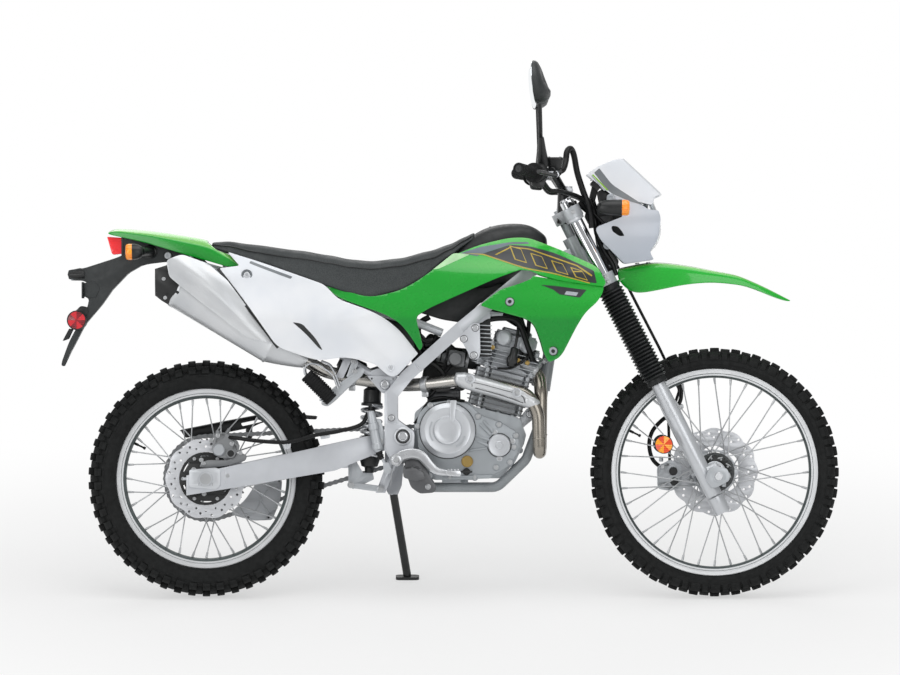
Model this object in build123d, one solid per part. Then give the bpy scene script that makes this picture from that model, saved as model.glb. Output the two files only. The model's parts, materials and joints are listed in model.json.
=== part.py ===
from build123d import *
import os
from math import asin, atan2, cos, pi, radians, sin, tan

# Dual sport motorcycle, parked on its side stand.
#
# Everything is modelled upright in the machine's own frame, in millimetres: X runs forward from the
# rear axle, Y to the rider's left and Z up from the floor. The last section leans the whole machine
# onto its stand, and puts the origin on the floor below the middle of the parked machine.

# ---------------------------------------------------------------- driving dimensions
wheelbase = 1380
lean = 10.0  # degrees to the left, on the side stand
rake = 26.8  # steering axis, from the vertical
seat_gap = 0.3  # running gap between pieces that rest on one another

front_wheel = dict(
    x=wheelbase, tyre_r=338, tyre_half=40, bead_r=263, rim_r=281, rim_inner_r=253, rim_half=24,
    hub_r=24, flange_r=44, flange_y=30, disc_r=120, disc_y=58, disc_t=4, carrier_r=62, bore_r=10,
    right_boss=(-56, 22), left_boss=(55.9, 30), spacer_y=78,
    lugs=36, lug_h=9.5,
    # rows of lugs: from and to as shares of the half width, length along the tread, phase in lug pitches
    lug_rows=[(-0.24, 0.24, 21, 0), (-0.64, -0.28, 19, 0.5), (0.28, 0.64, 19, 0.5), (-1, -0.66, 18, 0),
    (0.66, 1, 18, 0)],
)
rear_wheel = dict(
    x=0, tyre_r=321, tyre_half=55, bead_r=226, rim_r=244, rim_inner_r=214, rim_half=29,
    hub_r=34, flange_r=52, flange_y=36, disc_r=110, disc_y=-70, disc_t=4.5, carrier_r=74, bore_r=10,
    right_boss=(-67.7, 34), left_boss=(68.2, 44), spacer_y=86,
    lugs=50, lug_h=12,
    lug_rows=[(-0.28, 0.28, 19, 0), (-0.62, -0.31, 20, 0.5), (0.31, 0.62, 20, 0.5), (-1, -0.65, 19, 0),
    (0.65, 1, 19, 0)],
)
spoke_r = 1.8
spoke_count = 36
spoke_cross = 56  # degrees between a spoke's two ends
axle_clearance = 0.05

fork_half = 95  # fork tubes from the centre plane
axle_lead = 30  # the front axle ahead of the fork tubes
clamp_offset = 28  # the fork tubes ahead of the steering axis
fork_tube_r = 18.5
fork_boot_r = 34
boot_waist_r = 29
boot_ribs = 22
boot_cuff = 16
slider_r = 22
lug_half = 17  # half the width of the boss that clamps the front axle

chain_y = 71
chain_half = 8
chain_pitch = 15.875
rear_teeth = 45
front_teeth = 14
countershaft = (612, 428)
link_half = 7.5  # half the height of a chain link plate, at its pins
waist_half = 5.3  # half its height between them

pivot = (534, 436)  # swingarm pivot
pivot_bolt_r = 8

steer_range = 43  # degrees to each side
stand_pivot = Vector(505, 118, 292)
tread_sink = 1.7  # how far the leaning tyres reach below the floor of the upright machine
stand_foot = Vector(545, 250, (250 * sin(radians(lean)) - tread_sink) / cos(radians(lean)))  # the sole
stand_folded = Vector(-0.99, 0.09, 0.08)  # which way the folded leg points


# ---------------------------------------------------------------- ways of making shapes
def side_face(points, radius=0):
    """A face in the centre plane from (x, z) points, its corners rounded to one radius."""
    if radius:
        return Plane.XZ * make_face(FilletPolyline(*points, radius=radius, close=True))
    return Plane.XZ * make_face(Polyline(*points, close=True))


def side_plate(points, y_from, y_to, radius=0):
    """A plate with a side-view outline, between two distances from the centre plane."""
    return extrude(Pos(0, y_from, 0) * side_face(points, radius), y_to - y_from, dir=(0, 1, 0))


def plan_prism(points, z_from, z_to, radius=0):
    """A prism with an outline seen from above, given as (x, y) points."""
    line = FilletPolyline(*points, radius=radius, close=True) if radius else Polyline(*points, close=True)
    return extrude(Pos(0, 0, z_from) * make_face(line), z_to - z_from, dir=(0, 0, 1))


def front_prism(points, x_from, x_to, radius=0):
    """A prism with an outline seen from the front, given as (y, z) points."""
    line = FilletPolyline(*points, radius=radius, close=True) if radius else Polyline(*points, close=True)
    return extrude(Pos(x_from, 0, 0) * (Plane.YZ * make_face(line)), x_to - x_from, dir=(1, 0, 0))


def boss(x, z, radius, y_from, y_to):
    """A round boss that runs across the machine."""
    low = min(y_from, y_to)
    return extrude(Plane(origin=(x, low, z), z_dir=(0, 1, 0)) * Circle(radius), abs(y_to - y_from))


def rod(start, end, radius):
    """A straight round bar."""
    along = Vector(*end) - Vector(*start)
    return extrude(Plane(origin=start, z_dir=along) * Circle(radius), along.length)


def tube(points, radius, bend=30, bore=0):
    """A round bar or tube along straight runs joined by tangent bends."""
    path = FilletPolyline(*points, radius=bend) if len(points) > 2 else Line(*points)
    start = Plane(origin=path @ 0, z_dir=path % 0)
    ring = start * Circle(radius)
    if bore:
        ring -= start * Circle(bore)
    return sweep(ring, path=path)


def turned(x, z, profile, centre_y=0):
    """A piece turned about an axle: profile is a list of (y, r)."""
    face = make_face(Polyline(*[(x, centre_y + y, z + r) for y, r in profile], close=True))
    return revolve(face, axis=Axis((x, 0, z), (0, 1, 0)))


def pair(solid):
    """A piece and its mirror image on the other side of the centre plane."""
    return [solid, mirror(solid, about=Plane.XZ)]


def mirrored_outline(half):
    """A closed outline from its left half, given from rear to front as (x, y)."""
    return [(x, y) for x, y in half] + [(x, -y) for x, y in reversed(half)]


def join(*solids):
    """One solid from pieces that meet."""
    whole = solids[0]
    for other in solids[1:]:
        whole = whole + other
    return whole


# ---------------------------------------------------------------- steering geometry
axle_front = Vector(wheelbase, 0, front_wheel["tyre_r"])
axle_rear = Vector(0, 0, rear_wheel["tyre_r"])
up_fork = Vector(-sin(radians(rake)), 0, cos(radians(rake)))
ahead_fork = Vector(cos(radians(rake)), 0, sin(radians(rake)))
fork_foot = axle_front - ahead_fork * axle_lead  # on the fork tubes' line, beside the axle
steer_foot = fork_foot - ahead_fork * clamp_offset  # on the steering axis


stand_axis = (stand_foot - stand_pivot).cross(stand_folded).normalized()
stand_pin_r = 7


def on_fork(height, y=0, ahead=0):
    """A point so far up the fork from the axle, to the left and ahead of the tubes."""
    return fork_foot + up_fork * height + ahead_fork * ahead + Vector(0, y, 0)


def fork_plane(height, y=0, ahead=0):
    """A workplane across the fork: its x is ahead and its y is to the left."""
    return Plane(origin=on_fork(height, y, ahead), x_dir=ahead_fork, z_dir=up_fork)


# heights up the fork from the axle
slider_foot_h = -55
boot_foot_h = 205
lower_clamp_h = 600
upper_clamp_h = 765
clamp_t = 32
boot_top_h = lower_clamp_h - clamp_t / 2 - 24
tube_top_h = upper_clamp_h + 35
head_low = steer_foot + up_fork * lower_clamp_h
head_mid = steer_foot + up_fork * (lower_clamp_h + upper_clamp_h) / 2
low_clamp, top_clamp = on_fork(lower_clamp_h), on_fork(upper_clamp_h)


def by(place, outline):
    """A side-view outline that was given from a place."""
    return [(place.X + x, place.Z + z) for x, z in outline]


# ---------------------------------------------------------------- wheels
def crown(w, share):
    """How far below the tread's top the lugs' tips lie, at a share of the tyre's half width."""
    return 22 * abs(share) ** 2.3


def lug_band(w, low, high, length, phase):
    """One row of lugs between two shares of the half width, each a block so long along the tread."""
    half, top = w["tyre_half"], w["tyre_r"]
    shares = [low, (low + high) / 2, high]
    tips = [(half * v, top - crown(w, v)) for v in shares]
    roots = [(half * v * 0.98, top - crown(w, v) - w["lug_h"] - 4) for v in reversed(shares)]
    ring = turned(w["x"], top, tips + roots)
    blocks = PolarLocations(top - w["lug_h"], w["lugs"],
        start_angle=360 / w["lugs"] * phase) * Rectangle(3 * w["lug_h"], length)
    place = Plane(origin=(w["x"], -half, top), z_dir=(0, 1, 0))
    return (extrude(place * Sketch(blocks), 2 * half) & ring).solids()


def make_tyre(w):
    """A tyre with its lugs: a carcass turned about the axle, and rows of blocks fused to it."""
    half, top = w["tyre_half"], w["tyre_r"]
    outer = [
        (-w["rim_half"] + 4, w["bead_r"]),
        (-w["rim_half"] + 4, w["rim_r"] + 1),
        (-half + 4, (w["bead_r"] + top) / 2 - 2),
        (-half * 0.92, top - 36),
        (-half * 0.78, top - crown(w, 0.78) - w["lug_h"]),
        (-half * 0.4, top - crown(w, 0.4) - w["lug_h"]),
    ]
    inner = [(-w["rim_half"] + 14, w["bead_r"]), (-half + 16, top - 38), (-8, top - 23)]
    profile = outer + [(-y, r) for y, r in reversed(outer)]
    profile += [(-y, r) for y, r in inner] + list(reversed(inner))
    blocks = []
    for low, high, length, phase in w["lug_rows"]:
        blocks += lug_band(w, low, high, length, phase)
    return turned(w["x"], top, profile).fuse(*blocks)


def make_rim(w):
    """A drop-centre rim with a rolled flange each side."""
    half, lip = w["rim_half"], 3
    left = [
        (half, w["rim_r"]),
        (half, w["bead_r"] - 4),
        (half * 0.42, w["rim_inner_r"]),
    ]
    inner = [
        (half * 0.3, w["rim_inner_r"] + lip),
        (half - lip, w["bead_r"] - seat_gap),
        (half - lip, w["rim_r"]),
    ]
    profile = left + [(-y, r) for y, r in reversed(left)]
    profile += [(-y, r) for y, r in reversed(inner)] + inner
    return turned(w["x"], w["tyre_r"], profile)


def make_hub(w):
    """A hub with two spoke flanges and the bosses that carry the disc and what faces it."""
    half, flange_t = w["flange_y"], 5
    low, low_r = w["right_boss"]
    high, high_r = w["left_boss"]
    return turned(w["x"], w["tyre_r"], [
        (low, w["bore_r"]), (low, low_r), (-half - flange_t, low_r), (-half - flange_t, w["flange_r"]),
        (-half, w["flange_r"]), (-half, w["hub_r"] + 6), (-half + 10, w["hub_r"]), (half - 10, w["hub_r"]),
        (half, w["hub_r"] + 6), (half, w["flange_r"]),
        (half + flange_t, w["flange_r"]), (half + flange_t, high_r), (high, high_r), (high, w["bore_r"]),
    ])


def spoke_ends(w):
    """Each spoke's place beside its flange and on the rim."""
    ends = []
    for k in range(spoke_count):
        side = 1 if k % 2 else -1
        way = 1 if (k // 2) % 2 else -1
        rim_angle = radians(360 / spoke_count * k)
        hub_angle = rim_angle + way * radians(spoke_cross)
        out_of_flange = 4.65 + spoke_r if way > 0 else -2.55 - spoke_r
        hub_y = side * (w["flange_y"] + 2.5 + out_of_flange)
        hub_r, rim_r = w["flange_r"] - 5, w["rim_inner_r"] - 0.8
        ends.append((
            (w["x"] + hub_r * cos(hub_angle), hub_y, w["tyre_r"] + hub_r * sin(hub_angle)),
            (w["x"] + rim_r * cos(rim_angle), side * (5 + way * 2), w["tyre_r"] + rim_r * sin(rim_angle)),
        ))
    return ends


def make_spokes(w):
    """The crossed spokes between the hub's flanges and the rim."""
    return [rod(start, end, spoke_r) for start, end in spoke_ends(w)]


def make_disc(w):
    """A petal brake disc with a slotted ring of holes and an open carrier."""
    petals, arms = 12, 6
    face = Circle(w["disc_r"])
    face -= PolarLocations(w["disc_r"] + 15, petals) * Circle(20)
    face -= PolarLocations((w["disc_r"] + w["carrier_r"]) / 2 + 4, 2 * petals) * Circle(3.5)
    window = Pos((w["carrier_r"] - 6 + w["flange_r"]) / 2, 0) * Rectangle(w["carrier_r"] - w["flange_r"], 22)
    face -= [Rot(0, 0, 360 / arms * k) * window for k in range(arms)]
    face -= Circle(w["bore_r"] + 9)
    place = Plane(origin=(w["x"], w["disc_y"] - w["disc_t"] / 2, w["tyre_r"]), z_dir=(0, 1, 0))
    return extrude(place * face, w["disc_t"])


def pitch_radius(teeth):
    """The radius of a sprocket's pitch circle."""
    return chain_pitch / 2 / sin(pi / teeth)


def make_sprocket(teeth, x, z, thickness=5.5, tip_gap=6.0, depth=6.5):
    """A sprocket whose teeth end just inside the chain's rollers."""
    tip = pitch_radius(teeth) - tip_gap
    points = []
    for k in range(teeth):
        for share, r in ((-0.3, tip - depth), (-0.12, tip), (0.12, tip), (0.3, tip - depth)):
            angle = 2 * pi * (k + share) / teeth
            points.append((r * cos(angle), r * sin(angle)))
    face = make_face(Polyline(*points, close=True))
    return face, Plane(origin=(x, chain_y - thickness / 2, z), z_dir=(0, 1, 0)), thickness


def make_rear_sprocket():
    """The rear sprocket, with windows between its arms."""
    w = rear_wheel
    face, place, thickness = make_sprocket(rear_teeth, w["x"], w["tyre_r"])
    window = Pos(76, 0) * RectangleRounded(26, 42, 8)
    face -= [Rot(0, 0, 60 * k) * window for k in range(6)]
    face -= Circle(w["bore_r"] + 14)
    return extrude(place * face, thickness)


def make_front_sprocket():
    """The small sprocket on the gearbox output shaft."""
    face, place, thickness = make_sprocket(front_teeth, *countershaft)
    return join(extrude(place * face, thickness), boss(*countershaft, 12, 56.3, chain_y + 10))


def chain_loop(inset):
    """The closed outline of the chain's path, moved outwards by inset."""
    rear_r, front_r = pitch_radius(rear_teeth) + inset, pitch_radius(front_teeth) + inset
    rear, front = axle_rear, Vector(countershaft[0], 0, countershaft[1])
    span = front - rear
    centre_angle = atan2(span.Z, span.X)
    wrap = asin((rear_r - front_r) / span.length)

    def point(centre, r, angle):
        return (centre.X + r * cos(angle), centre.Z + r * sin(angle))

    top, low = centre_angle - wrap + pi / 2, centre_angle + wrap - pi / 2
    back = centre_angle + pi
    lines = [
        Line(point(rear, rear_r, top), point(front, front_r, top)),
        ThreePointArc(point(front, front_r, top), point(front, front_r, centre_angle),
        point(front, front_r, low)),
        Line(point(front, front_r, low), point(rear, rear_r, low)),
        ThreePointArc(point(rear, rear_r, low), point(rear, rear_r, back), point(rear, rear_r, top)),
    ]
    return Plane.XZ * make_face(Wire(lines))


def make_chain():
    """The drive chain as one loop: rollers' band, and waisted link plates beside it."""
    band = chain_loop(waist_half) - chain_loop(-waist_half)
    path = chain_loop(0).face().outer_wire()
    count = round(path.length / chain_pitch / 2) * 2
    pins = [path @ (k / count) for k in range(count)]
    plates = band + [Plane(origin=pin, z_dir=(0, -1, 0)) * Circle(link_half) for pin in pins]
    sides = [extrude(Pos(0, chain_y + low, 0) * plates, 4.7, dir=(0, 1, 0)) for low in (-chain_half, 3.3)]
    middle = extrude(Pos(0, chain_y - 3.3, 0) * band, 6.6, dir=(0, 1, 0))
    return join(sides[0], middle, sides[1])


def make_axle(w, half_length, head_r):
    """A wheel's axle with its head, its nut and the two spacers beside the hub."""
    shaft = boss(w["x"], w["tyre_r"], w["bore_r"] - axle_clearance, -half_length, half_length)
    heads = [boss(w["x"], w["tyre_r"], head_r, s * half_length, s * (half_length + 9)) for s in (-1, 1)]
    low, high = w["right_boss"][0] - 0.6, w["left_boss"][0] + 0.6
    spacers = [boss(w["x"], w["tyre_r"], 16, low, -w["spacer_y"]),
        boss(w["x"], w["tyre_r"], 16, high, w["spacer_y"])]
    return join(shaft, *heads, *spacers)


# ---------------------------------------------------------------- swingarm and rear suspension
arm_rear_y, arm_front_y, arm_t = 86, 58, 27
# stations along an arm: x, its inner face's y, the lower and upper edges' z
arm_sections = [(-52, arm_rear_y, 276, 330), (150, arm_rear_y, 309, 373),
    (350, arm_front_y + 4, 343, 417), (500, arm_front_y, 404, 450)]


def arm_edge(x, column):
    """The height of a swingarm's lower (2) or upper (3) edge at x."""
    for behind, ahead in zip(arm_sections, arm_sections[1:]):
        if behind[0] <= x <= ahead[0]:
            share = (x - behind[0]) / (ahead[0] - behind[0])
            return behind[column] + share * (ahead[column] - behind[column])


def arm_low(x):
    return arm_edge(x, 2)


def arm_top(x):
    return arm_edge(x, 3)


def make_swingarm():
    """Two box-section arms, the cross member between them and the pivot bosses."""
    arms = []
    for s in (1, -1):
        faces = []
        for x, y, low, high in arm_sections:
            corners = [(x, s * y, low), (x, s * (y + arm_t), low), (x, s * (y + arm_t), high),
                (x, s * y, high)]
            faces.append(make_face(Polyline(*corners, close=True)))
        arm = loft(faces, ruled=True)
        tip = side_plate([(490, 408), (534, 421), (534, 451), (490, 449)], s * arm_front_y,
            s * (arm_front_y + arm_t))
        eye = boss(*pivot, 15, s * arm_front_y, s * (arm_front_y + arm_t))
        arm = join(arm, tip, eye)
        arm -= boss(rear_wheel["x"], rear_wheel["tyre_r"], rear_wheel["bore_r"] + axle_clearance, s * 80,
            s * 120)
        arm -= boss(*pivot, pivot_bolt_r + axle_clearance, s * 50, s * 100)
        arms.append(arm)
    cross = plan_prism([(335, -80), (385, -76), (385, 76), (335, 80)], 350, 396)
    return join(arms[0], cross, arms[1])


shock_head, shock_foot = Vector(452, 0, 586.2), Vector(442, 0, 336)
rocker_pin, link_pin = (392, 304), (473, 292)
link_r = 6


def make_rear_shock():
    """The single shock absorber, with its spring."""
    along = shock_head - shock_foot
    return join(rod(shock_foot, shock_head, 13), rod(shock_foot + along * 0.14, shock_foot + along * 0.76,
        29))


def make_shock_link():
    """The rocker under the shock absorber, and the two tie rods that hold it to the frame."""
    rocker = side_plate([(385.3, 385), (385.3, 300), (398, 292), (455, 318), (452, 335.7), (425, 335.7),
        (400, 380)], -15, 15, 4)
    pins = [boss(*rocker_pin, link_r, -33, 33), boss(*link_pin, link_r, -33, 33)]
    ties = [side_plate([(384, 312), (473, 300), (481, 292), (473, 284), (386, 296)], s * 27, s * 33, 3)
        for s in (1, -1)]
    return join(rocker, *pins, *ties)


# ---------------------------------------------------------------- frame
spar_y, spar_t = 92, 24
head_r = 27
spar_path = [*by(head_mid, [(-28.5, 8.9)]), (879, 884), (689, 729), (545, 600), (503, 548), (503, 440)]


def make_main_frame():
    """The steering head, the two spars and the plates that hold the swingarm's pivot."""
    head = rod(steer_foot + up_fork * (lower_clamp_h + clamp_t / 2 + 3),
        steer_foot + up_fork * (upper_clamp_h - clamp_t / 2 - 3), head_r)
    band = Plane.XZ * trace(FilletPolyline(*spar_path, radius=28), line_width=33)
    plan_half = [(460, spar_y), (840, spar_y), (960, 24), (1010, 12), (1010, 40), (975, 52),
        (860, spar_y + spar_t), (460, spar_y + spar_t)]
    plate = side_plate([(484, 560), (484, 400), (500, 372), (545, 372), (560, 400), (560, 452),
        (520, 480), (520, 560)], spar_y, spar_y + spar_t, 10)
    sides = []
    for s in (1, -1):
        plan = [(x, s * y) for x, y in plan_half]
        spar = extrude(Pos(0, -150, 0) * band, 300, dir=(0, 1, 0)) & plan_prism(plan, 300, 1000)
        side = join(spar, plate if s == 1 else mirror(plate, about=Plane.XZ))
        side -= boss(*pivot, pivot_bolt_r + axle_clearance, s * 80, s * 130)
        sides.append(side)
    bridges = [rod((x, -spar_y - 6, z), (x, spar_y + 6, z), r) for x, z,
        r in ((505, 516, 14), (556, 618, 11), (514, 386, 10))]
    top_mount = side_plate([(556, 628), (556, 606), (470, 587.3), (436, 587.3), (440, 618), (470, 628)],
        -11, 11)
    low_mount = side_plate([(500, 392), (524, 384), (486, 282), (460, 282)], 17, 26)
    low_mount -= boss(*link_pin, link_r + axle_clearance, 10, 40)
    hangers = side_plate([(700, 752), (770, 800), (772, 650), (745, 650)], 79.6, spar_y + 2)
    bridges += [top_mount, *pair(low_mount), *pair(hangers)]
    gusset = side_plate([(484, 400), (484, 300), (494, 276), (520, 276), (530, 300), (538, 385)], 88, 102)
    core = join(head, sides[0], *bridges, sides[1], gusset)
    core -= rod(stand_pivot - stand_axis * 11, stand_pivot + stand_axis * 30, 21)
    core = core + rod(stand_pivot - stand_axis * 24, stand_pivot + stand_axis * 11, stand_pin_r)
    return core - rod(steer_foot + up_fork * (lower_clamp_h - 100),
        steer_foot + up_fork * (upper_clamp_h + 135), 14 + axle_clearance)


stay_y = 178  # half the length of the bar that holds the shrouds' lower ends


def make_cradle():
    """The down tube and the two rails that pass under the engine."""
    down = tube([head_low + Vector(-35.7, 0, 28.6), (936, 0, 690), (916, 0, 560)], 17, 60)
    down -= rod(steer_foot + up_fork * 560, steer_foot + up_fork * (lower_clamp_h + clamp_t / 2 + 6), 46)
    down -= rod(head_low, steer_foot + up_fork * upper_clamp_h, head_r + seat_gap)
    rails = []
    for s in (1, -1):
        rails.append(tube([(918, 0, 575), (904, s * 52, 470), (868, s * 72, 372), (790, s * 74, 297),
            (600, s * 74, 297), (566, s * 84, 335), (556, s * 86, 360)], 12.5, 38))
    stay = rod((934, -stay_y, 670), (934, stay_y, 670), 7)
    return join(down, *rails, stay)


tab_y = 91  # outer face of the tabs that hold the side covers


def make_subframe():
    """The rails that carry the seat and the tail."""
    rails = []
    for s in (1, -1):
        top = tube([(640, s * 80.9, 716), (560, s * 76, 748), (300, s * 68, 812), (-60, s * 60, 912)], 11, 60)
        stay = tube([(497, s * 81.9, 575), (360, s * 80, 660), (150, s * 64, 838)], 10, 60)
        rails.append(join(top, stay))
    ties = [rod((x, -62, z), (x, 62, z), 9) for x, z in ((300, 812), (36, 884))]
    tabs = pair(side_plate([(440, 612), (512, 634), (522, 604), (500, 566), (470, 588)], 85, tab_y, 6))
    hanger = side_plate([(45, 900), (80, 890), (72, 768), (54, 772)], -61.5, -57)
    posts = [rod((-40, s * 60, 905), (-40, s * 60, 969.9), 6) for s in (1, -1)]
    return join(rails[0], *ties, rails[1], *tabs, hanger, *posts)


def make_pivot_bolt():
    """The bolt that the swingarm turns on."""
    end = spar_y + spar_t
    return join(boss(*pivot, pivot_bolt_r, -end, end), boss(*pivot, 15, end + seat_gap, end + 10),
        boss(*pivot, 15, -end - seat_gap, -end - 10))


# ---------------------------------------------------------------- engine
crank = (775, 420)
clutch = (655, 454)
cylinder_tilt = 14  # degrees ahead of the vertical
cylinder_base = (792, 500)
case_outline = [(566, 500), (600, 528), (712, 528), (730, 515.5), (850, 485.5), (868, 440), (862, 415),
    (838, 366), (797, 322), (610, 322), (572, 360), (560, 400)]


def make_crankcase():
    """The two crankcase halves as one block, stepped in on the left for the chain."""
    case = side_plate(case_outline, -72, 56, 14)
    left = side_plate([(690, 510), (745, 506), (846, 462), (862, 415), (838, 366), (797, 330), (700, 330),
        (690, 350)], 50, 74, 10)
    right = side_plate([(578, 500), (610, 520), (720, 520), (760, 486), (840, 448), (852, 410),
        (825, 362), (790, 330), (618, 330), (585, 365), (572, 410)], -90, -66, 12)
    feet = [side_plate([(640, 330), (690, 330), (690, 309.8), (640, 309.8)], low, high) for low,
        high in ((-84, -64), (46, 84))]
    return join(case, left, right, *feet)


def make_engine_covers():
    """The clutch, filter and generator covers."""
    clutch_cover = chamfer(boss(*clutch, 75, -90 - seat_gap, -118).edges().group_by(Axis.Y)[0], 9)
    filter_cover = chamfer(boss(795, 412, 31, -90 - seat_gap, -108).edges().group_by(Axis.Y)[0], 4)
    generator = chamfer(boss(*crank, 66, 74 + seat_gap, 104).edges().group_by(Axis.Y)[-1], 8)
    return [clutch_cover, filter_cover, generator]


def engine_place(height=0):
    """A workplane across the cylinder: its x is ahead, its y to the left, and z up the bore."""
    tilt = radians(cylinder_tilt)
    up = Vector(sin(tilt), 0, cos(tilt))
    ahead = Vector(cos(tilt), 0, -sin(tilt))
    return Plane(origin=Vector(cylinder_base[0], 0, cylinder_base[1]) + up * height, x_dir=ahead, z_dir=up)


def finned(length, width, core_l, core_w, z_from, z_to, pitch, thickness):
    """A cooled block: a core, and fins that stand out from it."""
    block = extrude(engine_place(z_from) * RectangleRounded(core_l, core_w, 12), z_to - z_from)
    count = int((z_to - z_from) / pitch)
    for k in range(count):
        block += extrude(engine_place(z_from + pitch * (k + 0.5)) * RectangleRounded(length, width, 14),
            thickness)
    return block


def make_cylinder():
    """The finned barrel."""
    return finned(138, 150, 104, 104, 1, 112, 14, 4)


def make_cylinder_head():
    """The finned head, with the rocker cover on top and its two ports."""
    head = finned(150, 158, 112, 116, 112 + seat_gap, 180, 14, 4)
    head += extrude(engine_place(178) * RectangleRounded(118, 112, 24), 52)
    start, onward = Vector(*exhaust_path[0]), Vector(*exhaust_path[1])
    along = (onward - start).normalized()
    return join(head, rod(start - along * 50, start - along * seat_gap, 23))


def make_air_box():
    """The air box behind the cylinder, and the intake between them."""
    box = side_plate([(330, 796), (560, 736), (600, 700), (570, 640), (470, 640), (400, 660), (320, 740)],
        -54, 54, 16)
    intake = rod((560, 0, 664), (746, 0, 641), 27)
    return join(box, intake, boss(350, 795, 8, -58.1, 58.1))


# ---------------------------------------------------------------- exhaust
can_front, can_rear = Vector(262, -98, 646), Vector(-72, -112, 846)
can_along = (can_rear - can_front).normalized()
exhaust_path = [
    (903, -44, 610), (948, -50, 586), (940, -56, 392), (922, -106, 392), (906, -114, 520), (862, -116, 552),
    (790, -116, 572), (680, -112, 588), (610, -74, 576), (540, -50, 574), (400, -52, 592),
    tuple(can_front - can_along * 60), tuple(can_front - can_along * seat_gap),
]
can_half_y, can_half_z = 44, 62


def can_section(grow, start):
    """The silencer's oval section, so far along its axis from its front end."""
    along = (can_rear - can_front).normalized()
    place = Plane(origin=can_front + along * start, x_dir=(0, 1, 0), z_dir=along)
    return place * Ellipse(can_half_y + grow, can_half_z + grow)


def can(grow, start, length):
    """A length of the silencer's oval can."""
    return extrude(can_section(grow, start), length)


def make_exhaust_pipe():
    """The header pipe from the port, round its low loop and back along the engine."""
    return tube(exhaust_path, 19, 22, 17)


can_length = (can_rear - can_front).length


def make_muffler():
    """The silencer can, from its joint with the pipe to its tail."""
    return can(0, 0, can_length)


def make_muffler_cap():
    """The can's tail cap."""
    return loft([can_section(-1, can_length + seat_gap), can_section(-3, can_length + 26),
        can_section(-14, can_length + 46)], ruled=True)


def make_exhaust_shields():
    """The guards over the header pipe and over the can."""
    header = side_plate([(668, 604), (690, 618), (800, 592), (880, 572), (915, 520), (900, 500),
        (800, 532), (700, 572)], -141.3, -135.3, 10)
    window = side_plate([(-105, 930), (-67, 930), (15, 895), (194, 683), (113, 702), (-94, 862)], -210,
        -112, 8)
    guard = (can(5, 0, can_length + 60) - can(0.5, -5, can_length + 70)) & window
    return [header, *guard.solids()]


# ---------------------------------------------------------------- bodywork
seat_top = [(18, 968), (118, 955), (254, 939), (390, 914), (450, 909), (526, 917), (607, 936), (661, 955),
    (732, 993)]
belt_rear = [(58, 936), (145, 909), (254, 871), (322, 847)]  # where the seat meets the side covers
belt_front = [(444, 812), (526, 831), (580, 861), (661, 925)]  # where the seat meets the shrouds
seam = 1.5
panel_t = 3.0


def rail_top(x):
    """Just above the seat rails at x, where the seat's pan rests."""
    return 812 + (300 - x) * 100 / 360 + 12 if x <= 300 else 812 - (x - 300) * 64 / 260 + 12


def make_seat():
    """The seat, waisted towards the tank."""
    plan_half = [(0, 70), (60, 92), (250, 118), (420, 120), (560, 88), (760, 62)]
    bottom = belt_rear + belt_front
    edge = seat_top + [(725, 982)] + [(x, z + seam) for x, z in reversed(bottom)] + [(20, 958)]
    cushion = side_plate(edge, -130, 130) & plan_prism(mirrored_outline(plan_half), 700, 1100)
    pan = side_plate([(104, 935), (104, rail_top(104)), (300, rail_top(300)), (440, rail_top(440)),
        (444, 816), (322, 850)], -70, 70)
    return join(cushion, pan)


def make_fuel_tank():
    """The tank between the two shrouds, with its filler neck."""
    side = spar_y - seat_gap
    stations = [(668, 70, 830, 931), (740, side, 785, 994), (810, side, 835, 1012), (840, 90, 886, 1014),
        (900, 72, 928, 1006), (926, 46, 944, 978)]
    faces = []
    for x, half, low, high in stations:
        faces.append(Pos(x, 0, (low + high) / 2) * (Plane.YZ * RectangleRounded(2 * half, high - low, 14)))
    return loft(faces, ruled=True)


def skin(levels, thickness):
    """A curved panel sheet from its levels: each is a height and three (x, y) points on its outer face."""
    faces = []
    for z, rear, middle, front in levels:
        outer = ThreePointArc((*rear, z), (*middle, z), (*front, z))
        shift = Vector(0, -thickness, 0)
        inner = ThreePointArc(Vector(*front, z) + shift, Vector(*middle, z) + shift, Vector(*rear, z) + shift)
        ends = [Line(outer @ 1, inner @ 0), Line(inner @ 1, outer @ 0)]
        faces.append(make_face(Wire([outer, ends[0], inner, ends[1]])))
    return loft(faces, ruled=True)


def stand_off(panel, x, z, radius, y_from):
    """The panel with a round boss on its inner side, from a distance from the centre plane."""
    inner = (boss(x, z, radius, y_from, 300) - panel).solids().sort_by(Axis.Y)[0]
    return join(panel, inner)


shroud_upper = [
    *belt_rear[-1:], *belt_front, (743, 955), (824, 974), (873, 974), (960, 941), (1042, 903), (1061, 892),
    (1083, 852), (1077, 841), (960, 859), (879, 884), (852, 887), (797, 868), (716, 833), (607, 784),
    (575, 762), (572, 746), (588, 680), (580, 667),
    (553, 710), (526, 743), (485, 767), (444, 781), (376, 805), (355, 814),
]
shroud_lower = [
    (960, 862), (1077, 845), (1069, 805), (1028, 773), (1004, 735), (968, 664), (960, 651), (928, 637),
    (917, 656), (906, 697), (890, 738),
    (879, 751), (770, 781), (746, 789), (778, 819), (797, 833), (852, 852), (920, 857),
]
# height, and the rear, middle and front points of the outer face seen from above
shroud_levels = [
    (620, (300, 132), (760, 168), (1100, 196)),
    (790, (300, 124), (760, 172), (1100, 206)),
    (880, (300, 108), (760, 146), (1100, 176)),
    (990, (300, 84), (760, 96), (1100, 128)),
]


def make_shrouds():
    """The green panels that run from under the seat, over the spars, to the front wings."""
    outline = side_plate(shroud_upper, 40, 260) + side_plate(shroud_lower, 40, 260)
    panel = skin(shroud_levels, panel_t) & outline
    return pair(stand_off(stand_off(panel, 770, 940, 8, spar_y + 0.2), 934, 670, 9, stay_y + seat_gap))


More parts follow.
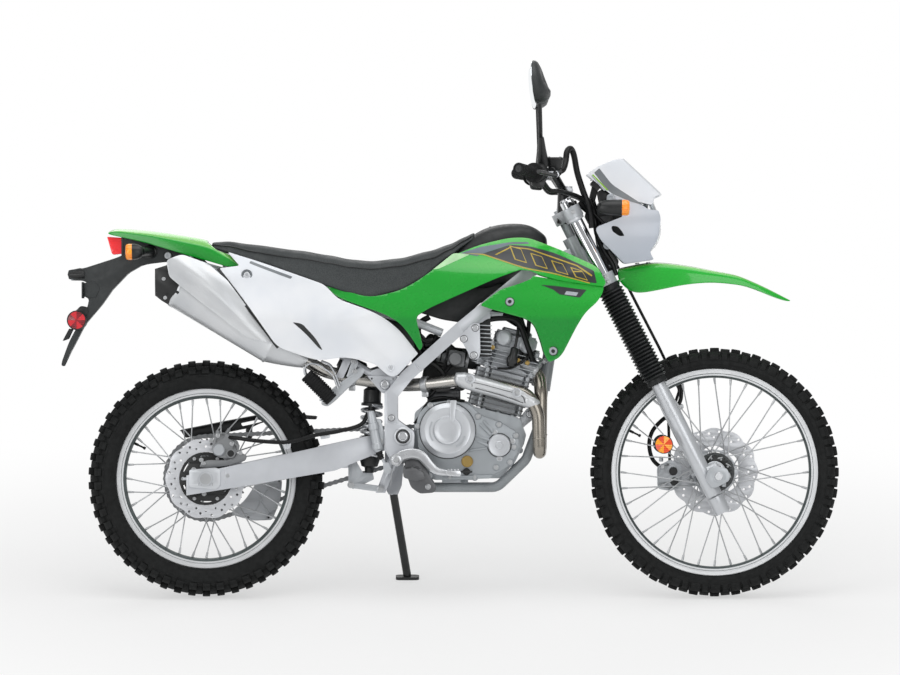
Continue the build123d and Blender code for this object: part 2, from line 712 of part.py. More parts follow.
side_cover = belt_rear + [
    (335, 833), (363, 806), (444, 775), (485, 755), (526, 722), (558, 681), (575, 659),
    (520, 602), (507, 596), (493, 602), (458, 632), (431, 640), (376, 651), (335, 645), (303, 642),
    (254, 656), (194, 678), (105, 805), (37, 892), (92, 897),
]
side_cover_levels = [
    (580, (20, 164), (300, 150), (600, 122)),
    (760, (20, 164), (300, 152), (600, 122)),
    (860, (20, 128), (300, 126), (600, 110)),
    (960, (20, 84), (300, 98), (600, 90)),
]


def make_side_covers():
    """The pale covers below the seat."""
    panel = skin(side_cover_levels, panel_t) & side_plate(side_cover, 40, 200)
    return pair(stand_off(stand_off(panel, 113, 868, 9, 75.8), 501, 623, 9, tab_y + seat_gap))


def hooded(outline, plan_half, wall, depth):
    """A mudguard: a thin roof over two short sides, open below."""
    low, high = min(z for x, z in outline) - 80, max(z for x, z in outline) + 20
    outer = side_plate(outline, -200, 200) & plan_prism(mirrored_outline(plan_half), low, high)
    lowered = [(x, z - wall) for x, z in outline[:depth]] + [(x, z - 60) for x, z in outline[depth:]]
    inner = side_plate(lowered, -200, 200) & plan_prism(mirrored_outline([(x, y - wall) for x,
        y in plan_half]), low, high)
    return outer - inner


rear_fender_outline = [
    (-262, 994), (-235, 998), (-153, 993), (10, 966), (16, 957), (50, 934), (91, 898), (80, 895),
    (50, 898), (-45, 925), (-153, 958), (-235, 979), (-264, 985),
]
rear_fender_plan = [(-270, 52), (-200, 66), (0, 84), (95, 100)]
front_fender_outline = by(low_clamp, [
    (35.3, 38), (122.3, 49), (203.3, 43), (285.3, 27), (353.3, 16), (380.3, 5), (502.3, -55),
    (497.3, -59), (461.3, -49), (380.3, -17), (298.3, -7), (230.3, -11), (149.3, -27),
    (84.3, -38), (67.3, -36), (39.3, -2),
])
front_fender_plan = [(1110, 50), (1190, 54), (1260, 68), (1420, 66), (1540, 44), (1590, 22)]


def make_rear_fender():
    """The green tail piece over the rear wheel."""
    return hooded(rear_fender_outline, rear_fender_plan, panel_t, 7)


def make_front_fender():
    """The long high front mudguard, with the plate that bolts it under the lower clamp."""
    plate = extrude(fork_plane(lower_clamp_h - clamp_t / 2 - seat_gap - 6, 0, 17) * RectangleRounded(80,
        98, 10), 6)
    return join(hooded(front_fender_outline, front_fender_plan, panel_t, 7), plate)


mudguard_outline = [
    (-60, 974), (-153, 989.6), (-218, 993.6), (-224, 974), (-224, 928), (-215, 905), (-262, 898),
    (-376, 890), (-380, 864), (-333, 858), (-333, 812), (-300, 806), (-345, 700), (-393, 634),
    (-388, 626), (-344, 690), (-285, 770), (-249, 812), (-208, 862), (-160, 896), (-113, 903), (-67, 905),
    (15, 893),
]


plate_x, plate_t = -333.5, 4  # the number plate's bracket, ahead of the plate
plate_hole_y, plate_hole_z, plate_hole_r = 52, 832, 3.25


def make_mudguard():
    """The black under-tail with the plate bracket, the flap and two round reflectors."""
    body = side_plate(mudguard_outline, -46, 46)
    body = join(body, front_prism([(-60, plate_hole_z - 20), (60, plate_hole_z - 20),
        (60, plate_hole_z + 20), (-60, plate_hole_z + 20)], plate_x - plate_t, plate_x, 6))
    body -= [rod((plate_x - 20, s * plate_hole_y, plate_hole_z),
        (plate_x + 2, s * plate_hole_y, plate_hole_z), plate_hole_r) for s in (1, -1)]
    reflectors = [boss(-350, 751, 26, s * 46, s * 62) for s in (1, -1)]
    arms = [side_plate([(-362, 760), (-338, 765), (-318, 745), (-330, 730)], s * 40, s * 55) for s in (1, -1)]
    return join(body, *reflectors, *arms)


def make_tail_lamp():
    """The tail lamp under the fender's end."""
    return side_plate([(-270, 978), (-224.4, 974), (-224.4, 932), (-252, 928)], -44, 44, 4)


def make_rear_indicators():
    """The two rear indicators on their stalks."""
    made = []
    for s in (1, -1):
        bulb = rod((-215, s * 112, 936), (-160, s * 112, 940), 21)
        stalk = rod((-175, s * 46.3, 938), (-175, s * 112, 938), 10)
        made.append(join(bulb, stalk))
    return made


# ---------------------------------------------------------------- steered pieces
def fork_solid(height, holes=False):
    """One triple clamp's plate, with or without the holes for the tubes."""
    rounds = [Pos(0, s * fork_half) * Circle(fork_tube_r + 9)
        for s in (1, -1)] + [Pos(-clamp_offset, 0) * Circle(24)]
    outline = make_hull([edge for circle in rounds for edge in circle.edges()])
    if holes:
        outline -= [Pos(0, s * fork_half) * Circle(fork_tube_r + axle_clearance) for s in (1, -1)]
    return extrude(fork_plane(height - clamp_t / 2) * outline, clamp_t)


def make_fork_clamps():
    """The two triple clamps and the stem that joins them."""
    low, high = fork_solid(lower_clamp_h, True), fork_solid(upper_clamp_h, True)
    stem = rod(steer_foot + up_fork * (lower_clamp_h - clamp_t / 2),
        steer_foot + up_fork * (upper_clamp_h + clamp_t / 2 + 8), 14)
    return join(low, stem, high)


def make_fork_tubes():
    """The two chromed fork tubes."""
    return [rod(on_fork(40, s * fork_half), on_fork(tube_top_h, s * fork_half), fork_tube_r) for s in (1, -1)]


def make_fork_boots():
    """The ribbed gaiters over the fork tubes, each turned about its tube."""
    bore, step = fork_tube_r + seat_gap, (boot_top_h - boot_foot_h - 2 * boot_cuff) / boot_ribs
    boots = []
    for s in (1, -1):
        y = s * fork_half
        outer = [(boot_foot_h, boot_waist_r), (boot_foot_h + boot_cuff, boot_waist_r)]
        for k in range(boot_ribs):
            foot = boot_foot_h + boot_cuff + step * k
            outer += [(foot + step * 0.5, fork_boot_r), (foot + step, boot_waist_r)]
        outer += [(boot_top_h, boot_waist_r), (boot_top_h, bore), (boot_foot_h, bore)]
        face = make_face(Polyline(*[on_fork(h, y, r) for h, r in outer], close=True))
        boots.append(revolve(face, axis=Axis(on_fork(0, y), up_fork)))
    return boots


def make_fork_sliders():
    """The two lower legs, with the bosses that clamp the axle."""
    legs = []
    for s in (1, -1):
        leg = rod(on_fork(slider_foot_h, s * fork_half), on_fork(boot_foot_h - seat_gap, s * fork_half),
            slider_r)
        lug = extrude(fork_plane(-24, s * fork_half, axle_lead / 2) * RectangleRounded(axle_lead + 32,
            2 * lug_half, 8), 48)
        leg = leg + lug
        leg -= rod(on_fork(20, s * fork_half), on_fork(boot_foot_h + 5, s * fork_half),
            fork_tube_r + axle_clearance)
        leg -= boss(wheelbase, front_wheel["tyre_r"], front_wheel["bore_r"] + axle_clearance, s * 60, s * 130)
        legs.append(leg)
    return legs


bar_r = 11.1
grip_r = 16
bar_clamp = top_clamp + Vector(-36.3, 0, 88.7)
bar_rise, bar_knee, bar_end = [tuple(bar_clamp + Vector(*v))
    for v in ((-32, 150, 52), (-82, 290, 50), (-126, 415, 60))]


def on_bar(inward, side):
    """A point on the handlebar, so far inward from the grip's flange."""
    knee, rise = Vector(*bar_knee), Vector(*bar_rise)
    point = knee + (rise - knee).normalized() * inward
    return Vector(point.X, side * point.Y, point.Z)


pump_lead = Vector(25, 0, 4)  # the front brake's pump, ahead of the bar


def make_handlebar():
    """The handlebar and the two risers that clamp it."""
    half = tube([(bar_clamp.X, 0, bar_clamp.Z), (bar_clamp.X, 50, bar_clamp.Z), bar_rise, bar_knee,
        bar_end], bar_r, 30)
    clamp_top = on_fork(upper_clamp_h + clamp_t / 2 + seat_gap).Z - 10
    risers = [rod((bar_clamp.X - 4, s * 42, clamp_top), (bar_clamp.X, s * 42, bar_clamp.Z + 15), 17)
        for s in (1, -1)]
    return join(half, mirror(half, about=Plane.XZ), *risers) - fork_solid(upper_clamp_h)


def make_grips():
    """The two rubber grips with their flanges."""
    made = []
    for s in (1, -1):
        start, end = Vector(bar_knee[0], s * bar_knee[1], bar_knee[2]), Vector(bar_end[0], s * bar_end[1],
            bar_end[2])
        along = (end - start).normalized()
        inner, outer = start + along * 8, end + along * 6
        grip = rod(inner, outer, grip_r) + rod(inner, inner + along * 5, 27)
        made.append(grip - rod(start, end + along * seat_gap, bar_r + axle_clearance))
    return made


def make_hand_controls():
    """The switch boxes, perches and levers inside the grips."""
    made = []
    for s in (1, -1):
        housing = rod(on_bar(3, s), on_bar(46, s), 21)
        perch = rod(on_bar(54, s), on_bar(78, s), 17)
        neck = rod(on_bar(46, s), on_bar(54, s), 14)
        hinge = on_bar(62, s) + Vector(34, 0, -4)
        arm = rod(on_bar(66, s) + Vector(10, 0, 0), hinge, 9)
        tip = Vector(bar_end[0] + 52, s * (bar_end[1] - 6), bar_end[2] - 8)
        elbow = on_bar(10, s) + Vector(52, 0, -8)
        lever = tube([hinge, elbow, tip], 5.5, 20)
        whole = join(housing, neck, perch, arm, lever)
        if s < 0:
            whole = join(whole, rod(on_bar(60, s) + pump_lead, on_bar(112, s) + pump_lead, 12))
            whole = join(whole, rod(on_bar(86, s) + pump_lead,
                on_bar(86, s) + pump_lead + Vector(0, 0, 32), 19))
        made.append(whole - rod(on_bar(-5, s), on_bar(140, s), bar_r + axle_clearance))
    return made


def make_mirrors():
    """The two mirrors on their stems."""
    made = []
    for s in (1, -1):
        foot = on_bar(66, s) + Vector(0, 0, 17.6)
        stem = tube([foot, foot + Vector(-6, s * 4, 52), bar_clamp + Vector(-69, s * 300, 224),
            bar_clamp + Vector(-70, s * 330, 276)], 6, 40)
        head = Plane(origin=bar_clamp + Vector(-79, s * 345, 292), x_dir=(-0.25 * s, 1, 0),
            z_dir=(-1, -0.25 * s, 0.08)) * RectangleRounded(150, 110, 30)
        made.append(join(stem, extrude(head, -22)))
    return made


def make_headlight_cowl():
    """The white number-plate cowl round the headlamp."""
    outline = by(top_clamp, [
        (22.7, 137.7), (51.7, 157.7), (93.7, 176.7), (117.7, 180.7), (219.7, 84.7), (205.7, 74.7),
        (223.7, 28.7), (219.7, -25.3), (194.7, -74.3), (204.7, -93.3), (125.7, -104.3), (60.7, -39.3),
        (44.7, -6.3), (120.7, 23.7), (87.7, 80.7),
    ])
    plan_half = [(1025, 88), (1100, 98), (1190, 90), (1240, 70)]
    low, high = min(z for x, z in outline) - 20, max(z for x, z in outline) + 12
    outer = side_plate(outline, -130, 130) & plan_prism(mirrored_outline(plan_half), low, high)
    inner = side_plate([(x - 8, z) for x, z in outline], -130,
        130) & plan_prism(mirrored_outline([(x, y - 4) for x, y in plan_half]), low, high - 15)
    return outer - inner - front_prism(lamp_outline, lamp_x, lamp_x + 110)


lamp_z, lamp_x = top_clamp.Z, top_clamp.X + 141.7
lamp_outline = [(y, lamp_z + z) for y, z in [(-66, -67.3), (66, -67.3), (76, -7.3), (66, 70.7),
    (-66, 70.7), (-76, -7.3)]]
clamp_face = 27.8  # just ahead of the upper clamp


def clamp_front(height):
    """A point of the upper clamp's front face in the side view."""
    point = on_fork(height, 0, clamp_face)
    return (point.X, point.Z)


def make_headlamp():
    """The lamp unit in the cowl's mouth, and the bracket that carries it on the upper clamp."""
    inset = [(y * (1 - seat_gap / 70), lamp_z + (z - lamp_z) * (1 - seat_gap / 60)) for y, z in lamp_outline]
    reach = by(top_clamp, [(69.7, 60.7), (146.7, 54.7), (146.7, -7.3)])
    arm = side_plate([clamp_front(upper_clamp_h + 13), *reach, clamp_front(upper_clamp_h - 13)], 52, 58)
    return join(front_prism(inset, lamp_x, lamp_x + 84), *pair(arm))


def make_meter():
    """The instrument panel behind the cowl, and its bracket."""
    arm = side_plate([clamp_front(upper_clamp_h + 13), *by(top_clamp, [(39.7, 110.7), (57.7, 104.7)]),
        clamp_front(upper_clamp_h - 9)], 26, 32)
    case = by(top_clamp, [(31.7, 112.7), (71.7, 152.7), (89.7, 138.7), (53.7, 92.7)])
    return join(side_plate(case, -70, 70, 5), *pair(arm))


def make_front_indicators():
    """The two front indicators on their stalks."""
    made = []
    for s in (1, -1):
        bulb = rod(top_clamp + Vector(53.7, s * 146, 48.7), top_clamp + Vector(137.7, s * 146, 46.7), 22)
        stalk = rod(top_clamp + Vector(73.7, s * 58.3, 44.7), top_clamp + Vector(73.7, s * 146, 44.7), 10)
        made.append(join(bulb, stalk))
    return made


# ---------------------------------------------------------------- brakes and controls
def make_front_caliper():
    """The front brake caliper, astride the disc behind the left leg."""
    block = side_plate([(1226, 300), (1226, 352), (1262, 372), (1290, 356), (1292, 300), (1262, 286)], 38,
        84, 8)
    slot = boss(wheelbase, front_wheel["tyre_r"], front_wheel["disc_r"] + 4, front_wheel["disc_y"] - 4.5,
        front_wheel["disc_y"] + 4.5)
    arm = side_plate([(1285, 356), (1328, 374), (1345, 330), (1330, 300), (1285, 300)], 64,
        fork_half - slider_r - 0.4)
    banjo = boss(1262, 340, 9, 83, 96)
    return join(block - slot, arm, banjo)


def make_rear_caliper():
    """The rear brake caliper, astride the disc above the right arm."""
    block = side_plate([(24, 388), (30, 440), (64, 448), (92, 420), (84, 388)], -92, -52, 8)
    w = rear_wheel
    arm = side_plate([(22, 396), (86, 396), (96, arm_top(96) + seat_gap), (8, arm_top(8) + seat_gap)],
        -94, -80)
    slot = boss(w["x"], w["tyre_r"], w["disc_r"] + 4, w["disc_y"] - 4.8, w["disc_y"] + 4.8)
    return join(block - slot, arm)


def make_footpegs():
    """The two footpegs with the brackets that carry them."""
    made = []
    for s in (1, -1):
        bracket = side_plate([(538, 400), (562, 400), (590, 330), (575, 300), (548, 305), (536, 345)],
            s * (spar_y + spar_t + seat_gap), s * 132, 8)
        peg = side_plate([(545, 346), (580, 346), (575, 322), (550, 322)], s * 130, s * 215, 4)
        made.append(join(bracket, peg))
    return made


def make_foot_levers():
    """The brake pedal on the right and the gear lever on the left."""
    brake = tube([(517, -141, 374), (560, -141, 402), (600, -141, 380), (625, -141, 345),
        (660, -141, 336)], 8, 14)
    brake = join(brake, boss(517, 374, 15, -spar_y - spar_t - seat_gap, -146),
        side_plate([(650, 328), (690, 328), (690, 340), (650, 344)], -160, -132, 3))
    gear = tube([(676, 104, 372), (700, 112, 360), (760, 116, 352)], 6, 12)
    gear = join(gear, boss(676, 372, 12, 56.3, 112), boss(760, 352, 9, 112, 150))
    pump = join(rod(pump_foot, pump_head, 13), side_plate([(462, 432), (483.7, 432), (483.7, 412),
        (462, 412)], -110, -98))
    return [brake, gear, pump]


pump_foot, pump_head = Vector(468, -104, 396), Vector(444, -104, 506)


def make_passenger_pegs():
    """The two folded passenger footpegs, with the brackets that hang them on the seat stays."""
    made = []
    for s in (1, -1):
        peg = rod((279, s * 126, 604), (344, s * 126, 534), 20)
        bracket = side_plate([(378, 648), (400, 652), (404, 600), (352, 524), (325, 526)], s * 97, s * 104, 4)
        foot = boss(390, 638, 9, s * 90.9, s * 98)
        made.append(join(peg, bracket, foot, boss(334, 545, 8, s * 100, s * 126)))
    return made


def make_chain_guards():
    """The guard over the chain, and the guide that holds its lower run in line."""
    inner, outer = 60, 90
    roof = side_plate([(-75, 452), (60, 478), (137, 492), (300, 488), (300, 484), (137, 487), (60, 473),
        (-72, 446)], inner, outer)
    wall = side_plate([(-73, 448), (60, 474), (137, 488), (146, 466), (60, 442), (-62, 428)],
        outer - panel_t, outer)
    stays = [side_plate([(x, arm_top(x) + seat_gap), (x + 18, arm_top(x + 18) + seat_gap), (x + 18, 460),
        (x, 458)], outer - panel_t, outer) for x in (-30, 105)]
    low_points = [(124, 290), (130, 304), (200, 316.5), (205, 300), (200, 262), (172, 206), (92, 216)]
    cheeks = [side_plate(low_points, y, y + 3, 6) for y in (57, 82)]
    foot = side_plate([(130, arm_low(130) - seat_gap - 9), (130, arm_low(130) - seat_gap),
        (200, arm_low(200) - seat_gap), (200, arm_low(200) - seat_gap - 9)], 57, 100)
    sole = side_plate([(95, 224), (168, 214), (168, 208), (92, 217)], 57, 85)
    return [join(roof, wall, *stays), join(*cheeks, foot, sole)]


def make_stand():
    """The side stand, down, with its foot flat on the floor."""
    sole = Plane(origin=stand_foot, x_dir=(1, 0, 0), z_dir=(0, -sin(radians(lean)), cos(radians(lean))))
    eye = rod(stand_pivot - stand_axis * 8, stand_pivot + stand_axis * 8, 16)
    leg = rod(stand_pivot, stand_foot + sole.z_dir * 6, 11)
    pad = extrude(sole * RectangleRounded(64, 40, 12), 8)
    bore = rod(stand_pivot - stand_axis * 30, stand_pivot + stand_axis * 30, stand_pin_r + axle_clearance)
    return join(eye, leg, pad) - bore


def brake_hoses():
    """The hoses from the hand and foot cylinders to the calipers."""
    front = tube([
        on_bar(112.3, -1) + pump_lead, on_bar(140, -1) + pump_lead, bar_clamp + Vector(34, -92, 110),
        bar_clamp + Vector(58, 20, 94), bar_clamp + Vector(64, 74, 44),
        top_clamp + Vector(41.7, 78, 72.7), top_clamp + Vector(53.7, 80, -7.3),
        low_clamp + Vector(31.3, 86, 45), low_clamp + Vector(85.3, 112, -60),
        low_clamp + Vector(149.3, 122, -184), (1288, 138, 560),
        (1258, 138, 470), (1262, 138, 340), (1262, 96.3, 340),
    ], 4, 18)
    rear = tube([
        pump_head + (pump_head - pump_foot).normalized() * seat_gap, (436, -104, 538), (400, -118, 470),
        (250, -124, 420), (110, -118, 412),
        (70, -118, 410), (70, -92.3, 410),
    ], 4, 12)
    return front, rear


# ---------------------------------------------------------------- the parked machine
def build():
    """Every node, upright, by name."""
    front_hose, rear_hose = brake_hoses()
    return {
        "front_tyre": make_tyre(front_wheel), "front_rim": make_rim(front_wheel),
        "front_hub": make_hub(front_wheel), "front_spokes": make_spokes(front_wheel),
        "front_disc": make_disc(front_wheel),
        "rear_tyre": make_tyre(rear_wheel), "rear_rim": make_rim(rear_wheel),
        "rear_hub": make_hub(rear_wheel), "rear_spokes": make_spokes(rear_wheel),
        "rear_disc": make_disc(rear_wheel),
        "rear_sprocket": make_rear_sprocket(), "front_sprocket": make_front_sprocket(),
        "drive_chain": make_chain(),
        "front_axle": make_axle(front_wheel, fork_half + lug_half + seat_gap, 15),
        "rear_axle": make_axle(rear_wheel, arm_rear_y + arm_t + seat_gap, 15),
        "swingarm": make_swingarm(), "swingarm_bolt": make_pivot_bolt(), "rear_shock": make_rear_shock(),
        "shock_link": make_shock_link(),
        "main_frame": make_main_frame(), "cradle": make_cradle(), "subframe": make_subframe(),
        "crankcase": make_crankcase(), "engine_covers": make_engine_covers(), "cylinder": make_cylinder(),
        "cylinder_head": make_cylinder_head(), "air_box": make_air_box(),
        "exhaust_pipe": make_exhaust_pipe(), "muffler": make_muffler(), "muffler_cap": make_muffler_cap(),
        "exhaust_shields": make_exhaust_shields(),
        "seat": make_seat(), "fuel_tank": make_fuel_tank(), "shrouds": make_shrouds(),
        "side_covers": make_side_covers(),
        "rear_fender": make_rear_fender(), "mudguard": make_mudguard(), "tail_lamp": make_tail_lamp(),
        "rear_indicators": make_rear_indicators(),
        "fork_clamps": make_fork_clamps(), "fork_tubes": make_fork_tubes(),
        "fork_boots": make_fork_boots(), "fork_sliders": make_fork_sliders(),
        "handlebar": make_handlebar(), "grips": make_grips(), "mirrors": make_mirrors(),
        "hand_controls": make_hand_controls(),
        "headlight_cowl": make_headlight_cowl(), "headlamp": make_headlamp(), "meter": make_meter(),
        "front_indicators": make_front_indicators(), "front_fender": make_front_fender(),
        "front_caliper": make_front_caliper(), "rear_caliper": make_rear_caliper(),
        "footpegs": make_footpegs() + make_passenger_pegs(), "foot_levers": make_foot_levers(),
        "chain_guard": make_chain_guards(), "side_stand": make_stand(), "front_brake_hose": front_hose,
        "rear_brake_hose": rear_hose,
    }


def as_compound(made):
    """One compound from a piece or a list of pieces."""
    pieces = made if isinstance(made, (list, tuple)) else [made]
    return Compound([solid for piece in pieces for solid in piece.solids()])


nodes = {name: as_compound(made) for name, made in build().items()}
leaning = Rot(-lean, 0, 0)
parked = {name: leaning * node for name, node in nodes.items()}
box = Compound(list(parked.values())).bounding_box()
shift = Pos(-box.center().X, -box.center().Y, -box.min.Z)

os.makedirs("parts", exist_ok=True)
for name, node in parked.items():
    export_step(shift * node, f"parts/{name}.step")
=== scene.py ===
import json
import math
import bpy
import bmesh
from mathutils import Matrix, Vector


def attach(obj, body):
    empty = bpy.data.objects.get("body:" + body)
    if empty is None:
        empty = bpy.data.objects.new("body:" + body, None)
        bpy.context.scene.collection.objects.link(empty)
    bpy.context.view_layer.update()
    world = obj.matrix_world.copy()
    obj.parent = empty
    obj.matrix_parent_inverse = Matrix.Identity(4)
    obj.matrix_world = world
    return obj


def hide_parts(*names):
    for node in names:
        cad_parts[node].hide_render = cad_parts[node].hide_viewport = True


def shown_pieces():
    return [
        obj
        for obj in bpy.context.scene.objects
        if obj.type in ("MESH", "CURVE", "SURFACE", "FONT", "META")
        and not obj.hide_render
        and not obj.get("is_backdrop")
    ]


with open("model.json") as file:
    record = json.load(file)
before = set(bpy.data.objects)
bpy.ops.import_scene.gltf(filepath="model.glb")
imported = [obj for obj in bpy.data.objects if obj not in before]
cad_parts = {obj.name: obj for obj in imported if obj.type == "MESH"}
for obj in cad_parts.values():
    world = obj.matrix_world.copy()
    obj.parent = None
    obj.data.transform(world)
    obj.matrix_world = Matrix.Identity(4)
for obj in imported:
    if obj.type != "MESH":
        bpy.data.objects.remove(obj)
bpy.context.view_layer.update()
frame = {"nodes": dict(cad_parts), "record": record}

# the parked machine's own frame: x ahead of the rear axle, y to the left, z up from the floor, in mm
rearSpin = next(j for j in frame["record"]["behaviour"]["joints"] if j["name"] == "rear_wheel_spin")
lean = math.atan2(-rearSpin["axis"][2], rearSpin["axis"][1])
upright = Matrix.Rotation(-lean, 4, "X")
rearR = 321.0  # the tyres' radii
frontR = 338.0
wheelbase = 1380.0
origin = Vector(rearSpin["pos_m"]) - upright @ Vector((0, 0, rearR / 1000))
parked = Matrix.Translation(origin) @ upright @ Matrix.Scale(0.001, 4)
rake = math.radians(26.8)
upFork = Vector((-math.sin(rake), 0, math.cos(rake)))
aheadFork = Vector((math.cos(rake), 0, math.sin(rake)))
forkFoot = Vector((wheelbase, 0, frontR)) - aheadFork * 30
forkHalf = 95  # from the centre plane to a fork leg
leftSide, rightSide = 1, -1
bothHands = (leftSide, rightSide)


def onFork(height, y=0.0, ahead=0.0):
    return forkFoot + upFork * height + aheadFork * ahead + Vector((0, y, 0))


# shader maths
class Wire:
    # A node socket that takes arithmetic.

    def __init__(self, finish, socket):
        self.finish, self.socket = finish, socket

    def maths(self, kind, other=None, flip=False):
        values = (other, self) if flip else (self, other)
        return self.finish.node("ShaderNodeMath", dict(operation=kind), *values)

    def __add__(self, other):
        return self.maths("ADD", other)

    def __sub__(self, other):
        return self.maths("SUBTRACT", other)

    def __rsub__(self, other):
        return self.maths("SUBTRACT", other, flip=True)

    def __mul__(self, other):
        return self.maths("MULTIPLY", other)

    __radd__, __rmul__ = __add__, __mul__

    def high(self, other):
        return self.maths("MAXIMUM", other)

    def wave(self, pitch):
        return (self * (2 * math.pi / pitch)).maths("SINE")

    def ramp(self, low, high, first, last):
        return self.finish.node("ShaderNodeMapRange", dict(interpolation_type="SMOOTHSTEP"), self, low,
            high, first, last)


def linear(colour):
    shares = [v / 255 for v in colour]
    return tuple(c / 12.92 if c <= 0.04045 else ((c + 0.055) / 1.055) ** 2.4 for c in shares) + (1.0,)


class Finish:
    # A material built from Python expressions.

    made = {}

    def __init__(self, name, colour, roughness=0.5, metallic=0.0, coat=0.0, coatRough=0.1, specular=0.5):
        self.material = bpy.data.materials.new(name)
        self.material.use_nodes = True
        self.tree = self.material.node_tree
        self.shader = self.tree.nodes["Principled BSDF"]
        self.put("Base Color", linear(colour))
        self.put("Roughness", roughness)
        self.put("Metallic", metallic)
        self.put("Coat Weight", coat)
        self.put("Coat Roughness", coatRough)
        self.put("Specular IOR Level", specular)
        Finish.made[name] = self.material
        where = self.tree.nodes.new("ShaderNodeTexCoord")
        back = self.tree.nodes.new("ShaderNodeMapping")
        back.vector_type = "TEXTURE"
        back.inputs["Location"].default_value = origin
        back.inputs["Rotation"].default_value = (-lean, 0, 0)
        back.inputs["Scale"].default_value = (0.001, 0.001, 0.001)
        self.tree.links.new(where.outputs["Object"], back.inputs["Vector"])
        self.place = Wire(self, back.outputs[0])  # millimetres in the machine's own frame
        self.axes = None

    def plug(self, node, *values):
        for socket, value in zip([s for s in node.inputs if s.enabled], values):
            if isinstance(value, Wire):
                self.tree.links.new(value.socket, socket)
            elif value is not None:
                socket.default_value = value
        return Wire(self, next(s for s in node.outputs if s.enabled))

    def node(self, kind, settings, *values):
        made = self.tree.nodes.new(kind)
        for key, value in settings.items():
            setattr(made, key, value)
        return self.plug(made, *values)

    def xyz(self):
        if self.axes is None:
            made = self.tree.nodes.new("ShaderNodeSeparateXYZ")
            self.tree.links.new(self.place.socket, made.inputs[0])
            self.axes = [Wire(self, s) for s in made.outputs]
        return self.axes

    def noise(self, size, detail=3.0):
        return self.texture("ShaderNodeTexNoise", size, Detail=detail)

    def texture(self, kind, size, **more):
        made = self.tree.nodes.new(kind)
        self.tree.links.new(self.place.socket, made.inputs["Vector"])
        made.inputs["Scale"].default_value = 1.0 / size
        for key, value in more.items():
            made.inputs[key].default_value = value
        return Wire(self, made.outputs[0])

    def cells(self, size):
        return self.texture("ShaderNodeTexVoronoi", size)

    def mottle(self, first, second, size, detail, low, high, share=1.0):
        self.put("Base Color", self.mix(self.noise(size, detail).ramp(low, high, 0.0, share), first, second))

    def wear(self, size, detail, low, high, smoothest, roughest):
        self.put("Roughness", self.noise(size, detail).ramp(low, high, smoothest, roughest))

    def mix(self, share, first, second):
        made = self.tree.nodes.new("ShaderNodeMix")
        made.data_type = "RGBA"
        for socket, value in ((made.inputs[0], share), (made.inputs[6], first), (made.inputs[7], second)):
            if isinstance(value, Wire):
                self.tree.links.new(value.socket, socket)
            else:
                socket.default_value = value
        return Wire(self, made.outputs[2])

    def put(self, socket, value):
        if isinstance(value, Wire):
            self.tree.links.new(value.socket, self.shader.inputs[socket])
        else:
            self.shader.inputs[socket].default_value = value

    def bump(self, height, distance, strength=1.0):
        made = self.tree.nodes.new("ShaderNodeBump")
        made.inputs["Strength"].default_value = strength
        made.inputs["Distance"].default_value = distance / 1000
        self.tree.links.new(height.socket, made.inputs["Height"])
        self.tree.links.new(made.outputs[0], self.shader.inputs["Normal"])


# mesh helpers
def asMesh(name, work):
    mesh = bpy.data.meshes.new(name)
    work.to_mesh(mesh)
    work.free()
    return mesh


def evaluated(item):
    # The item's mesh with its modifiers applied; the item is removed.
    graph = bpy.context.evaluated_depsgraph_get()
    mesh = bpy.data.meshes.new_from_object(item.evaluated_get(graph))
    bpy.data.objects.remove(item)
    return mesh


def temporary(mesh):
    item = bpy.data.objects.new("temporary", mesh)
    bpy.context.collection.objects.link(item)
    return item


def modified(mesh, *stack):
    # A mesh with modifiers applied, each given as its type and settings.
    item = temporary(mesh)
    for kind, settings in stack:
        added = item.modifiers.new(kind, kind)
        for key, value in settings.items():
            setattr(added, key, value)
    return evaluated(item)


def rounding(width, segments, angle):
    return "BEVEL", dict(width=width, segments=segments, limit_method="ANGLE", angle_limit=angle)


def bevelled(mesh, width, segments=2, angle=32):
    return modified(mesh, rounding(width, segments, math.radians(angle)))


def walled(mesh, thickness, width, angle, offset=-1, levels=0):
    # An open skin given its wall and rounded edges, smoothed first where levels says so.
    smoothing = [("SUBSURF", dict(levels=levels, render_levels=levels))] if levels else []
    wall = ("SOLIDIFY", dict(thickness=thickness, offset=offset))
    return modified(mesh, *smoothing, wall, rounding(width, 2, angle))


def combined(first, second, operation="INTERSECT"):
    other = temporary(second)
    item = temporary(first)
    cutting = item.modifiers.new("cut", "BOOLEAN")
    cutting.operation, cutting.object, cutting.solver = operation, other, "EXACT"
    mesh = evaluated(item)
    bpy.data.objects.remove(other)
    return mesh


def merged(*meshes):
    work = bmesh.new()
    for mesh in meshes:
        work.from_mesh(mesh)
    return asMesh("merged", work)


def moved(mesh, matrix):
    made = mesh.copy()
    made.transform(matrix)
    if matrix.determinant() < 0:
        made.flip_normals()
    return made


def mirroredMesh(mesh):
    return moved(mesh, Matrix.Scale(-1, 4, (0, 1, 0)))


def bothSides(mesh):
    return merged(mesh, mirroredMesh(mesh))


def faced(mesh):
    work = bmesh.new()
    work.from_mesh(mesh)
    bmesh.ops.remove_doubles(work, verts=work.verts, dist=0.001)
    bmesh.ops.recalc_face_normals(work, faces=work.faces)
    return asMesh("faced", work)


def addPaintedHighlight(mesh):
    # Marks how far each point of a panel faces up, for a painted highlight that makes it paler there.
    mark = mesh.attributes.new("painted_highlight", "FLOAT", "POINT")
    for k, normal in enumerate(mesh.vertex_normals):
        mark.data[k].value = 0.85 * min(1.0, max(0.0, (normal.vector.z - 0.42) / 0.4))


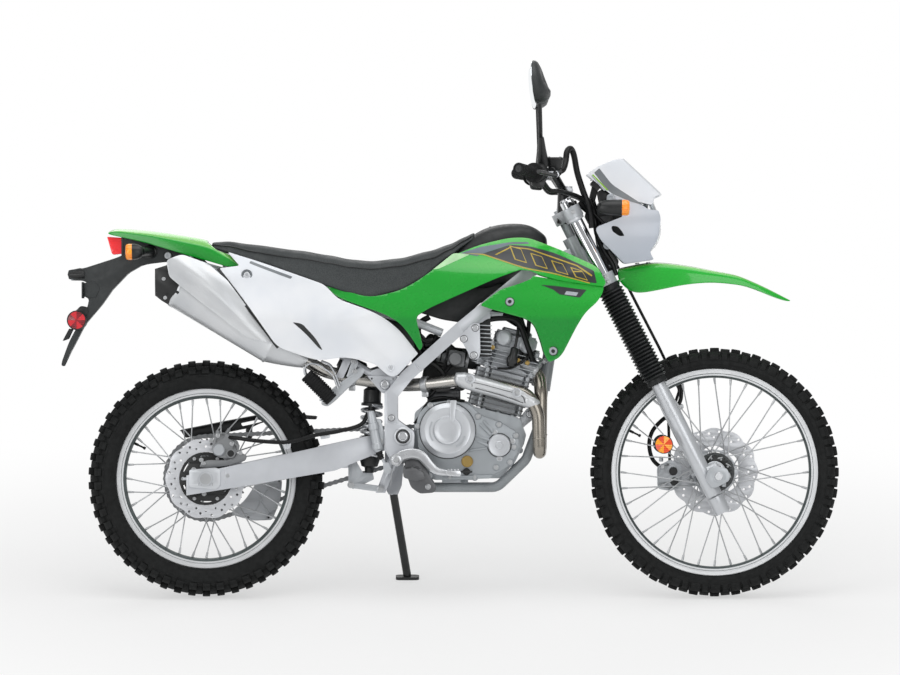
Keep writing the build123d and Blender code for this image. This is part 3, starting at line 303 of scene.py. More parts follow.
def piece(name, mesh, material, body, replaces=None, smooth=38):
    # A finished piece: its mesh put where the parked machine is, riding on its body.
    made = mesh.copy()
    if material == "greenPlastic":
        addPaintedHighlight(made)
    made.transform(parked)
    made.materials.clear()
    made.materials.append(Finish.made[material])
    made.polygons.foreach_set("material_index", [0] * len(made.polygons))
    made.shade_smooth()
    made.set_sharp_from_angle(angle=math.radians(smooth))
    made.name = name
    item = bpy.data.objects.new(name, made)
    bpy.context.collection.objects.link(item)
    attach(item, body)
    if replaces:
        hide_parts(replaces)
    return item


def nodeMesh(node):
    # A CAD node's shape as a merged mesh in the machine's own frame.
    mesh = frame["nodes"][node].data.copy()
    mesh.transform(parked.inverted())
    work = bmesh.new()
    work.from_mesh(mesh)
    bmesh.ops.remove_doubles(work, verts=work.verts, dist=0.01)
    bmesh.ops.dissolve_limit(work, angle_limit=math.radians(0.5), verts=work.verts, edges=work.edges)
    return asMesh(node, work)


def softened(node, material, body, width, segments):
    # A CAD node with its sharp edges rounded.
    piece(node + "_eased", bevelled(nodeMesh(node), width, segments), material, body, node)


def dressed(node, material):
    # A CAD node that keeps its shape and gets a finish.
    item = frame["nodes"][node]
    item.data.materials.clear()
    item.data.materials.append(Finish.made[material])


def rounded(points, radius, steps=4):
    # An outline with its corners rounded; a point may carry a radius of its own.
    made = []
    count = len(points)
    for k, point in enumerate(points):
        here = Vector(point[:2])
        before, after = Vector(points[k - 1][:2]) - here, Vector(points[(k + 1) % count][:2]) - here
        reach = point[2] if len(point) > 2 else radius
        reach = min(reach, before.length * 0.49, after.length * 0.49)
        if reach < 0.05:
            made.append(here)
            continue
        start, end = here + before.normalized() * reach, here + after.normalized() * reach
        for n in range(steps + 1):
            t = n / steps
            made.append(start * (1 - t) ** 2 + here * 2 * t * (1 - t) + end * t * t)
    return made


def smoothPath(points, radius, steps=6):
    # A path in space with its corners rounded.
    points = [Vector(p) for p in points]
    made = [points[0]]
    for k in range(1, len(points) - 1):
        here, before, after = points[k], points[k - 1] - points[k], points[k + 1] - points[k]
        reach = min(radius, before.length * 0.48, after.length * 0.48)
        start, end = here + before.normalized() * reach, here + after.normalized() * reach
        for n in range(steps + 1):
            t = n / steps
            made.append(start * (1 - t) ** 2 + here * 2 * t * (1 - t) + end * t * t)
    return made + [points[-1]]


def prism(points, low, high, axis="y"):
    # A prism over an outline: across the machine, or up it.
    work = bmesh.new()
    spot = {"y": lambda a, b, t: (a, t, b), "z": lambda a, b, t: (a, b, t)}[axis]
    rings = [[work.verts.new(spot(p[0], p[1], t)) for p in points] for t in (low, high)]
    work.faces.new(rings[0])
    work.faces.new(rings[1])
    for k in range(len(points)):
        n = (k + 1) % len(points)
        work.faces.new((rings[0][k], rings[0][n], rings[1][n], rings[1][k]))
    bmesh.ops.recalc_face_normals(work, faces=work.faces)
    return asMesh("prism", work)


def plate(points, low, high, radius=4.0, bevel=1.2, segments=2, steps=4):
    return bevelled(prism(rounded(points, radius, steps), min(low, high), max(low, high)), bevel, segments)


def lathe(profile, centre, axis=(0, 1, 0), segments=64):
    # A ring of faces from a closed profile of (along, radius) pairs; a radius of 0 closes a pole.
    along = Vector(axis).normalized()
    side = along.orthogonal().normalized()
    across = along.cross(side)
    work = bmesh.new()
    rings = []
    for shift, radius in profile:
        if radius < 0.01:
            rings.append([work.verts.new(Vector(centre) + along * shift)])
            continue
        rings.append([
            work.verts.new(
            Vector(centre) + along * shift + (side * math.cos(a) + across * math.sin(a)) * radius)
            for a in turns(segments)
        ])
    closed = rings[0] if len(rings[0]) > 1 and len(rings[-1]) > 1 else None
    pairs = list(zip(rings, rings[1:])) + ([(rings[-1], rings[0])] if closed else [])
    for a, b in pairs:
        for k in range(segments):
            n = (k + 1) % segments
            corners = [a[k % len(a)], a[n % len(a)], b[n % len(b)], b[k % len(b)]]
            corners = [c for i, c in enumerate(corners) if c not in corners[:i]]
            if len(corners) > 2:
                work.faces.new(corners)
    bmesh.ops.recalc_face_normals(work, faces=work.faces)
    return asMesh("lathe", work)


def lofted(rings):
    # A closed body between rings of the same number of points.
    work = bmesh.new()
    made = [[work.verts.new(p) for p in ring] for ring in rings]
    count = len(rings[0])
    for a, b in zip(made, made[1:]):
        for k in range(count):
            n = (k + 1) % count
            work.faces.new((a[k], a[n], b[n], b[k]))
    work.faces.new(made[0])
    work.faces.new(made[-1])
    bmesh.ops.recalc_face_normals(work, faces=work.faces)
    return asMesh("loft", work)


def openSkin(rows, facing=None):
    # An open skin between rows of points, turned to face a direction where one is given.
    work = bmesh.new()
    grid = [[work.verts.new(p) for p in row] for row in rows]
    for a, b in zip(grid, grid[1:]):
        for k in range(len(a) - 1):
            work.faces.new((a[k], a[k + 1], b[k + 1], b[k]))
    bmesh.ops.recalc_face_normals(work, faces=work.faces)
    if facing and sum(f.normal.dot(Vector(facing)) for f in work.faces) < 0:
        bmesh.ops.reverse_faces(work, faces=work.faces)
    return asMesh("skin", work)


def turns(count, shift=0.0):
    # The angles of so many points round a circle.
    return [2 * math.pi * (k + shift) / count for k in range(count)]


def squared(share, power):
    # A sine or cosine that makes a circle squarer as the power falls.
    return math.copysign(abs(share) ** power, share)


def hose(points, radius, sides=14, radii=None):
    # A round tube along points in space.
    points = [Vector(p) for p in points]
    rings, normal = [], None
    for k, point in enumerate(points):
        along = (points[min(k + 1, len(points) - 1)] - points[max(k - 1, 0)]).normalized()
        normal = (normal - along * normal.dot(along) if normal else along.orthogonal()).normalized()
        across = along.cross(normal)
        r = radii[k] if radii else radius
        rings.append([point + (normal * math.cos(a) + across * math.sin(a)) * r for a in turns(sides)])
    return faced(lofted(rings))


def bar(start, end, radius, sides=20, bevel=0.0):
    start, end = Vector(start), Vector(end)
    length = (end - start).length
    edge = min(bevel, radius * 0.4)
    rim = [(0, radius - edge), (edge, radius), (length - edge, radius), (length, radius - edge)]
    return lathe([(0, 0)] + (rim if edge else [(0, radius), (length, radius)]) + [(length, 0)], start,
        end - start, sides)


def curved(points, steps=8):
    # A smooth line through points in space.
    points = [Vector(p) for p in points]
    made = []
    for k in range(len(points) - 1):
        a = points[k - 1] if k else points[0] * 2 - points[1]
        b, c = points[k], points[k + 1]
        d = points[k + 2] if k < len(points) - 2 else points[-1] * 2 - points[-2]
        for n in range(steps):
            t = n / steps
            bend, twist = a * 2 - b * 5 + c * 4 - d, b * 3 - a - c * 3 + d
            made.append(b + (c - a) * 0.5 * t + bend * 0.5 * t * t + twist * 0.5 * t * t * t)
    return made + [points[-1]]


def facetedDisc(radius, centre, side, parity):
    # Half of a reflector's face: every second wedge, which rises or falls to the rim.
    cuts, height = 8, 3.2
    work = bmesh.new()
    for cut in range(parity, cuts, 2):
        hub = work.verts.new((0, 0, height * (0.9 if parity else 0.5)))
        bottom = work.verts.new((0, 0, 0))
        rim, base = [], []
        for k in range(7):
            a = 2 * math.pi * (cut + k / 6) / cuts
            x, y = radius * math.cos(a), radius * math.sin(a)
            rim.append(work.verts.new((x, y, height * (0.3 if parity else 0.9))))
            base.append(work.verts.new((x, y, 0)))
        for k in range(6):
            work.faces.new((hub, rim[k], rim[k + 1]))
            work.faces.new((rim[k], base[k], base[k + 1], rim[k + 1]))
            work.faces.new((bottom, base[k + 1], base[k]))
        work.faces.new((hub, bottom, base[0], rim[0]))
        work.faces.new((hub, rim[6], base[6], bottom))
    bmesh.ops.recalc_face_normals(work, faces=work.faces)
    mesh = asMesh("facets", work)
    return moved(mesh, Matrix.Translation(centre) @ Matrix.Rotation(-side * math.pi / 2, 4, "X"))


# repeats, as Geometry Nodes
def newTree(name, inputs):
    tree = bpy.data.node_groups.new(name, "GeometryNodeTree")
    tree.interface.new_socket("Geometry", in_out="INPUT", socket_type="NodeSocketGeometry")
    for label, kind, value in inputs:
        tree.interface.new_socket(label, in_out="INPUT", socket_type=kind).default_value = value
    tree.interface.new_socket("Geometry", in_out="OUTPUT", socket_type="NodeSocketGeometry")
    entry, end = tree.nodes.new("NodeGroupInput"), tree.nodes.new("NodeGroupOutput")
    return tree, entry, end


def ringTree():
    # The mesh repeated round the Y axis through the origin.
    tree, entry, end = newTree("ring of copies", [("Count", "NodeSocketInt", 12),
        ("First Angle", "NodeSocketFloat", 0.0)])
    nodes, links = tree.nodes, tree.links
    points, index = nodes.new("GeometryNodePoints"), nodes.new("GeometryNodeInputIndex")
    step, angle, first = (nodes.new("ShaderNodeMath") for _ in range(3))
    step.operation, step.inputs[0].default_value = "DIVIDE", 2 * math.pi
    angle.operation, first.operation = "MULTIPLY", "ADD"
    turn, copies = nodes.new("ShaderNodeCombineXYZ"), nodes.new("GeometryNodeInstanceOnPoints")
    real, finish = nodes.new("GeometryNodeRealizeInstances"), nodes.new("GeometryNodeSetMaterial")
    links.new(entry.outputs["Count"], points.inputs["Count"])
    links.new(entry.outputs["Count"], step.inputs[1])
    links.new(index.outputs[0], angle.inputs[0])
    links.new(step.outputs[0], angle.inputs[1])
    links.new(angle.outputs[0], first.inputs[0])
    links.new(entry.outputs["First Angle"], first.inputs[1])
    links.new(first.outputs[0], turn.inputs["Y"])
    links.new(points.outputs[0], copies.inputs["Points"])
    links.new(entry.outputs["Geometry"], copies.inputs["Instance"])
    links.new(turn.outputs[0], copies.inputs["Rotation"])
    links.new(copies.outputs[0], real.inputs[0])
    links.new(real.outputs[0], finish.inputs[0])
    links.new(finish.outputs[0], end.inputs[0])
    return tree


def scatterTree():
    # The second mesh on every point of the first, its Z axis along the point's "aim".
    tree, entry, end = newTree("copies on points", [])
    tree.interface.new_socket("Copy", in_out="INPUT", socket_type="NodeSocketObject")
    nodes, links = tree.nodes, tree.links
    aim, size = (nodes.new("GeometryNodeInputNamedAttribute") for _ in range(2))
    turn = nodes.new("FunctionNodeAlignRotationToVector")
    aim.data_type = "FLOAT_VECTOR"
    aim.inputs["Name"].default_value = "aim"
    size.data_type = "FLOAT"
    size.inputs["Name"].default_value = "size"
    turn.axis = "Z"
    template, copies = nodes.new("GeometryNodeObjectInfo"), nodes.new("GeometryNodeInstanceOnPoints")
    real, finish = nodes.new("GeometryNodeRealizeInstances"), nodes.new("GeometryNodeSetMaterial")
    links.new(entry.outputs["Copy"], template.inputs["Object"])
    links.new(entry.outputs["Geometry"], copies.inputs["Points"])
    links.new(template.outputs["Geometry"], copies.inputs["Instance"])
    links.new(aim.outputs[0], turn.inputs["Vector"])
    links.new(turn.outputs[0], copies.inputs["Rotation"])
    links.new(size.outputs[0], copies.inputs["Scale"])
    links.new(copies.outputs[0], real.inputs[0])
    links.new(real.outputs[0], finish.inputs[0])
    links.new(finish.outputs[0], end.inputs[0])
    return tree


ringOfCopies, copiesOnPoints = ringTree(), scatterTree()


def setInputs(added, values):
    for item in added.node_group.interface.items_tree:
        if item.in_out == "INPUT" and item.name in values:
            added[item.identifier] = values[item.name]


def ringed(mesh, count, centre):
    # Copies of a mesh round an axle: the mesh is given about the origin.
    item = temporary(mesh)
    added = item.modifiers.new("ring", "NODES")
    added.node_group = ringOfCopies
    setInputs(added, {"Count": count})
    made = evaluated(item)
    made.transform(Matrix.Translation(Vector(centre)))
    return made


def scattered(template, spots):
    # Copies of a mesh on (point, aim, size) spots.
    mesh = bpy.data.meshes.new("spots")
    mesh.from_pydata([s[0] for s in spots], [], [])
    mesh.attributes.new("aim", "FLOAT_VECTOR", "POINT")
    mesh.attributes.new("size", "FLOAT", "POINT")
    aim, size = mesh.attributes["aim"], mesh.attributes["size"]  # looked up once both are there
    for k, s in enumerate(spots):
        aim.data[k].vector = Vector(s[1])
        size.data[k].value = s[2]
    copy = temporary(template)
    item = temporary(mesh)
    added = item.modifiers.new("copies", "NODES")
    added.node_group = copiesOnPoints
    setInputs(added, {"Copy": copy})
    made = evaluated(item)
    bpy.data.objects.remove(copy)
    return made


def hexBolt(across, height):
    # A flanged hex bolt, its head along +Z from 0.
    corner = across / 2 / math.cos(math.pi / 6)
    hexagon = prism([(corner * math.cos(a), corner * math.sin(a)) for a in turns(6)], 0, height, "z")
    rim = [(0, across * 0.72), (height * 0.22, across * 0.7), (height * 0.34, across * 0.5)]
    flange = lathe([(0, 0)] + rim + [(height * 0.34, 0)], (0, 0, 0), (0, 0, 1), 20)
    return merged(bevelled(hexagon, height * 0.14, 1), flange)


def capScrew(radius, height, socket):
    # A round socket-head screw, its head along +Z from 0.
    head = [(0, radius), (height * 0.75, radius), (height, radius * 0.82)]
    drive = [(height, socket), (height * 0.45, socket), (height * 0.45, 0)]
    return lathe([(0, 0)] + head + drive, (0, 0, 0), (0, 0, 1), 18)


# finishes
def makeFinishes():
    green = Finish("greenPlastic", (20, 172, 48), 0.26, coat=0.8, coatRough=0.08, specular=0.35)
    x, y, z = green.xyz()
    # painted shade: darker green lower down and further back
    low = (z * 0.9 + x * 0.25).ramp(880.0, 1120.0, 1.0, 0.0)
    shade = green.mix(low, linear((26, 184, 50)), linear((0, 158, 40)))
    # painted shade: darker still below z 746-770
    shade = green.mix(z.ramp(746.0, 770.0, 1.0, 0.0), shade, linear((0, 142, 44)))
    body = green.mix(green.noise(240.0).ramp(0.35, 0.7, 0.0, 0.12), shade, linear((10, 146, 40)))
    # painted highlight: paler green where a panel faces up
    painted_highlight = green.tree.nodes.new("ShaderNodeAttribute")
    painted_highlight.attribute_name = "painted_highlight"
    green.put("Base Color", green.mix(Wire(green, painted_highlight.outputs["Fac"]), body, linear((132, 206, 104))))
    green.wear(40.0, 3.0, 0.3, 0.75, 0.24, 0.3)
    green.bump(green.noise(1.6, 2.0), 0.01, 0.3)

    white = Finish("whitePlastic", (232, 235, 239), 0.34, coat=0.4, coatRough=0.15)
    white.mottle(linear((236, 238, 241)), linear((222, 226, 232)), 160.0, 3.0, 0.3, 0.75)
    white.wear(11.0, 5.0, 0.3, 0.75, 0.3, 0.42)
    white.bump(white.noise(1.8, 2.0), 0.015, 0.3)

    cool = Finish("coolPlastic", (196, 202, 212), 0.32, coat=0.5, coatRough=0.12)
    x, y, z = cool.xyz()
    # painted shade: darker towards the bottom and front, paler towards the top and rear
    shade = (z * 0.8 - x * 0.6).ramp(20.0, 190.0, 0.0, 1.0)
    cool.put("Base Color", cool.mix(shade, linear((184, 191, 202)), linear((208, 213, 221))))
    cool.wear(11.0, 5.0, 0.3, 0.75, 0.28, 0.36)
    cool.bump(cool.noise(1.8, 2.0), 0.02, 0.3)

    vinyl = Finish("seatVinyl", (62, 66, 67), 0.62, specular=0.4)
    grain = vinyl.cells(2.6)
    vinyl.put("Base Color", vinyl.mix(grain.ramp(0.1, 0.7, 0.0, 1.0), linear((42, 45, 46)),
        linear((60, 64, 65))))
    vinyl.wear(26.0, 4.0, 0.3, 0.75, 0.52, 0.7)
    vinyl.bump(grain + vinyl.noise(40.0) * 0.3, 0.35, 0.5)

    for name, colour, size, rough in (
        ("blackPlastic", (22, 25, 26), 1.5, 0.5),
        ("satinBlack", (18, 20, 21), 3.0, 0.38),
        ("blackPaint", (14, 15, 16), 4.0, 0.3),
        ("greyBlack", (34, 38, 39), 1.7, 0.5),
        ("darkRing", (58, 61, 62), 3.0, 0.4),
        ("greyPaint", (134, 139, 142), 4.0, 0.34),
        ("paleGuide", (192, 195, 199), 1.7, 0.5),
    ):
        made = Finish(name, colour, rough)
        lighter = tuple(c + 12 for c in colour)
        made.mottle(linear(colour), linear(lighter), 60.0, 4.0, 0.35, 0.7)
        made.wear(14.0, 5.0, 0.3, 0.75, rough - 0.08, rough + 0.1)
        made.bump(made.noise(size, 3.0), 0.01 if name == "greyPaint" else 0.12, 0.5)

    for name, colour, low, high, grain, depth, metal in (
        ("rimAlloy", (232, 234, 236), 0.36, 0.4, 3.0, 0.01, 0.25),
        # the rim's own alloy made dark: painted shade in the rim's inner well
        ("paintedShadeWellAlloy", (96, 104, 104), 0.4, 0.46, 3.0, 0.02, 0.5),
        ("caseAlloy", (164, 169, 173), 0.36, 0.44, 2.4, 0.04, 0.45),
        ("castAlloy", (190, 194, 198), 0.36, 0.44, 2.4, 0.04, 0.45),
        ("fineAlloy", (208, 211, 215), 0.3, 0.36, 3.0, 0.01, 0.5),
        ("brightSteel", (212, 214, 217), 0.22, 0.28, 3.0, 0.01, 0.7),
        ("zincSteel", (190, 192, 194), 0.32, 0.4, 2.4, 0.02, 0.7),
        ("chromePlate", (226, 228, 231), 0.06, 0.11, 6.0, 0.002, 1.0),
        ("darkSteel", (104, 105, 107), 0.36, 0.48, 1.6, 0.04, 0.7),
        ("chainSteel", (150, 152, 154), 0.34, 0.44, 1.6, 0.03, 0.7),
        ("frameSilver", (204, 207, 212), 0.34, 0.4, 3.0, 0.02, 0.3),
        ("finAlloy", (138, 140, 142), 0.42, 0.54, 1.8, 0.08, 0.5),
        ("brassPlate", (178, 150, 92), 0.3, 0.4, 1.6, 0.03, 0.9),
    ):
        made = Finish(name, colour, (low + high) / 2, metallic=metal)
        darker = tuple(int(c * 0.955) for c in colour)
        made.mottle(linear(colour), linear(darker), 60.0, 3.0, 0.25, 0.78)
        made.wear(16.0, 4.0, 0.25, 0.8, low, high)
        made.bump(made.noise(grain, 3.0), depth, 0.4)

    heat = Finish("exhaustSteel", (160, 158, 155), 0.26, metallic=0.95)
    x, y, z = heat.xyz()
    hot = (x + z * 0.15).ramp(780.0, 1010.0, 0.0, 1.0)
    tint = heat.mix(hot, linear((186, 184, 180)), linear((150, 144, 134)))
    heat.mottle(tint, linear((172, 167, 157)), 70.0, 3.0, 0.3, 0.75, 0.3)
    heat.wear(24.0, 3.0, 0.3, 0.75, 0.2, 0.28)
    heat.bump(heat.noise(3.0), 0.01, 0.3)

    can = Finish("silencerSteel", (190, 193, 197), 0.34, metallic=0.5)
    can.mottle(linear((214, 216, 218)), linear((200, 203, 206)), 120.0, 3.0, 0.3, 0.75)
    can.wear(46.0, 3.0, 0.3, 0.75, 0.32, 0.37)
    can.bump(can.noise(1.4, 5.0), 0.006, 0.3)

    for name, colour, rough in (
        ("tyreRubber", (11, 13, 13), 0.68),
        ("gripRubber", (16, 17, 18), 0.7),
        ("bootRubber", (24, 26, 27), 0.45),
        ("hoseRubber", (10, 11, 12), 0.4),
    ):
        made = Finish(name, colour, rough, specular=0.3)
        dusty = tuple(c + 8 for c in colour)
        made.mottle(linear(colour), linear(dusty), 30.0, 6.0, 0.38, 0.72, 0.8)
        made.wear(12.0, 5.0, 0.3, 0.75, rough - 0.1, rough + 0.08)
        made.bump(made.noise(1.3, 4.0), 0.15, 0.6)

    for name, centre in (("frontDiscSteel", (wheelbase, frontR)), ("rearDiscSteel", (0.0, rearR))):
        made = Finish(name, (214, 216, 220), 0.36, metallic=0.4)
        x, y, z = made.xyz()
        dx, dz = x - centre[0], z - centre[1]
        radius = (dx * dx + dz * dz).maths("SQRT")
        rings = radius.wave(1.7) * 0.5 + (radius * 0.73).wave(1.1) * 0.3
        made.put("Base Color", made.mix(rings.ramp(-0.8, 0.8, 0.0, 1.0), linear((216, 218, 222)),
            linear((206, 208, 212))))
        made.put("Roughness", rings.ramp(-0.8, 0.8, 0.34, 0.4))
        made.bump(rings, 0.004, 0.3)

    for name, colour in (
        ("amberLens", (255, 132, 24)),
        ("redLens", (232, 28, 34)),
        # reflector pairs: one plastic each, its alternate facets painted lit and shaded in a second colour
        ("reflexRed", (170, 26, 34)),
        ("reflexRedShadedFacets", (112, 16, 26)),
        ("reflexAmber", (214, 62, 16)),
        ("reflexAmberLitFacets", (248, 150, 28)),
    ):
        made = Finish(name, colour, 0.12, coat=0.6, coatRough=0.05)
        x, y, z = made.xyz()
        # the lens ribs are real and bumped; their paler crests are a painted highlight
        lines = z.wave(5.0).high(y.wave(5.0))
        ribHighlight = tuple(min(255, int(c * 1.15) + 18) for c in colour)
        made.put("Base Color", made.mix(lines.ramp(-0.2, 1.0, 0.0, 1.0), linear(colour), linear(ribHighlight)))
        made.bump(lines, 0.35, 0.6)
        # painted glow: every lens gives off a faint light of its own colour, though no lamp is lit
        made.put("Emission Color", linear(colour))
        made.put("Emission Strength", 0.12)

    glass = Finish("clearLens", (236, 241, 246), 0.05, coat=0.5)
    glass.put("Transmission Weight", 0.85)
    glass.put("IOR", 1.3)
    glass.wear(20.0, 3.0, 0.3, 0.7, 0.03, 0.08)

    mirror = Finish("mirrorGlass", (225, 230, 234), 0.03, metallic=1.0)
    mirror.wear(40.0, 3.0, 0.3, 0.7, 0.02, 0.05)

    for name, colour in (
        ("decalCharcoal", (38, 42, 46)),
        ("decalGold", (190, 164, 44)),
        ("decalSlate", (98, 112, 124)),
        ("decalPaleGreen", (176, 222, 168)),
        ("decalLime", (150, 205, 40)),
        ("decalGrey", (118, 124, 128)),
        ("decalPaleGrey", (176, 182, 188)),
        ("decalBlack", (34, 36, 38)),
    ):
        made = Finish(name, colour, 0.36, coat=0.4, coatRough=0.15)
        made.mottle(linear(colour), linear(tuple(int(c * 0.9) for c in colour)), 50.0, 4.0, 0.35, 0.7)
        made.wear(9.0, 4.0, 0.3, 0.75, 0.3, 0.42)
        made.bump(made.noise(1.6, 2.0), 0.04, 0.3)


makeFinishes()
print("finishes made")


# body panels
shroud = dict(
    thickness=3.0,
    levels=[(560, 130, 160, 186), (620, 132, 168, 196), (700, 129, 171, 202), (790, 124, 172, 206),
    (880, 108, 146, 176), (935, 97, 122, 152), (990, 84, 96, 128)],
    stations=(300, 760, 1100),
    upper=[
        (322, 846), (444, 811, 30), (526, 830, 40), (580, 860, 30), (661, 922, 20), (743, 955, 30),
        (824, 974, 30), (873, 974, 20), (960, 941, 30), (1042, 903, 20), (1061, 892, 8), (1083, 852, 6),
        (1077, 841, 6),
        (960, 857, 30), (905, 872, 12), (879, 884, 4), (852, 887, 8), (797, 868, 30), (716, 833, 60),
        (607, 784, 18), (571, 762, 14), (572, 746, 6), (588, 680, 8), (580, 667, 8),
        (553, 710, 30), (526, 743, 30), (485, 767, 30), (444, 781, 30), (376, 805, 20), (350, 818, 8),
    ],
    lower=[
        (886, 870, 3), (960, 858, 10), (1077, 843, 4), (1074, 826, 8), (1060, 800, 20), (1028, 773, 20),
        (1004, 735, 30), (968, 664, 20), (955, 648, 10), (928, 636, 8), (917, 656, 20), (906, 697, 30),
        (890, 738, 20),
        (868, 754, 12), (770, 781, 20), (744, 790, 5), (750, 797, 5), (778, 819, 12), (797, 833, 14),
        (852, 850, 20), (880, 862, 6),
    ],
)


def across(levels, stations, x, z):
    # How far a panel's outer face is from the centre plane.
    zs = [level[0] for level in levels]
    z = min(max(z, zs[0]), zs[-1])
    k = max(n for n in range(len(zs) - 1) if zs[n] <= z)
    t = (z - zs[k]) / (zs[k + 1] - zs[k])
    t = t * t * (3 - 2 * t) * 0.35 + t * 0.65
    a, b, c = stations
    spread = [
        level[1] * (x - b) * (x - c) / (a - b) / (a - c) + level[2] * (x - a) * (x - c) / (b - a) / (
        b - c) + level[3] * (x - a) * (x - b) / (c - a) / (c - b)
        for level in levels[k:k + 2]
    ]
    return spread[0] + (spread[1] - spread[0]) * t


def sheetSolid(surface, xRange, zRange, thickness, step, lift):
    # A closed curved sheet over a box of the side view.
    nx, nz = max(2, round((xRange[1] - xRange[0]) / step)), max(2, round((zRange[1] - zRange[0]) / step))
    work = bmesh.new()
    skins = []
    for side in (lift, lift - thickness):
        skins.append([[
            work.verts.new((x, surface(x, z) + side, z))
            for x in (xRange[0] + (xRange[1] - xRange[0]) * i / nx for i in range(nx + 1))
        ] for z in (zRange[0] + (zRange[1] - zRange[0]) * j / nz for j in range(nz + 1))])
    outer, inner = skins
    for j in range(nz):
        for i in range(nx):
            work.faces.new((outer[j][i], outer[j][i + 1], outer[j + 1][i + 1], outer[j + 1][i]))
            work.faces.new((inner[j][i], inner[j + 1][i], inner[j + 1][i + 1], inner[j][i + 1]))
    edges = [(outer[0], inner[0]), (outer[-1], inner[-1])] + [([r[e] for r in outer],
        [r[e] for r in inner]) for e in (0, -1)]
    for a, b in edges:
        for k in range(len(a) - 1):
            work.faces.new((a[k], b[k], b[k + 1], a[k + 1]))
    bmesh.ops.recalc_face_normals(work, faces=work.faces)
    return asMesh("sheet", work)


def panel(surface, outline, thickness, lift=0.0, radius=8.0, edge=1.1, step=9.0):
    # A curved sheet cut to a rounded outline in the side view.
    points = rounded(outline, radius)
    xs, zs = [p[0] for p in points], [p[1] for p in points]
    sheet = sheetSolid(surface, (min(xs) - 12, max(xs) + 12), (min(zs) - 12, max(zs) + 12), thickness,
        step, lift)
    made = combined(sheet, prism(points, -400, 400))
    return bevelled(made, edge, 2, 50) if edge else made


def decal(surface, outline, thickness, lift, radius):
    return panel(surface, outline, thickness, lift, radius, 0, 12.0)


def shroudAt(x, z):
    # The shrouds' outer face, with the crease that runs forward along them.
    base = across(shroud["levels"], shroud["stations"], x, z)
    fold = 868 + (x - 860) * 0.02  # the crease line's height
    return base + 5 * math.exp(-((z - fold) / 26) ** 2) * min(1, max(0, (x - 560) / 200))


def lowerShroudAt(x, z):
    return shroudAt(x, z) - 5


def makeShrouds():
    upper = panel(shroudAt, shroud["upper"], shroud["thickness"])
    lower = panel(lowerShroudAt, shroud["lower"], shroud["thickness"])
    bossUpper, bossLower = bar((770, 92.3, 940), (770, 116, 940), 8), bar((934, 178.3, 668),
        (934, 184, 668), 9)
    whole = merged(upper, lower, bossUpper, bossLower)
    piece("shroud_panels", bothSides(whole), "greenPlastic", "chassis", "shrouds")
    decals = dict(
        charcoal=("decalCharcoal", 0.5, [(749, 930), (826, 955, 10), (875, 951, 14), (943, 933, 20),
        (1008, 904, 14), (1050, 884, 4), (1058, 850, 4), (1040, 852, 20), (990, 866, 20), (938, 880, 20),
        (865, 893, 20), (788, 917, 10)]),
        slate=("decalSlate", 0.5, [(690, 932), (744, 949, 10), (826, 962, 10), (872, 962), (876, 957),
        (826, 956), (749, 930), (735, 924)]),
        paleGreen=("decalPaleGreen", 0.5, [(616, 888), (671, 932, 8), (719, 930), (632, 890)]),
        goldLow=("decalGold", 0.9, [(697, 932), (752, 927, 4), (865, 889, 14), (938, 876, 14),
        (1040, 849), (1040, 851.6), (938, 879, 14), (866, 892, 14), (752, 930, 4)]),
        goldHigh=("decalGold", 0.9, [(782, 928), (826, 950, 6), (876, 944.6, 6), (1006, 899, 6),
        (1046, 872), (1044, 868), (1004, 896, 6), (875, 941.6, 6), (827, 947, 6), (788, 927)]),
    )
    drop = 10  # how much lower a bar's front end is
    for k, x in enumerate((836, 892, 948, 1000)):
        low, high = 929 - 0.29 * (x - 751) + 10, 951 - 0.357 * (x - 875) - 12
        decals["goldBar%d" % k] = ("decalGold", 0.9, [(x, low), (x + 34, low - drop),
            (x + 18, high - drop), (x - 14, high)])
        decals["bar%d" % k] = ("decalCharcoal", 1.3, [(x + 3, low + 1.6), (x + 30.6, low - drop + 3.6),
            (x + 17, high - drop - 1.4), (x - 9.6, high - 3.6)])
    for name, (finish, lift, outline) in decals.items():
        mesh = decal(shroudAt, outline, 0.6, lift, 2)
        piece("shroud_decal_" + name, bothSides(mesh), finish, "chassis", smooth=60)
    tagOutline = [(907, 846), (945, 843), (1030, 832), (1012, 811, 4), (957, 820), (940, 833, 4)]
    low = decal(lowerShroudAt, tagOutline, 0.6, 0.5, 2)
    marks = decal(lowerShroudAt, [(976, 829), (1008, 825), (1002, 816), (970, 820)], 0.5, 0.9, 1)
    piece("shroud_tag", bothSides(low), "decalCharcoal", "chassis", smooth=60)
    piece("shroud_tag_bar", bothSides(marks), "decalPaleGrey", "chassis", smooth=60)
    rings, hearts = [], []
    for x, z in ((823, 800), (940, 667)):
        y = lowerShroudAt(x, z) + (2.6 if z < 700 else 0)
        tilt = Vector((shroudAt(x, z) - shroudAt(x + 1, z), 1,
            shroudAt(x, z) - shroudAt(x, z + 1))).normalized()
        rings.append(lathe([(-3, 0), (-3, 11), (1.4, 11), (2.6, 9.8), (2.6, 5)], (x, y, z), tilt, 40))
        hearts.append(lathe([(-1, 12.6), (0.9, 12.6), (0.9, 0), (-1, 0)], (x, y, z), tilt, 40))
        hearts.append(lathe([(2, 5.4), (3.0, 5), (3.0, 0), (2, 0)], (x, y, z), tilt, 24))
    piece("shroud_grommets", bothSides(merged(*rings)), "decalPaleGrey", "chassis",
        smooth=50)
    piece("shroud_screws", bothSides(merged(*hearts)), "satinBlack", "chassis", smooth=50)


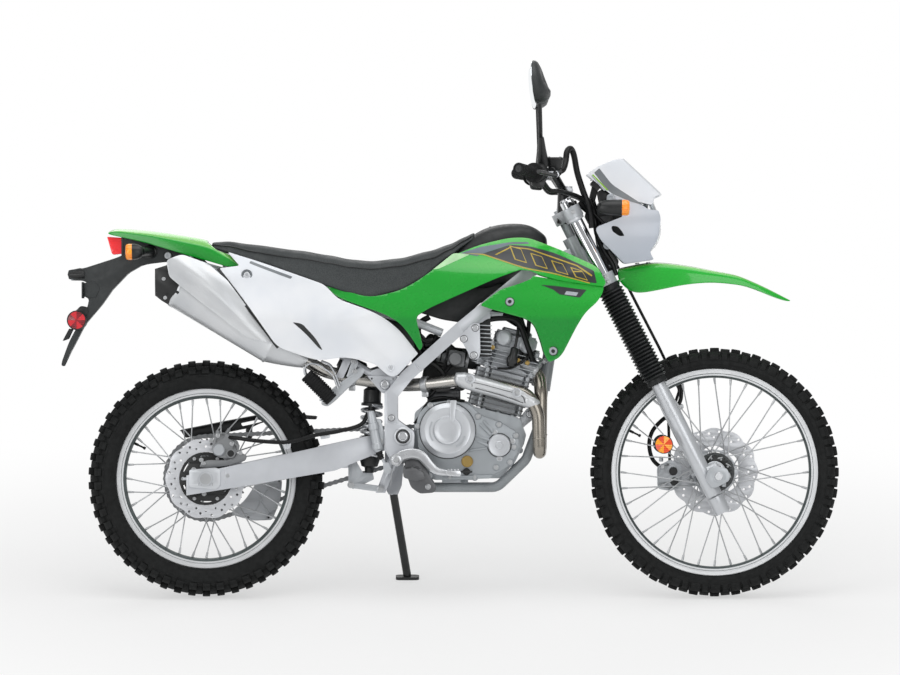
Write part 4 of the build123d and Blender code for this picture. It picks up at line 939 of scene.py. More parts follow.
sideCover = dict(
    thickness=3.0, stations=(20, 300, 600),
    levels=[(560, 160, 146, 122), (640, 164, 152, 122), (760, 164, 152, 122), (860, 130, 127, 110),
    (960, 84, 98, 90)],
    outline=[
        (58, 936, 10), (145, 909, 40), (254, 871, 40), (322, 847, 20), (345, 822, 20), (363, 806, 20),
        (444, 777, 40), (485, 756, 40), (526, 723, 40), (558, 682, 30), (575, 660, 3),
        (548, 632, 10), (520, 602, 10), (507, 597, 8), (493, 602, 10), (458, 632, 20), (431, 640, 20),
        (376, 651, 20), (335, 645, 20), (303, 642, 20), (254, 656, 30), (194, 679, 20), (105, 805, 40),
        (38, 891, 4), (92, 898, 6),
    ],
)


def coverAt(x, z):
    base = across(sideCover["levels"], sideCover["stations"], x, z)
    ridge = 735 + (x - 330) * 0.42  # a raised ridge that runs down and back to front
    fold = (z - 734) + (x - 392) * 1.02  # the crease ahead of the lower bolt
    swell = 4.5 * math.exp(-((z - ridge) / 34) ** 2) * min(1, max(0, (x - 200) / 120))
    bay = 5.5 / (1 + math.exp(-((x - 330) ** 2 / 62 ** 2 + (z - 800) ** 2 / 95 ** 2 - 1) * 3.0)) * min(1,
        max(0, (x - 230) / 90))
    return base + swell + 3.2 / (1 + math.exp(-fold / 3.5)) * min(1, max(0, (750 - z) / 40)) - 0.4 * bay


def makeUnderTank():
    # The dark underside between the tank, the spars and the shrouds.
    outline = [(575, 772, 8), (596, 802, 8), (660, 842, 20), (820, 850, 20), (862, 800, 14),
        (846, 776, 14), (790, 790, 20), (746, 800, 8), (690, 744, 6), (640, 752, 14)]
    belly = plate(outline, -58, 58, 8, 5, 3)
    piece("tank_belly", belly, "blackPlastic", "chassis")
    loops = [
        ([(590, -52, 742), (578, -58, 726), (584, -60, 700), (604, -58, 690), (622, -56, 704),
        (624, -54, 726)], 5.5),
        ([(606, -50, 760), (580, -50, 742), (570, -52, 706), (578, -54, 668), (600, -54, 640),
        (640, -52, 628)], 8.0),
        ([(630, -40, 700), (612, -44, 686), (600, -46, 660), (612, -50, 634), (640, -50, 620)], 6.5),
        ([(574, -40, 690), (590, -46, 672), (612, -44, 664), (650, -40, 672)], 9.0),
    ]
    outline = [(584, 690, 8), (606, 716, 8), (650, 700, 20), (706, 650, 8), (712, 604, 8), (690, 588, 14),
        (640, 574, 14), (604, 560, 8), (584, 590, 14), (594, 640, 14)]
    duct = plate(outline, -24, 24, 6, 7, 3)
    piece("air_duct", duct, "blackPlastic", "chassis")
    hoses = merged(*[hose(curved(path, 10), size, 14) for path, size in loops])
    piece("intake_hoses", hoses, "hoseRubber", "chassis", smooth=60)
    coil = merged(plate([(716, 742), (760, 746), (764, 726), (718, 722)], -40, 8, 5, 2),
        plate([(596, 700), (616, 704), (612, 680), (594, 678)], -62, -46, 4, 1.5))
    piece("coil_and_switch", coil, "satinBlack", "chassis")


def makeSideCovers():
    cover = panel(coverAt, sideCover["outline"], sideCover["thickness"])
    bosses = [bar((113, 76, 868), (113, 126, 868), 8), bar((501, 91.4, 623), (501, 122, 623), 8)]
    piece("side_cover_panels", bothSides(merged(cover, *bosses)), "whitePlastic", "chassis",
        "side_covers")
    slashOutline = [(236, 745), (262, 741, 10), (300, 700, 20), (318, 668, 6), (306, 676), (270, 716, 20)]
    slash = decal(coverAt, slashOutline, 0.7, 0.5, 4)
    piece("side_cover_slash", bothSides(slash), "decalBlack", "chassis", smooth=60)
    stripeOutline = [(118, 905), (150, 892, 12), (230, 862), (236, 868), (152, 899, 12), (122, 911)]
    stripe = decal(coverAt, stripeOutline, 0.6, 0.4, 3)
    piece("side_cover_stripe", bothSides(stripe), "decalGrey", "chassis", smooth=60)
    # a black strip under the cover's rear edge: its seal, and painted shadow of the gap there
    sealAndGapShadowOutline = [(30, 889), (42, 893), (112, 804), (201, 679), (194, 673), (104, 792)]
    sealAndGapShadow = panel(lambda x, z: coverAt(x, z) + 1.2, sealAndGapShadowOutline, 3.0, -1.5, 2, 0.8, 8.0)
    piece("side_cover_trim", bothSides(sealAndGapShadow), "satinBlack", "chassis", smooth=50)
    rings, heads = [], []
    for s in bothHands:
        for x, z, r in ((112, 873, 15), (501, 623, 11)):
            y = coverAt(x, z)
            rings.append(lathe([(-3, 0), (-3, r - 1), (0.6, r), (2.4, r - 1.4), (2.2, r - 4),
                (0.2, r - 5), (0.2, 0)], (x, s * y, z), (0, s, 0), 40))
            heads.append(((x, s * (y + 0.3), z), (0, s, 0), (r - 4) / 8))
    piece("side_cover_grommets", merged(*rings[0::2]), "decalGrey", "chassis", smooth=50)
    piece("side_cover_washers", merged(*rings[1::2]), "whitePlastic", "chassis", smooth=50)
    piece("side_cover_bolts", scattered(capScrew(6, 3.0, 2.6), heads), "fineAlloy", "chassis")


seat = dict(
    profile=[(14, 962, 40), (60, 965, 50), (118, 957, 70), (254, 940, 100), (335, 927, 112),
    (390, 916, 114), (450, 911, 108), (526, 919, 92), (607, 939, 78), (661, 957, 68), (700, 976, 60),
    (730, 990, 50)],
    belt=[(14, 948), (58, 936), (145, 909), (254, 871), (322, 848), (385, 828), (444, 813), (526, 832),
    (580, 861), (661, 925), (700, 955), (730, 975)],
)


def along(points, x, column=1):
    for a, b in zip(points, points[1:]):
        if a[0] <= x <= b[0]:
            t = (x - a[0]) / (b[0] - a[0])
            t = t * t * (3 - 2 * t) * 0.5 + t * 0.5
            return a[column] + (b[column] - a[column]) * t
    return points[0][column] if x < points[0][0] else points[-1][column]


def makeSeat():
    # The moulded seat: a crowned top, a piped seam and side walls that pull in to the belt line.
    rings = []
    for k in range(61):
        x = 14 + (730 - 14) * k / 60
        top, low, half = along(seat["profile"], x), along(seat["belt"], x), along(seat["profile"], x, 2)
        drop = top - low
        beltHalf = min(half + 6 + drop * 0.16, 130) if x < 600 else half + 8
        # share of the width, fall
        crown = [(0.0, 0), (0.35, 0.5), (0.62, 2.5), (0.8, 6), (0.9, 10.5), (0.96, 16)]
        edge = [(v * half, top - fall * min(1, drop / 22)) for v, fall in crown]
        walls = [
            (half + 1.2, top - min(20, drop * 0.42)), (half - 0.6, top - min(24, drop * 0.5)),
            (half + 1.0, top - min(30, drop * 0.62)),
            (half + (beltHalf - half) * 0.55, top - drop * 0.8), (beltHalf, low + 1.5),
            (beltHalf - 4, low - 3), (beltHalf - 14, low - 5), (0.3, low - 5),
        ]
        section = edge + walls
        rings.append([(x, v, z) for v, z in section] + [(x, -v, z) for v, z in reversed(section[1:])])
    shell = modified(lofted(rings), ("SUBSURF", dict(levels=1, render_levels=1)))
    top = piece("seat_cushion", shell, "seatVinyl", "chassis", "seat", smooth=70)
    piping = []
    for side in bothHands:
        line = []
        for x in range(24, 728, 8):
            top, drop = along(seat["profile"], x), along(seat["profile"], x) - along(seat["belt"], x)
            line.append((x, side * (along(seat["profile"], x, 2) + 0.6), top - min(22, drop * 0.46)))
        piping.append(hose(line, 1.6, 8))
    piece("seat_piping", merged(*piping), "satinBlack", "chassis")
    under = [(104, 930), (104, 880), (300, 826), (440, 787), (446, 812), (322, 845), (145, 905)]
    piece("seat_pan", plate(under, -69, 69, 3, 1), "blackPlastic", "chassis")


def makeTank():
    # The dark tank top between the shrouds, with its filler cap.
    stations = [(668, 62, 850, 938), (690, 72, 840, 956), (738, 84, 822, 994), (780, 86, 830, 1009),
        (830, 86, 860, 1015), (880, 76, 900, 1011), (912, 62, 930, 988), (926, 48, 944, 974)]
    rings = []
    for x, half, low, high in stations:
        middle, rise = (low + high) / 2, (high - low) / 2
        rings.append([(x, half * squared(math.cos(a), 0.62), middle + rise * squared(math.sin(a), 0.62))
            for a in turns(24)])
    shell = modified(lofted(rings), ("SUBSURF", dict(levels=2, render_levels=2)))
    piece("tank_top", shell, "blackPlastic", "chassis", "fuel_tank", smooth=60)
    cap = lathe([(0, 0), (0, 36), (8, 36), (12, 33), (13, 20), (9, 16), (9, 0)], (806, 0, 991),
        (-0.05, 0, 1), 48)
    tooth = bevelled(prism([(33, -3), (38, -3), (38, 3), (33, 3)], 1, 9, "z"), 0.8, 1)
    piece("tank_cap", cap, "satinBlack", "chassis")
    lugs = [moved(tooth, Matrix.Translation((806, 0, 996)) @ Matrix.Rotation(a, 4, "Z")) for a in turns(18)]
    piece("tank_cap_grip", merged(*lugs), "satinBlack", "chassis")


makeShrouds()
makeUnderTank()
makeSideCovers()
makeSeat()
makeTank()
print("body panels made")


# wheels
frontWheel = dict(
    name="front", centre=(wheelbase, 0, frontR), body="front_wheel", tyreR=frontR, half=40, lug=9.5,
    blocks=36,
    rimR=281, innerR=253, rimHalf=24, bead=263, hubR=24, flangeR=44, flangeY=30, low=(-56, 22),
    high=(55.9, 30), discR=120, discY=58, discT=4, carrierR=62, petals=12, disc="frontDiscSteel",
    round=22.0, skirt=33.0,
    rows=[(-10, 10, 27.4, 0.0, 1, "crown"), (12, 25, 27.4, 0.5, 1, "crown"),
    (27, 39, 30, 0.04, 1, "shoulder"), (28, 38.0, 19, 0.52, 1, "shoulder")],
)
rearWheel = dict(
    name="rear", centre=(0, 0, rearR), body="rear_wheel", tyreR=rearR, half=55, lug=12.0, blocks=50,
    rimR=244, innerR=214, rimHalf=29, bead=226, hubR=34, flangeR=52, flangeY=36, low=(-67.7, 34),
    high=(68.2, 44), discR=110, discY=-70, discT=4.5, carrierR=74, petals=10, disc="rearDiscSteel",
    round=27.0, skirt=36.0,
    rows=[(2, 20, 23, 0.0, 1, "crown"), (25, 41, 22, 0.5, 1, "crown"),
    (43, 53.5, 25, 0.04, 1, "shoulder"), (43, 53.5, 36, 0.3, 2, "bar")],
)


def flatPlate(outline, holes, thickness, bevel=0.4):
    # A flat plate with holes, in the side view about the origin, from outlines of (x, z).
    data = bpy.data.curves.new("flat", "CURVE")
    data.dimensions, data.fill_mode = "2D", "BOTH"
    data.extrude, data.bevel_depth, data.bevel_resolution = thickness / 2 - bevel, bevel, 1
    data.offset = -bevel
    for points in [outline] + holes:
        line = data.splines.new("POLY")
        line.points.add(len(points) - 1)
        for k, p in enumerate(points):
            line.points[k].co = (p[0], p[1], 0, 1)
        line.use_cyclic_u = True
    item = bpy.data.objects.new("flat", data)
    bpy.context.collection.objects.link(item)
    mesh = evaluated(item)
    mesh.transform(Matrix.Rotation(math.pi / 2, 4, "X"))
    return faced(mesh)


def circle(radius, x=0.0, z=0.0, sides=20):
    return [(x + radius * math.cos(a), z + radius * math.sin(a)) for a in turns(sides)]


def polar(radius, angle):
    return (radius * math.cos(angle), radius * math.sin(angle))


def slot(r0, r1, a0, a1, steps=6):
    # A curved slot between two radii and two angles.
    angles = [a0 + (a1 - a0) * k / steps for k in range(steps + 1)]
    return [polar(r0, a) for a in angles] + [polar(r1, a) for a in reversed(angles)]


def makeTyre(w):
    half, top = w["half"], w["tyreR"]

    def tip(y):
        return top - w["round"] * (abs(y) / half) ** 2

    def base(y):
        return tip(y) - w["lug"]

    ys = [half * v for v in (0, 0.2, 0.4, 0.6, 0.76, 0.88)]
    mid = (w["bead"] + top) / 2
    side = [(y, base(y)) for y in ys] + [
        (half * 0.93, top - 38), (half - 3.6, top - 44), (half - 3.0, mid + 3), (half - 3.2, mid - 2),
        (half - 5.5, w["rimR"] + 10), (half - 9.5, w["rimR"] + 5.2), (half - 9.9, w["rimR"] + 3.6),
        (half - 11, w["rimR"] + 3.2), (half - 11.3, w["rimR"] + 1.6),
        (w["rimHalf"] - 3.6, w["rimR"] + 1.0), (w["rimHalf"] - 4, w["bead"] + 0.4),
    ]
    inner = [(w["rimHalf"] - 14, w["bead"] + 0.4), (half - 15, mid), (half - 17, top - 40), (8, top - 28),
        (0, top - 27)]
    profile = side + inner + [(-y, r) for y, r in reversed(side[1:] + inner[:-1])]
    carcass = lathe(profile, (0, 0, 0), (0, 1, 0), 144)

    def knob(section, length):
        # A block from its section across the tyre (y, r), narrower towards its top.
        work = bmesh.new()
        rows = []
        for a in (-1, -0.55, 0.55, 1):
            row = []
            for y, r in section:
                rise = max(0.0, min(1.0, (r - (base(y) - 3)) / w["lug"]))
                angle = math.pi / 2 + a * (length / 2 - 1.6 * rise) / top
                row.append(work.verts.new((r * math.cos(angle), y, r * math.sin(angle))))
            rows.append(row)
        count = len(section)
        for one, two in zip(rows, rows[1:]):
            for k in range(count):
                work.faces.new((one[k], one[(k + 1) % count], two[(k + 1) % count], two[k]))
        work.faces.new(rows[0])
        work.faces.new(rows[-1])
        bmesh.ops.recalc_face_normals(work, faces=work.faces)
        return bevelled(asMesh("knob", work), 1.3, 2, 35)

    pitch = 2 * math.pi / w["blocks"]
    sets = []
    for low, high, length, phase, every, kind in w["rows"]:
        steps = [low + (high - low) * k / 3 for k in range(4)]
        if kind == "shoulder":
            section = [(low, base(low) - 3), (low, tip(low))] + [(y, tip(y))
                for y in steps[1:-1]] + [(high - 1.5, tip(high) + 1.5), (high + 0.6, tip(high) - 3),
                (high + 0.2, top - w["skirt"]), (high - 6, top - w["skirt"] - 2)]
        elif kind == "bar":
            section = [(high - 7, top - w["skirt"] - 1), (high - 5, top - w["skirt"] + 2),
                (high + 0.2, top - w["skirt"] - 4), (high - 1, top - w["skirt"] - 9),
                (high - 6, top - w["skirt"] - 10)]
        else:
            section = [(low, base(low) - 3)] + [(y, tip(y)) for y in steps] + [(high, base(high) - 3)]
        block = moved(knob(section, length), Matrix.Rotation(-pitch * phase, 4, "Y"))
        if low > 0:
            block = merged(block, mirroredMesh(block))
        sets.append(ringed(block, w["blocks"] // every, (0, 0, 0)))
    bands = [lathe([(y, r), (y + 0.9, r + 1.2), (y + 0.9, r - 1.2)], (0, 0, 0), (0, 1, 0), 120) for y,
        r in ((half - 3.6, mid + 4), (half - 4.4, mid - 5))]
    place = Matrix.Translation(Vector(w["centre"]))
    whole = merged(carcass, *sets, *[merged(band, mirroredMesh(band)) for band in bands])
    piece(w["name"] + "_tyre_knobbly", moved(whole, place), "tyreRubber", w["body"],
        w["name"] + "_tyre", smooth=42)


def spokeEnds(w, k):
    side = 1 if k % 2 else -1
    turn = 1 if (k // 2) % 2 else -1
    rimAngle = 2 * math.pi / 36 * k
    hubAngle = rimAngle + turn * math.radians(56)
    out = 4.65 + 1.8 if turn > 0 else -2.55 - 1.8
    hubY = side * (w["flangeY"] + 2.5 + out)
    hubR, rimR = w["flangeR"] - 5, w["innerR"] - 0.8
    return Vector((hubR * math.cos(hubAngle), hubY,
        hubR * math.sin(hubAngle))), Vector((rimR * math.cos(rimAngle), side * (5 + turn * 2),
        rimR * math.sin(rimAngle))), side, turn


def makeRim(w):
    half, lip = w["rimHalf"], w["rimR"]
    edge, well = lip - 13, w["innerR"] + 3
    outside = [(half * 0.46, edge - 4), (half * 0.94, edge), (half, edge + 1.2), (half - 0.3, lip - 6),
        (half + 0.2, lip - 4), (half + 0.2, lip - 1.2), (half - 0.7, lip), (half - 2.2, lip - 0.6),
        (half - 3, lip - 4), (half - 3, w["bead"] - 0.4), (half * 0.7, edge - 0.4)]
    flange = lathe(outside, (0, 0, 0), (0, 1, 0), 144)
    inside = [(0, well), (half * 0.2, well), (half * 0.34, well + 0.8), (half * 0.52, well + 3),
        (half * 0.7, edge - 2.4), (half * 0.955, edge - 0.2), (half * 0.9, edge + 1),
        (half * 0.6, edge + 2), (half * 0.3, well + 5), (0, well + 4)]
    middle = lathe(inside + [(-y, r) for y, r in reversed(inside[1:-1])], (0, 0, 0), (0, 1, 0), 144)
    nipples = []
    for k in range(4):
        start, end = spokeEnds(w, k)[:2]
        along = (start - end).normalized()
        nipples.append(lathe([(0, 0), (0, 3.4), (7, 3.2), (16, 2.6), (17, 0)], end - along * 3, along, 8))
    whole = ringed(merged(*nipples), 9, (0, 0, 0))
    place = Matrix.Translation(Vector(w["centre"]))
    shell = moved(merged(flange, mirroredMesh(flange)), place)
    piece(w["name"] + "_rim_shell", shell, "rimAlloy", w["body"], w["name"] + "_rim",
        smooth=32)
    # the rim's well in a darker copy of the rim's alloy: painted shade
    piece(w["name"] + "_rim_well", moved(middle, place), "paintedShadeWellAlloy", w["body"], smooth=32)
    piece(w["name"] + "_nipples", moved(whole, place), "zincSteel", w["body"])
    valve = lathe([(0, 0), (0, 4), (6, 4), (7, 2.6), (22, 2.6), (22, 3.6), (38, 3.8), (39, 0)],
        (0, 0, w["innerR"] - 30), (0, 0, 1), 14)
    turn = Matrix.Rotation(math.radians(-64), 4, "Y")
    piece(w["name"] + "_valve", moved(moved(valve, turn), place), "gripRubber", w["body"])


def makeSpokes(w):
    wires = []
    for k in range(4):
        start, end, side, turn = spokeEnds(w, k)
        inward = Vector((start.x, 0, start.z)).normalized()
        head = Vector((start.x, side * (w["flangeY"] + 2.5), start.z)) - inward * 0.5
        bend = start + (end - start).normalized() * 5
        wires.append(hose([head, start - (end - start).normalized() * 0.5, bend, bend.lerp(end, 0.5),
            end], 1.75, 8))
        outer = 1 if turn > 0 else -1
        wires.append(lathe([(0, 0), (0, 3.3), (1.2, 3.0), (2.2, 1.2), (2.2, 0)],
            (head.x, side * (w["flangeY"] + 2.5 - outer * 2.6), head.z), (0, -side * outer, 0), 10))
    whole = ringed(merged(*wires), 9, w["centre"])
    piece(w["name"] + "_spoke_set", whole, "zincSteel", w["body"], w["name"] + "_spokes")


def makeHub(w):
    half, t = w["flangeY"], 5
    low, lowR = w["low"]
    high, highR = w["high"]
    profile = [
        (low, 10.2), (low, lowR - 1), (low + 1, lowR), (-half - t - 2, lowR), (-half - t, lowR + 3),
        (-half - t, w["flangeR"] - 1), (-half - t + 1, w["flangeR"]), (-half - 1, w["flangeR"]),
        (-half, w["flangeR"] - 1),
        (-half, w["hubR"] + 9), (-half + 4, w["hubR"] + 3), (-half + 12, w["hubR"]),
        (half - 12, w["hubR"]), (half - 4, w["hubR"] + 3), (half, w["hubR"] + 9),
        (half, w["flangeR"] - 1), (half + 1, w["flangeR"]), (half + t - 1, w["flangeR"]),
        (half + t, w["flangeR"] - 1), (half + t, highR + 3), (half + t + 2, highR), (high - 1, highR),
        (high, highR - 1), (high, 10.2),
    ]
    shell = lathe(profile, (0, 0, 0), (0, 1, 0), 72)
    piece(w["name"] + "_hub_shell", moved(shell, Matrix.Translation(Vector(w["centre"]))), "castAlloy",
        w["body"], w["name"] + "_hub")


def makeDisc(w):
    outer, petals, rear = w["discR"], w["petals"], w["name"] == "rear"
    outline = [polar(outer - 6 + 6 * (0.5 + 0.5 * math.cos(a * petals)) ** 0.6, a)
        for a in turns(petals * 12)]
    middle = [polar(w["carrierR"] + 4 + 5 * (0.5 - 0.5 * math.cos(a * 6)), a) for a in turns(72)]
    holes = [circle(w["carrierR"] - 1.5, sides=72) if rear else middle]
    for k, a in enumerate(turns(petals * 2, 0.5)):
        holes.append(circle(3.4, *polar(outer - (10 if k % 2 else 15), a), 12))
        if rear or k % 2:
            holes.append(circle(2.9, *polar(outer - (26 if k % 2 else 23), a + math.pi / petals / 2), 12))
    ring = flatPlate(outline, holes, w["discT"])
    arms, armHalf = [], 0.24 if rear else 0.3  # half an arm slot's angle
    for mid in turns(6, 0.5):
        arms.append(slot(*((60, 64) if rear else (w["flangeR"] - 2, w["carrierR"] - 7)), mid - armHalf,
            mid + armHalf))
    spider = [polar(w["carrierR"] - 1 + 11 * max(0, math.cos(a * 6)) ** 3, a) for a in turns(72)]
    if rear:
        spider = circle(w["carrierR"] - 2, sides=72)
    carrier = flatPlate(spider, arms + [circle(19.5, sides=32)], w["discT"] - 0.8)
    place = Matrix.Translation(Vector(w["centre"]) + Vector((0, w["discY"], 0)))
    piece(w["name"] + "_disc_ring", moved(ring, place), w["disc"], w["body"],
        w["name"] + "_disc", smooth=30)
    piece(w["name"] + "_disc_carrier", moved(carrier, place), "satinBlack" if rear else "fineAlloy",
        w["body"])
    out = 1 if w["discY"] > 0 else -1

    def boltCircle(radius, first, sink):
        spots = [polar(radius, a + first) for a in turns(6)]
        return [((x, out * (w["discT"] / 2 - sink), z), (0, out, 0), 1.0) for x, z in spots]

    bolts = scattered(capScrew(5, 4.5 if rear else 1.9, 2.0),
        boltCircle(62 if rear else w["carrierR"] + 5, 0, 0.2))
    inner = scattered(hexBolt(9, 4), boltCircle(41 if rear else 29, 0.4, 0.4))
    plating = "zincSteel" if rear else "brassPlate"
    piece(w["name"] + "_disc_bolts", moved(merged(bolts, inner), place), plating, w["body"])


def makeToneRing():
    # The slotted ring beside the hub, dark with a paler inner plate.
    teeth, count = [], 30
    shape = ((41.5, 0.0), (41.5, 0.2), (46.5, 0.28), (46.5, 0.5), (46.5, 0.72), (41.5, 0.8))
    for a in turns(count):
        teeth += [polar(r, a + 2 * math.pi / count * share) for r, share in shape]
    ring = flatPlate(circle(52.5, sides=72), [teeth], 3.0, 0.3)
    # a black disc behind the ring, over the hub's flange, so the slots read black: painted shade
    disc = moved(flatPlate(circle(52, sides=72), [circle(30, sides=40)], 1.4, 0.2),
        Matrix.Translation((0, 2.6, 0)))
    rim = lathe([(-2.2, 51.4), (-2.2, 53.4), (2.2, 53.4), (2.2, 51.4)], (0, 0, 0), (0, 1, 0), 96)
    place = Matrix.Translation((wheelbase, -37.4, frontR))
    piece("front_tone_ring", moved(merged(ring, rim), place), "darkRing", "front_wheel")
    piece("front_tone_back", moved(disc, place), "satinBlack", "front_wheel")
    cap = lathe([(0, 0), (0, 30), (3, 30), (5, 27), (6, 18), (6, 0)], (wheelbase, -33, frontR),
        (0, -1, 0), 48)
    piece("front_hub_cap", cap, "fineAlloy", "front_wheel")


for wheel in (frontWheel, rearWheel):
    makeTyre(wheel)
    makeRim(wheel)
    makeSpokes(wheel)
    makeHub(wheel)
    makeDisc(wheel)
makeToneRing()
print("wheels made")


# chain
drive = dict(pitch=15.875, rear=113.8, front=35.67, out=(612.0, 428.0), y=71.0)


def makeChain():
    a, b = Vector((0, rearR)), Vector(drive["out"])
    span = b - a
    wrap = math.asin((drive["rear"] - drive["front"]) / span.length)
    heading = math.atan2(span.y, span.x)
    top, low = heading - wrap + math.pi / 2, heading + wrap - math.pi / 2

    def on(centre, r, angle):
        return centre + Vector((math.cos(angle), math.sin(angle))) * r

    line = [on(a, drive["rear"], top), on(b, drive["front"], top)]
    line += [on(b, drive["front"], top + (low - top) * k / 24) for k in range(1, 25)]
    line += [on(a, drive["rear"], low)]
    line += [on(a, drive["rear"], low - (2 * math.pi - (top - low)) * k / 64) for k in range(1, 65)]
    lengths = [0.0]
    for p, q in zip(line, line[1:]):
        lengths.append(lengths[-1] + (q - p).length)
    count = round(lengths[-1] / drive["pitch"] / 2) * 2
    step = lengths[-1] / count
    pins = []
    k = 0
    for n in range(count):
        s = n * step
        while lengths[k + 1] < s:
            k += 1
        t = (s - lengths[k]) / (lengths[k + 1] - lengths[k])
        pins.append(line[k].lerp(line[k + 1], t))
    half = step / 2
    outline = []
    for sign in (1, -1):
        for m in range(9):
            angle = math.pi * m / 8 if sign > 0 else math.pi + math.pi * m / 8
            outline.append((6.6 * math.cos(angle), sign * half + 6.6 * math.sin(angle)))
        outline.append((sign * -4.7, 0))

    def link(width, thick):
        made = []
        for side in (1, -1):
            low, high = sorted((side * width, side * (width + thick)))
            made.append(bevelled(prism(outline, low, high), 0.35, 1))
        return made

    def roller(z, width, radius):
        return lathe([(-width, 0), (-width, radius), (width, radius), (width, 0)], (0, 0, z), (0, 1, 0), 10)

    inner = merged(*link(3.3, 1.8), roller(half, 3.3, 5.0), roller(-half, 3.3, 5.0))
    outer = merged(*link(5.3, 1.8), roller(half, 7.9, 2.5), roller(-half, 7.9, 2.5))
    spots = [[], []]
    for n in range(count):
        p, q = pins[n], pins[(n + 1) % count]
        mid, aim = (p + q) / 2, (q - p).normalized()
        spots[n % 2].append(((mid.x, drive["y"], mid.y), (aim.x, 0, aim.y), 1.0))
    links = merged(scattered(inner, spots[0]), scattered(outer, spots[1]))
    piece("drive_chain_links", links, "chainSteel", "chassis", "drive_chain")


makeChain()
print("chain made")


# fork and front end
topClampHeight = 765.0  # of its plain solid, along the fork
topClamp = onFork(topClampHeight)
clampLift = 38.0  # how far the top clamp stands above its plain solid
bootRibs = dict(foot=284.0, top=584.0, count=27, low=28.2, high=33.6)


def makeFork():
    boots, tubes, sliders = [], [], []
    for s in bothHands:
        y = s * forkHalf
        foot, top, cuff = bootRibs["foot"], bootRibs["top"], 16
        step = (top - foot - 2 * cuff) / bootRibs["count"]
        profile = [(foot, 19.0), (foot, bootRibs["low"] - 1), (foot + 1, bootRibs["low"]),
            (foot + cuff - 3, bootRibs["low"])]
        for k in range(bootRibs["count"]):
            base = foot + cuff + step * k
            profile += [(base, bootRibs["low"] - 1), (base + step * 0.34, bootRibs["high"] - 0.9),
                (base + step * 0.5, bootRibs["high"]), (base + step * 0.66, bootRibs["high"] - 0.9)]
        profile += [(top - cuff, bootRibs["low"] - 1), (top - cuff + 3, bootRibs["low"]),
            (top - 1, bootRibs["low"]), (top, bootRibs["low"] - 1), (top, 19.0)]
        boots.append(lathe(profile, onFork(0, y), upFork, 40))
        for at in (foot + 7, top - 7):
            boots.append(lathe([(at - 4, 28.6), (at - 4, 30.4), (at + 4, 30.4), (at + 4, 28.6)],
                onFork(0, y), upFork, 40))
        tubes.append(lathe([(40, 0), (40, 18.4), (836, 18.4), (838, 17), (838, 0)], onFork(0, y), upFork, 40))
        tubes.append(lathe([(838.2, 0), (838.2, 16), (843, 16), (845, 14), (845, 6), (842, 6), (842, 0)],
            onFork(0, y), upFork, 32))
    piece("fork_gaiters", merged(*boots), "bootRubber", "steering", "fork_boots", smooth=50)
    piece("fork_chrome_tubes", merged(*tubes), "chromePlate", "steering", "fork_tubes")
    softened("fork_sliders", "fineAlloy", "steering", 2.4, 3)
    clamps = nodeMesh("fork_clamps")
    for v in clamps.vertices:
        if (v.co - onFork(0)).dot(upFork) > 700:
            v.co += upFork * clampLift
    piece("fork_clamps_cast", bevelled(clamps, 2.2, 2), "castAlloy", "steering",
        "fork_clamps")
    details, bolts = [], []
    for s in bothHands:
        y = s * forkHalf
        sliders.append(lathe([(188, 21), (188, 22.4), (200, 22.2), (250, 20.6), (300, 19.9), (300, 19)],
            onFork(0, y), upFork, 48))
        sliders.append(lathe([(-58, 20), (-60, 22.4), (-104, 22.2), (-107, 20.6), (-107, 12), (-100, 11),
            (-100, 0)], onFork(0, y), upFork, 48))
        band = [(-61.5, 21), (-61.5, 22.1), (-60.7, 22.9), (-59.3, 22.9), (-58.5, 22.1), (-58.5, 21)]
        details.append(lathe(band, onFork(0, y), upFork, 40))
        for height in (topClampHeight + clampLift, 592, 608):
            bolts.append((onFork(height, y + s * 27.5, 4), (0, s, 0), 0.9))
        for h in (-12, 12):
            bolts.append((onFork(h, y, 47 - 0.4), tuple(aheadFork), 0.8))
        bolts.append((onFork(-100, y, 0), tuple(-upFork), 1.1))
    piece("fork_slider_bands", merged(*details, *sliders), "fineAlloy", "steering")
    piece("fork_bolts", scattered(hexBolt(10, 6), bolts), "zincSteel", "steering")
    reflector = lathe([(0, 0), (0, 25), (4, 25), (7, 23.4), (7, 0)], (1240, -118.2, 414), (0, -1, 0), 48)
    stalk = plate([(1226, 398), (1254, 398), (1262, 430), (1240, 440), (1222, 430)], -118.4, -115, 5, 0.6)
    piece("side_reflector_rims", bothSides(merged(reflector, stalk)), "satinBlack", "steering")
    # alternate facets in a lighter copy of the amber: painted light and shade
    for parity, finish in enumerate(("reflexAmber", "reflexAmberLitFacets")):
        lenses = merged(*[facetedDisc(22.8, (1240, s * 124.6, 414), s, parity) for s in bothHands])
        piece("side_reflector_lenses_%d" % parity, lenses, finish, "steering", smooth=10)


cowl = dict(
    top=[(1031, 1145, 3), (1060, 1166, 10), (1102, 1184, 8), (1127, 1188, 8), (1232, 1090, 3),
    (1216, 1084, 3), (1210, 1062, 10), (1100, 1088, 12), (1096, 1092, 6)],
    body=[(1053, 1001, 14), (1129, 1031, 6), (1114, 1068, 10), (1096, 1090, 8), (1150, 1084, 20),
    (1200, 1050, 12), (1226, 1048, 4), (1233, 1028, 10), (1226, 972, 20), (1203, 935, 8), (1214, 915, 4),
    (1134, 903, 8), (1112, 925, 12), (1069, 968, 12)],
)


cowlStripes = (
    ("grey", "decalGrey", 0.9, [(1052, 1150, 2), (1066, 1162, 2), (1100, 1118, 12), (1140, 1092, 12),
    (1186, 1062, 3), (1150, 1072, 14), (1098, 1094, 12), (1080, 1112, 8)]),
    ("line", "decalLime", 1.0, [(1046, 1144), (1049, 1146), (1090, 1103), (1087, 1101)]),
    ("low", "decalPaleGrey", 0.8, [(1044, 1141), (1046, 1143), (1084, 1102), (1078, 1101)]),
)


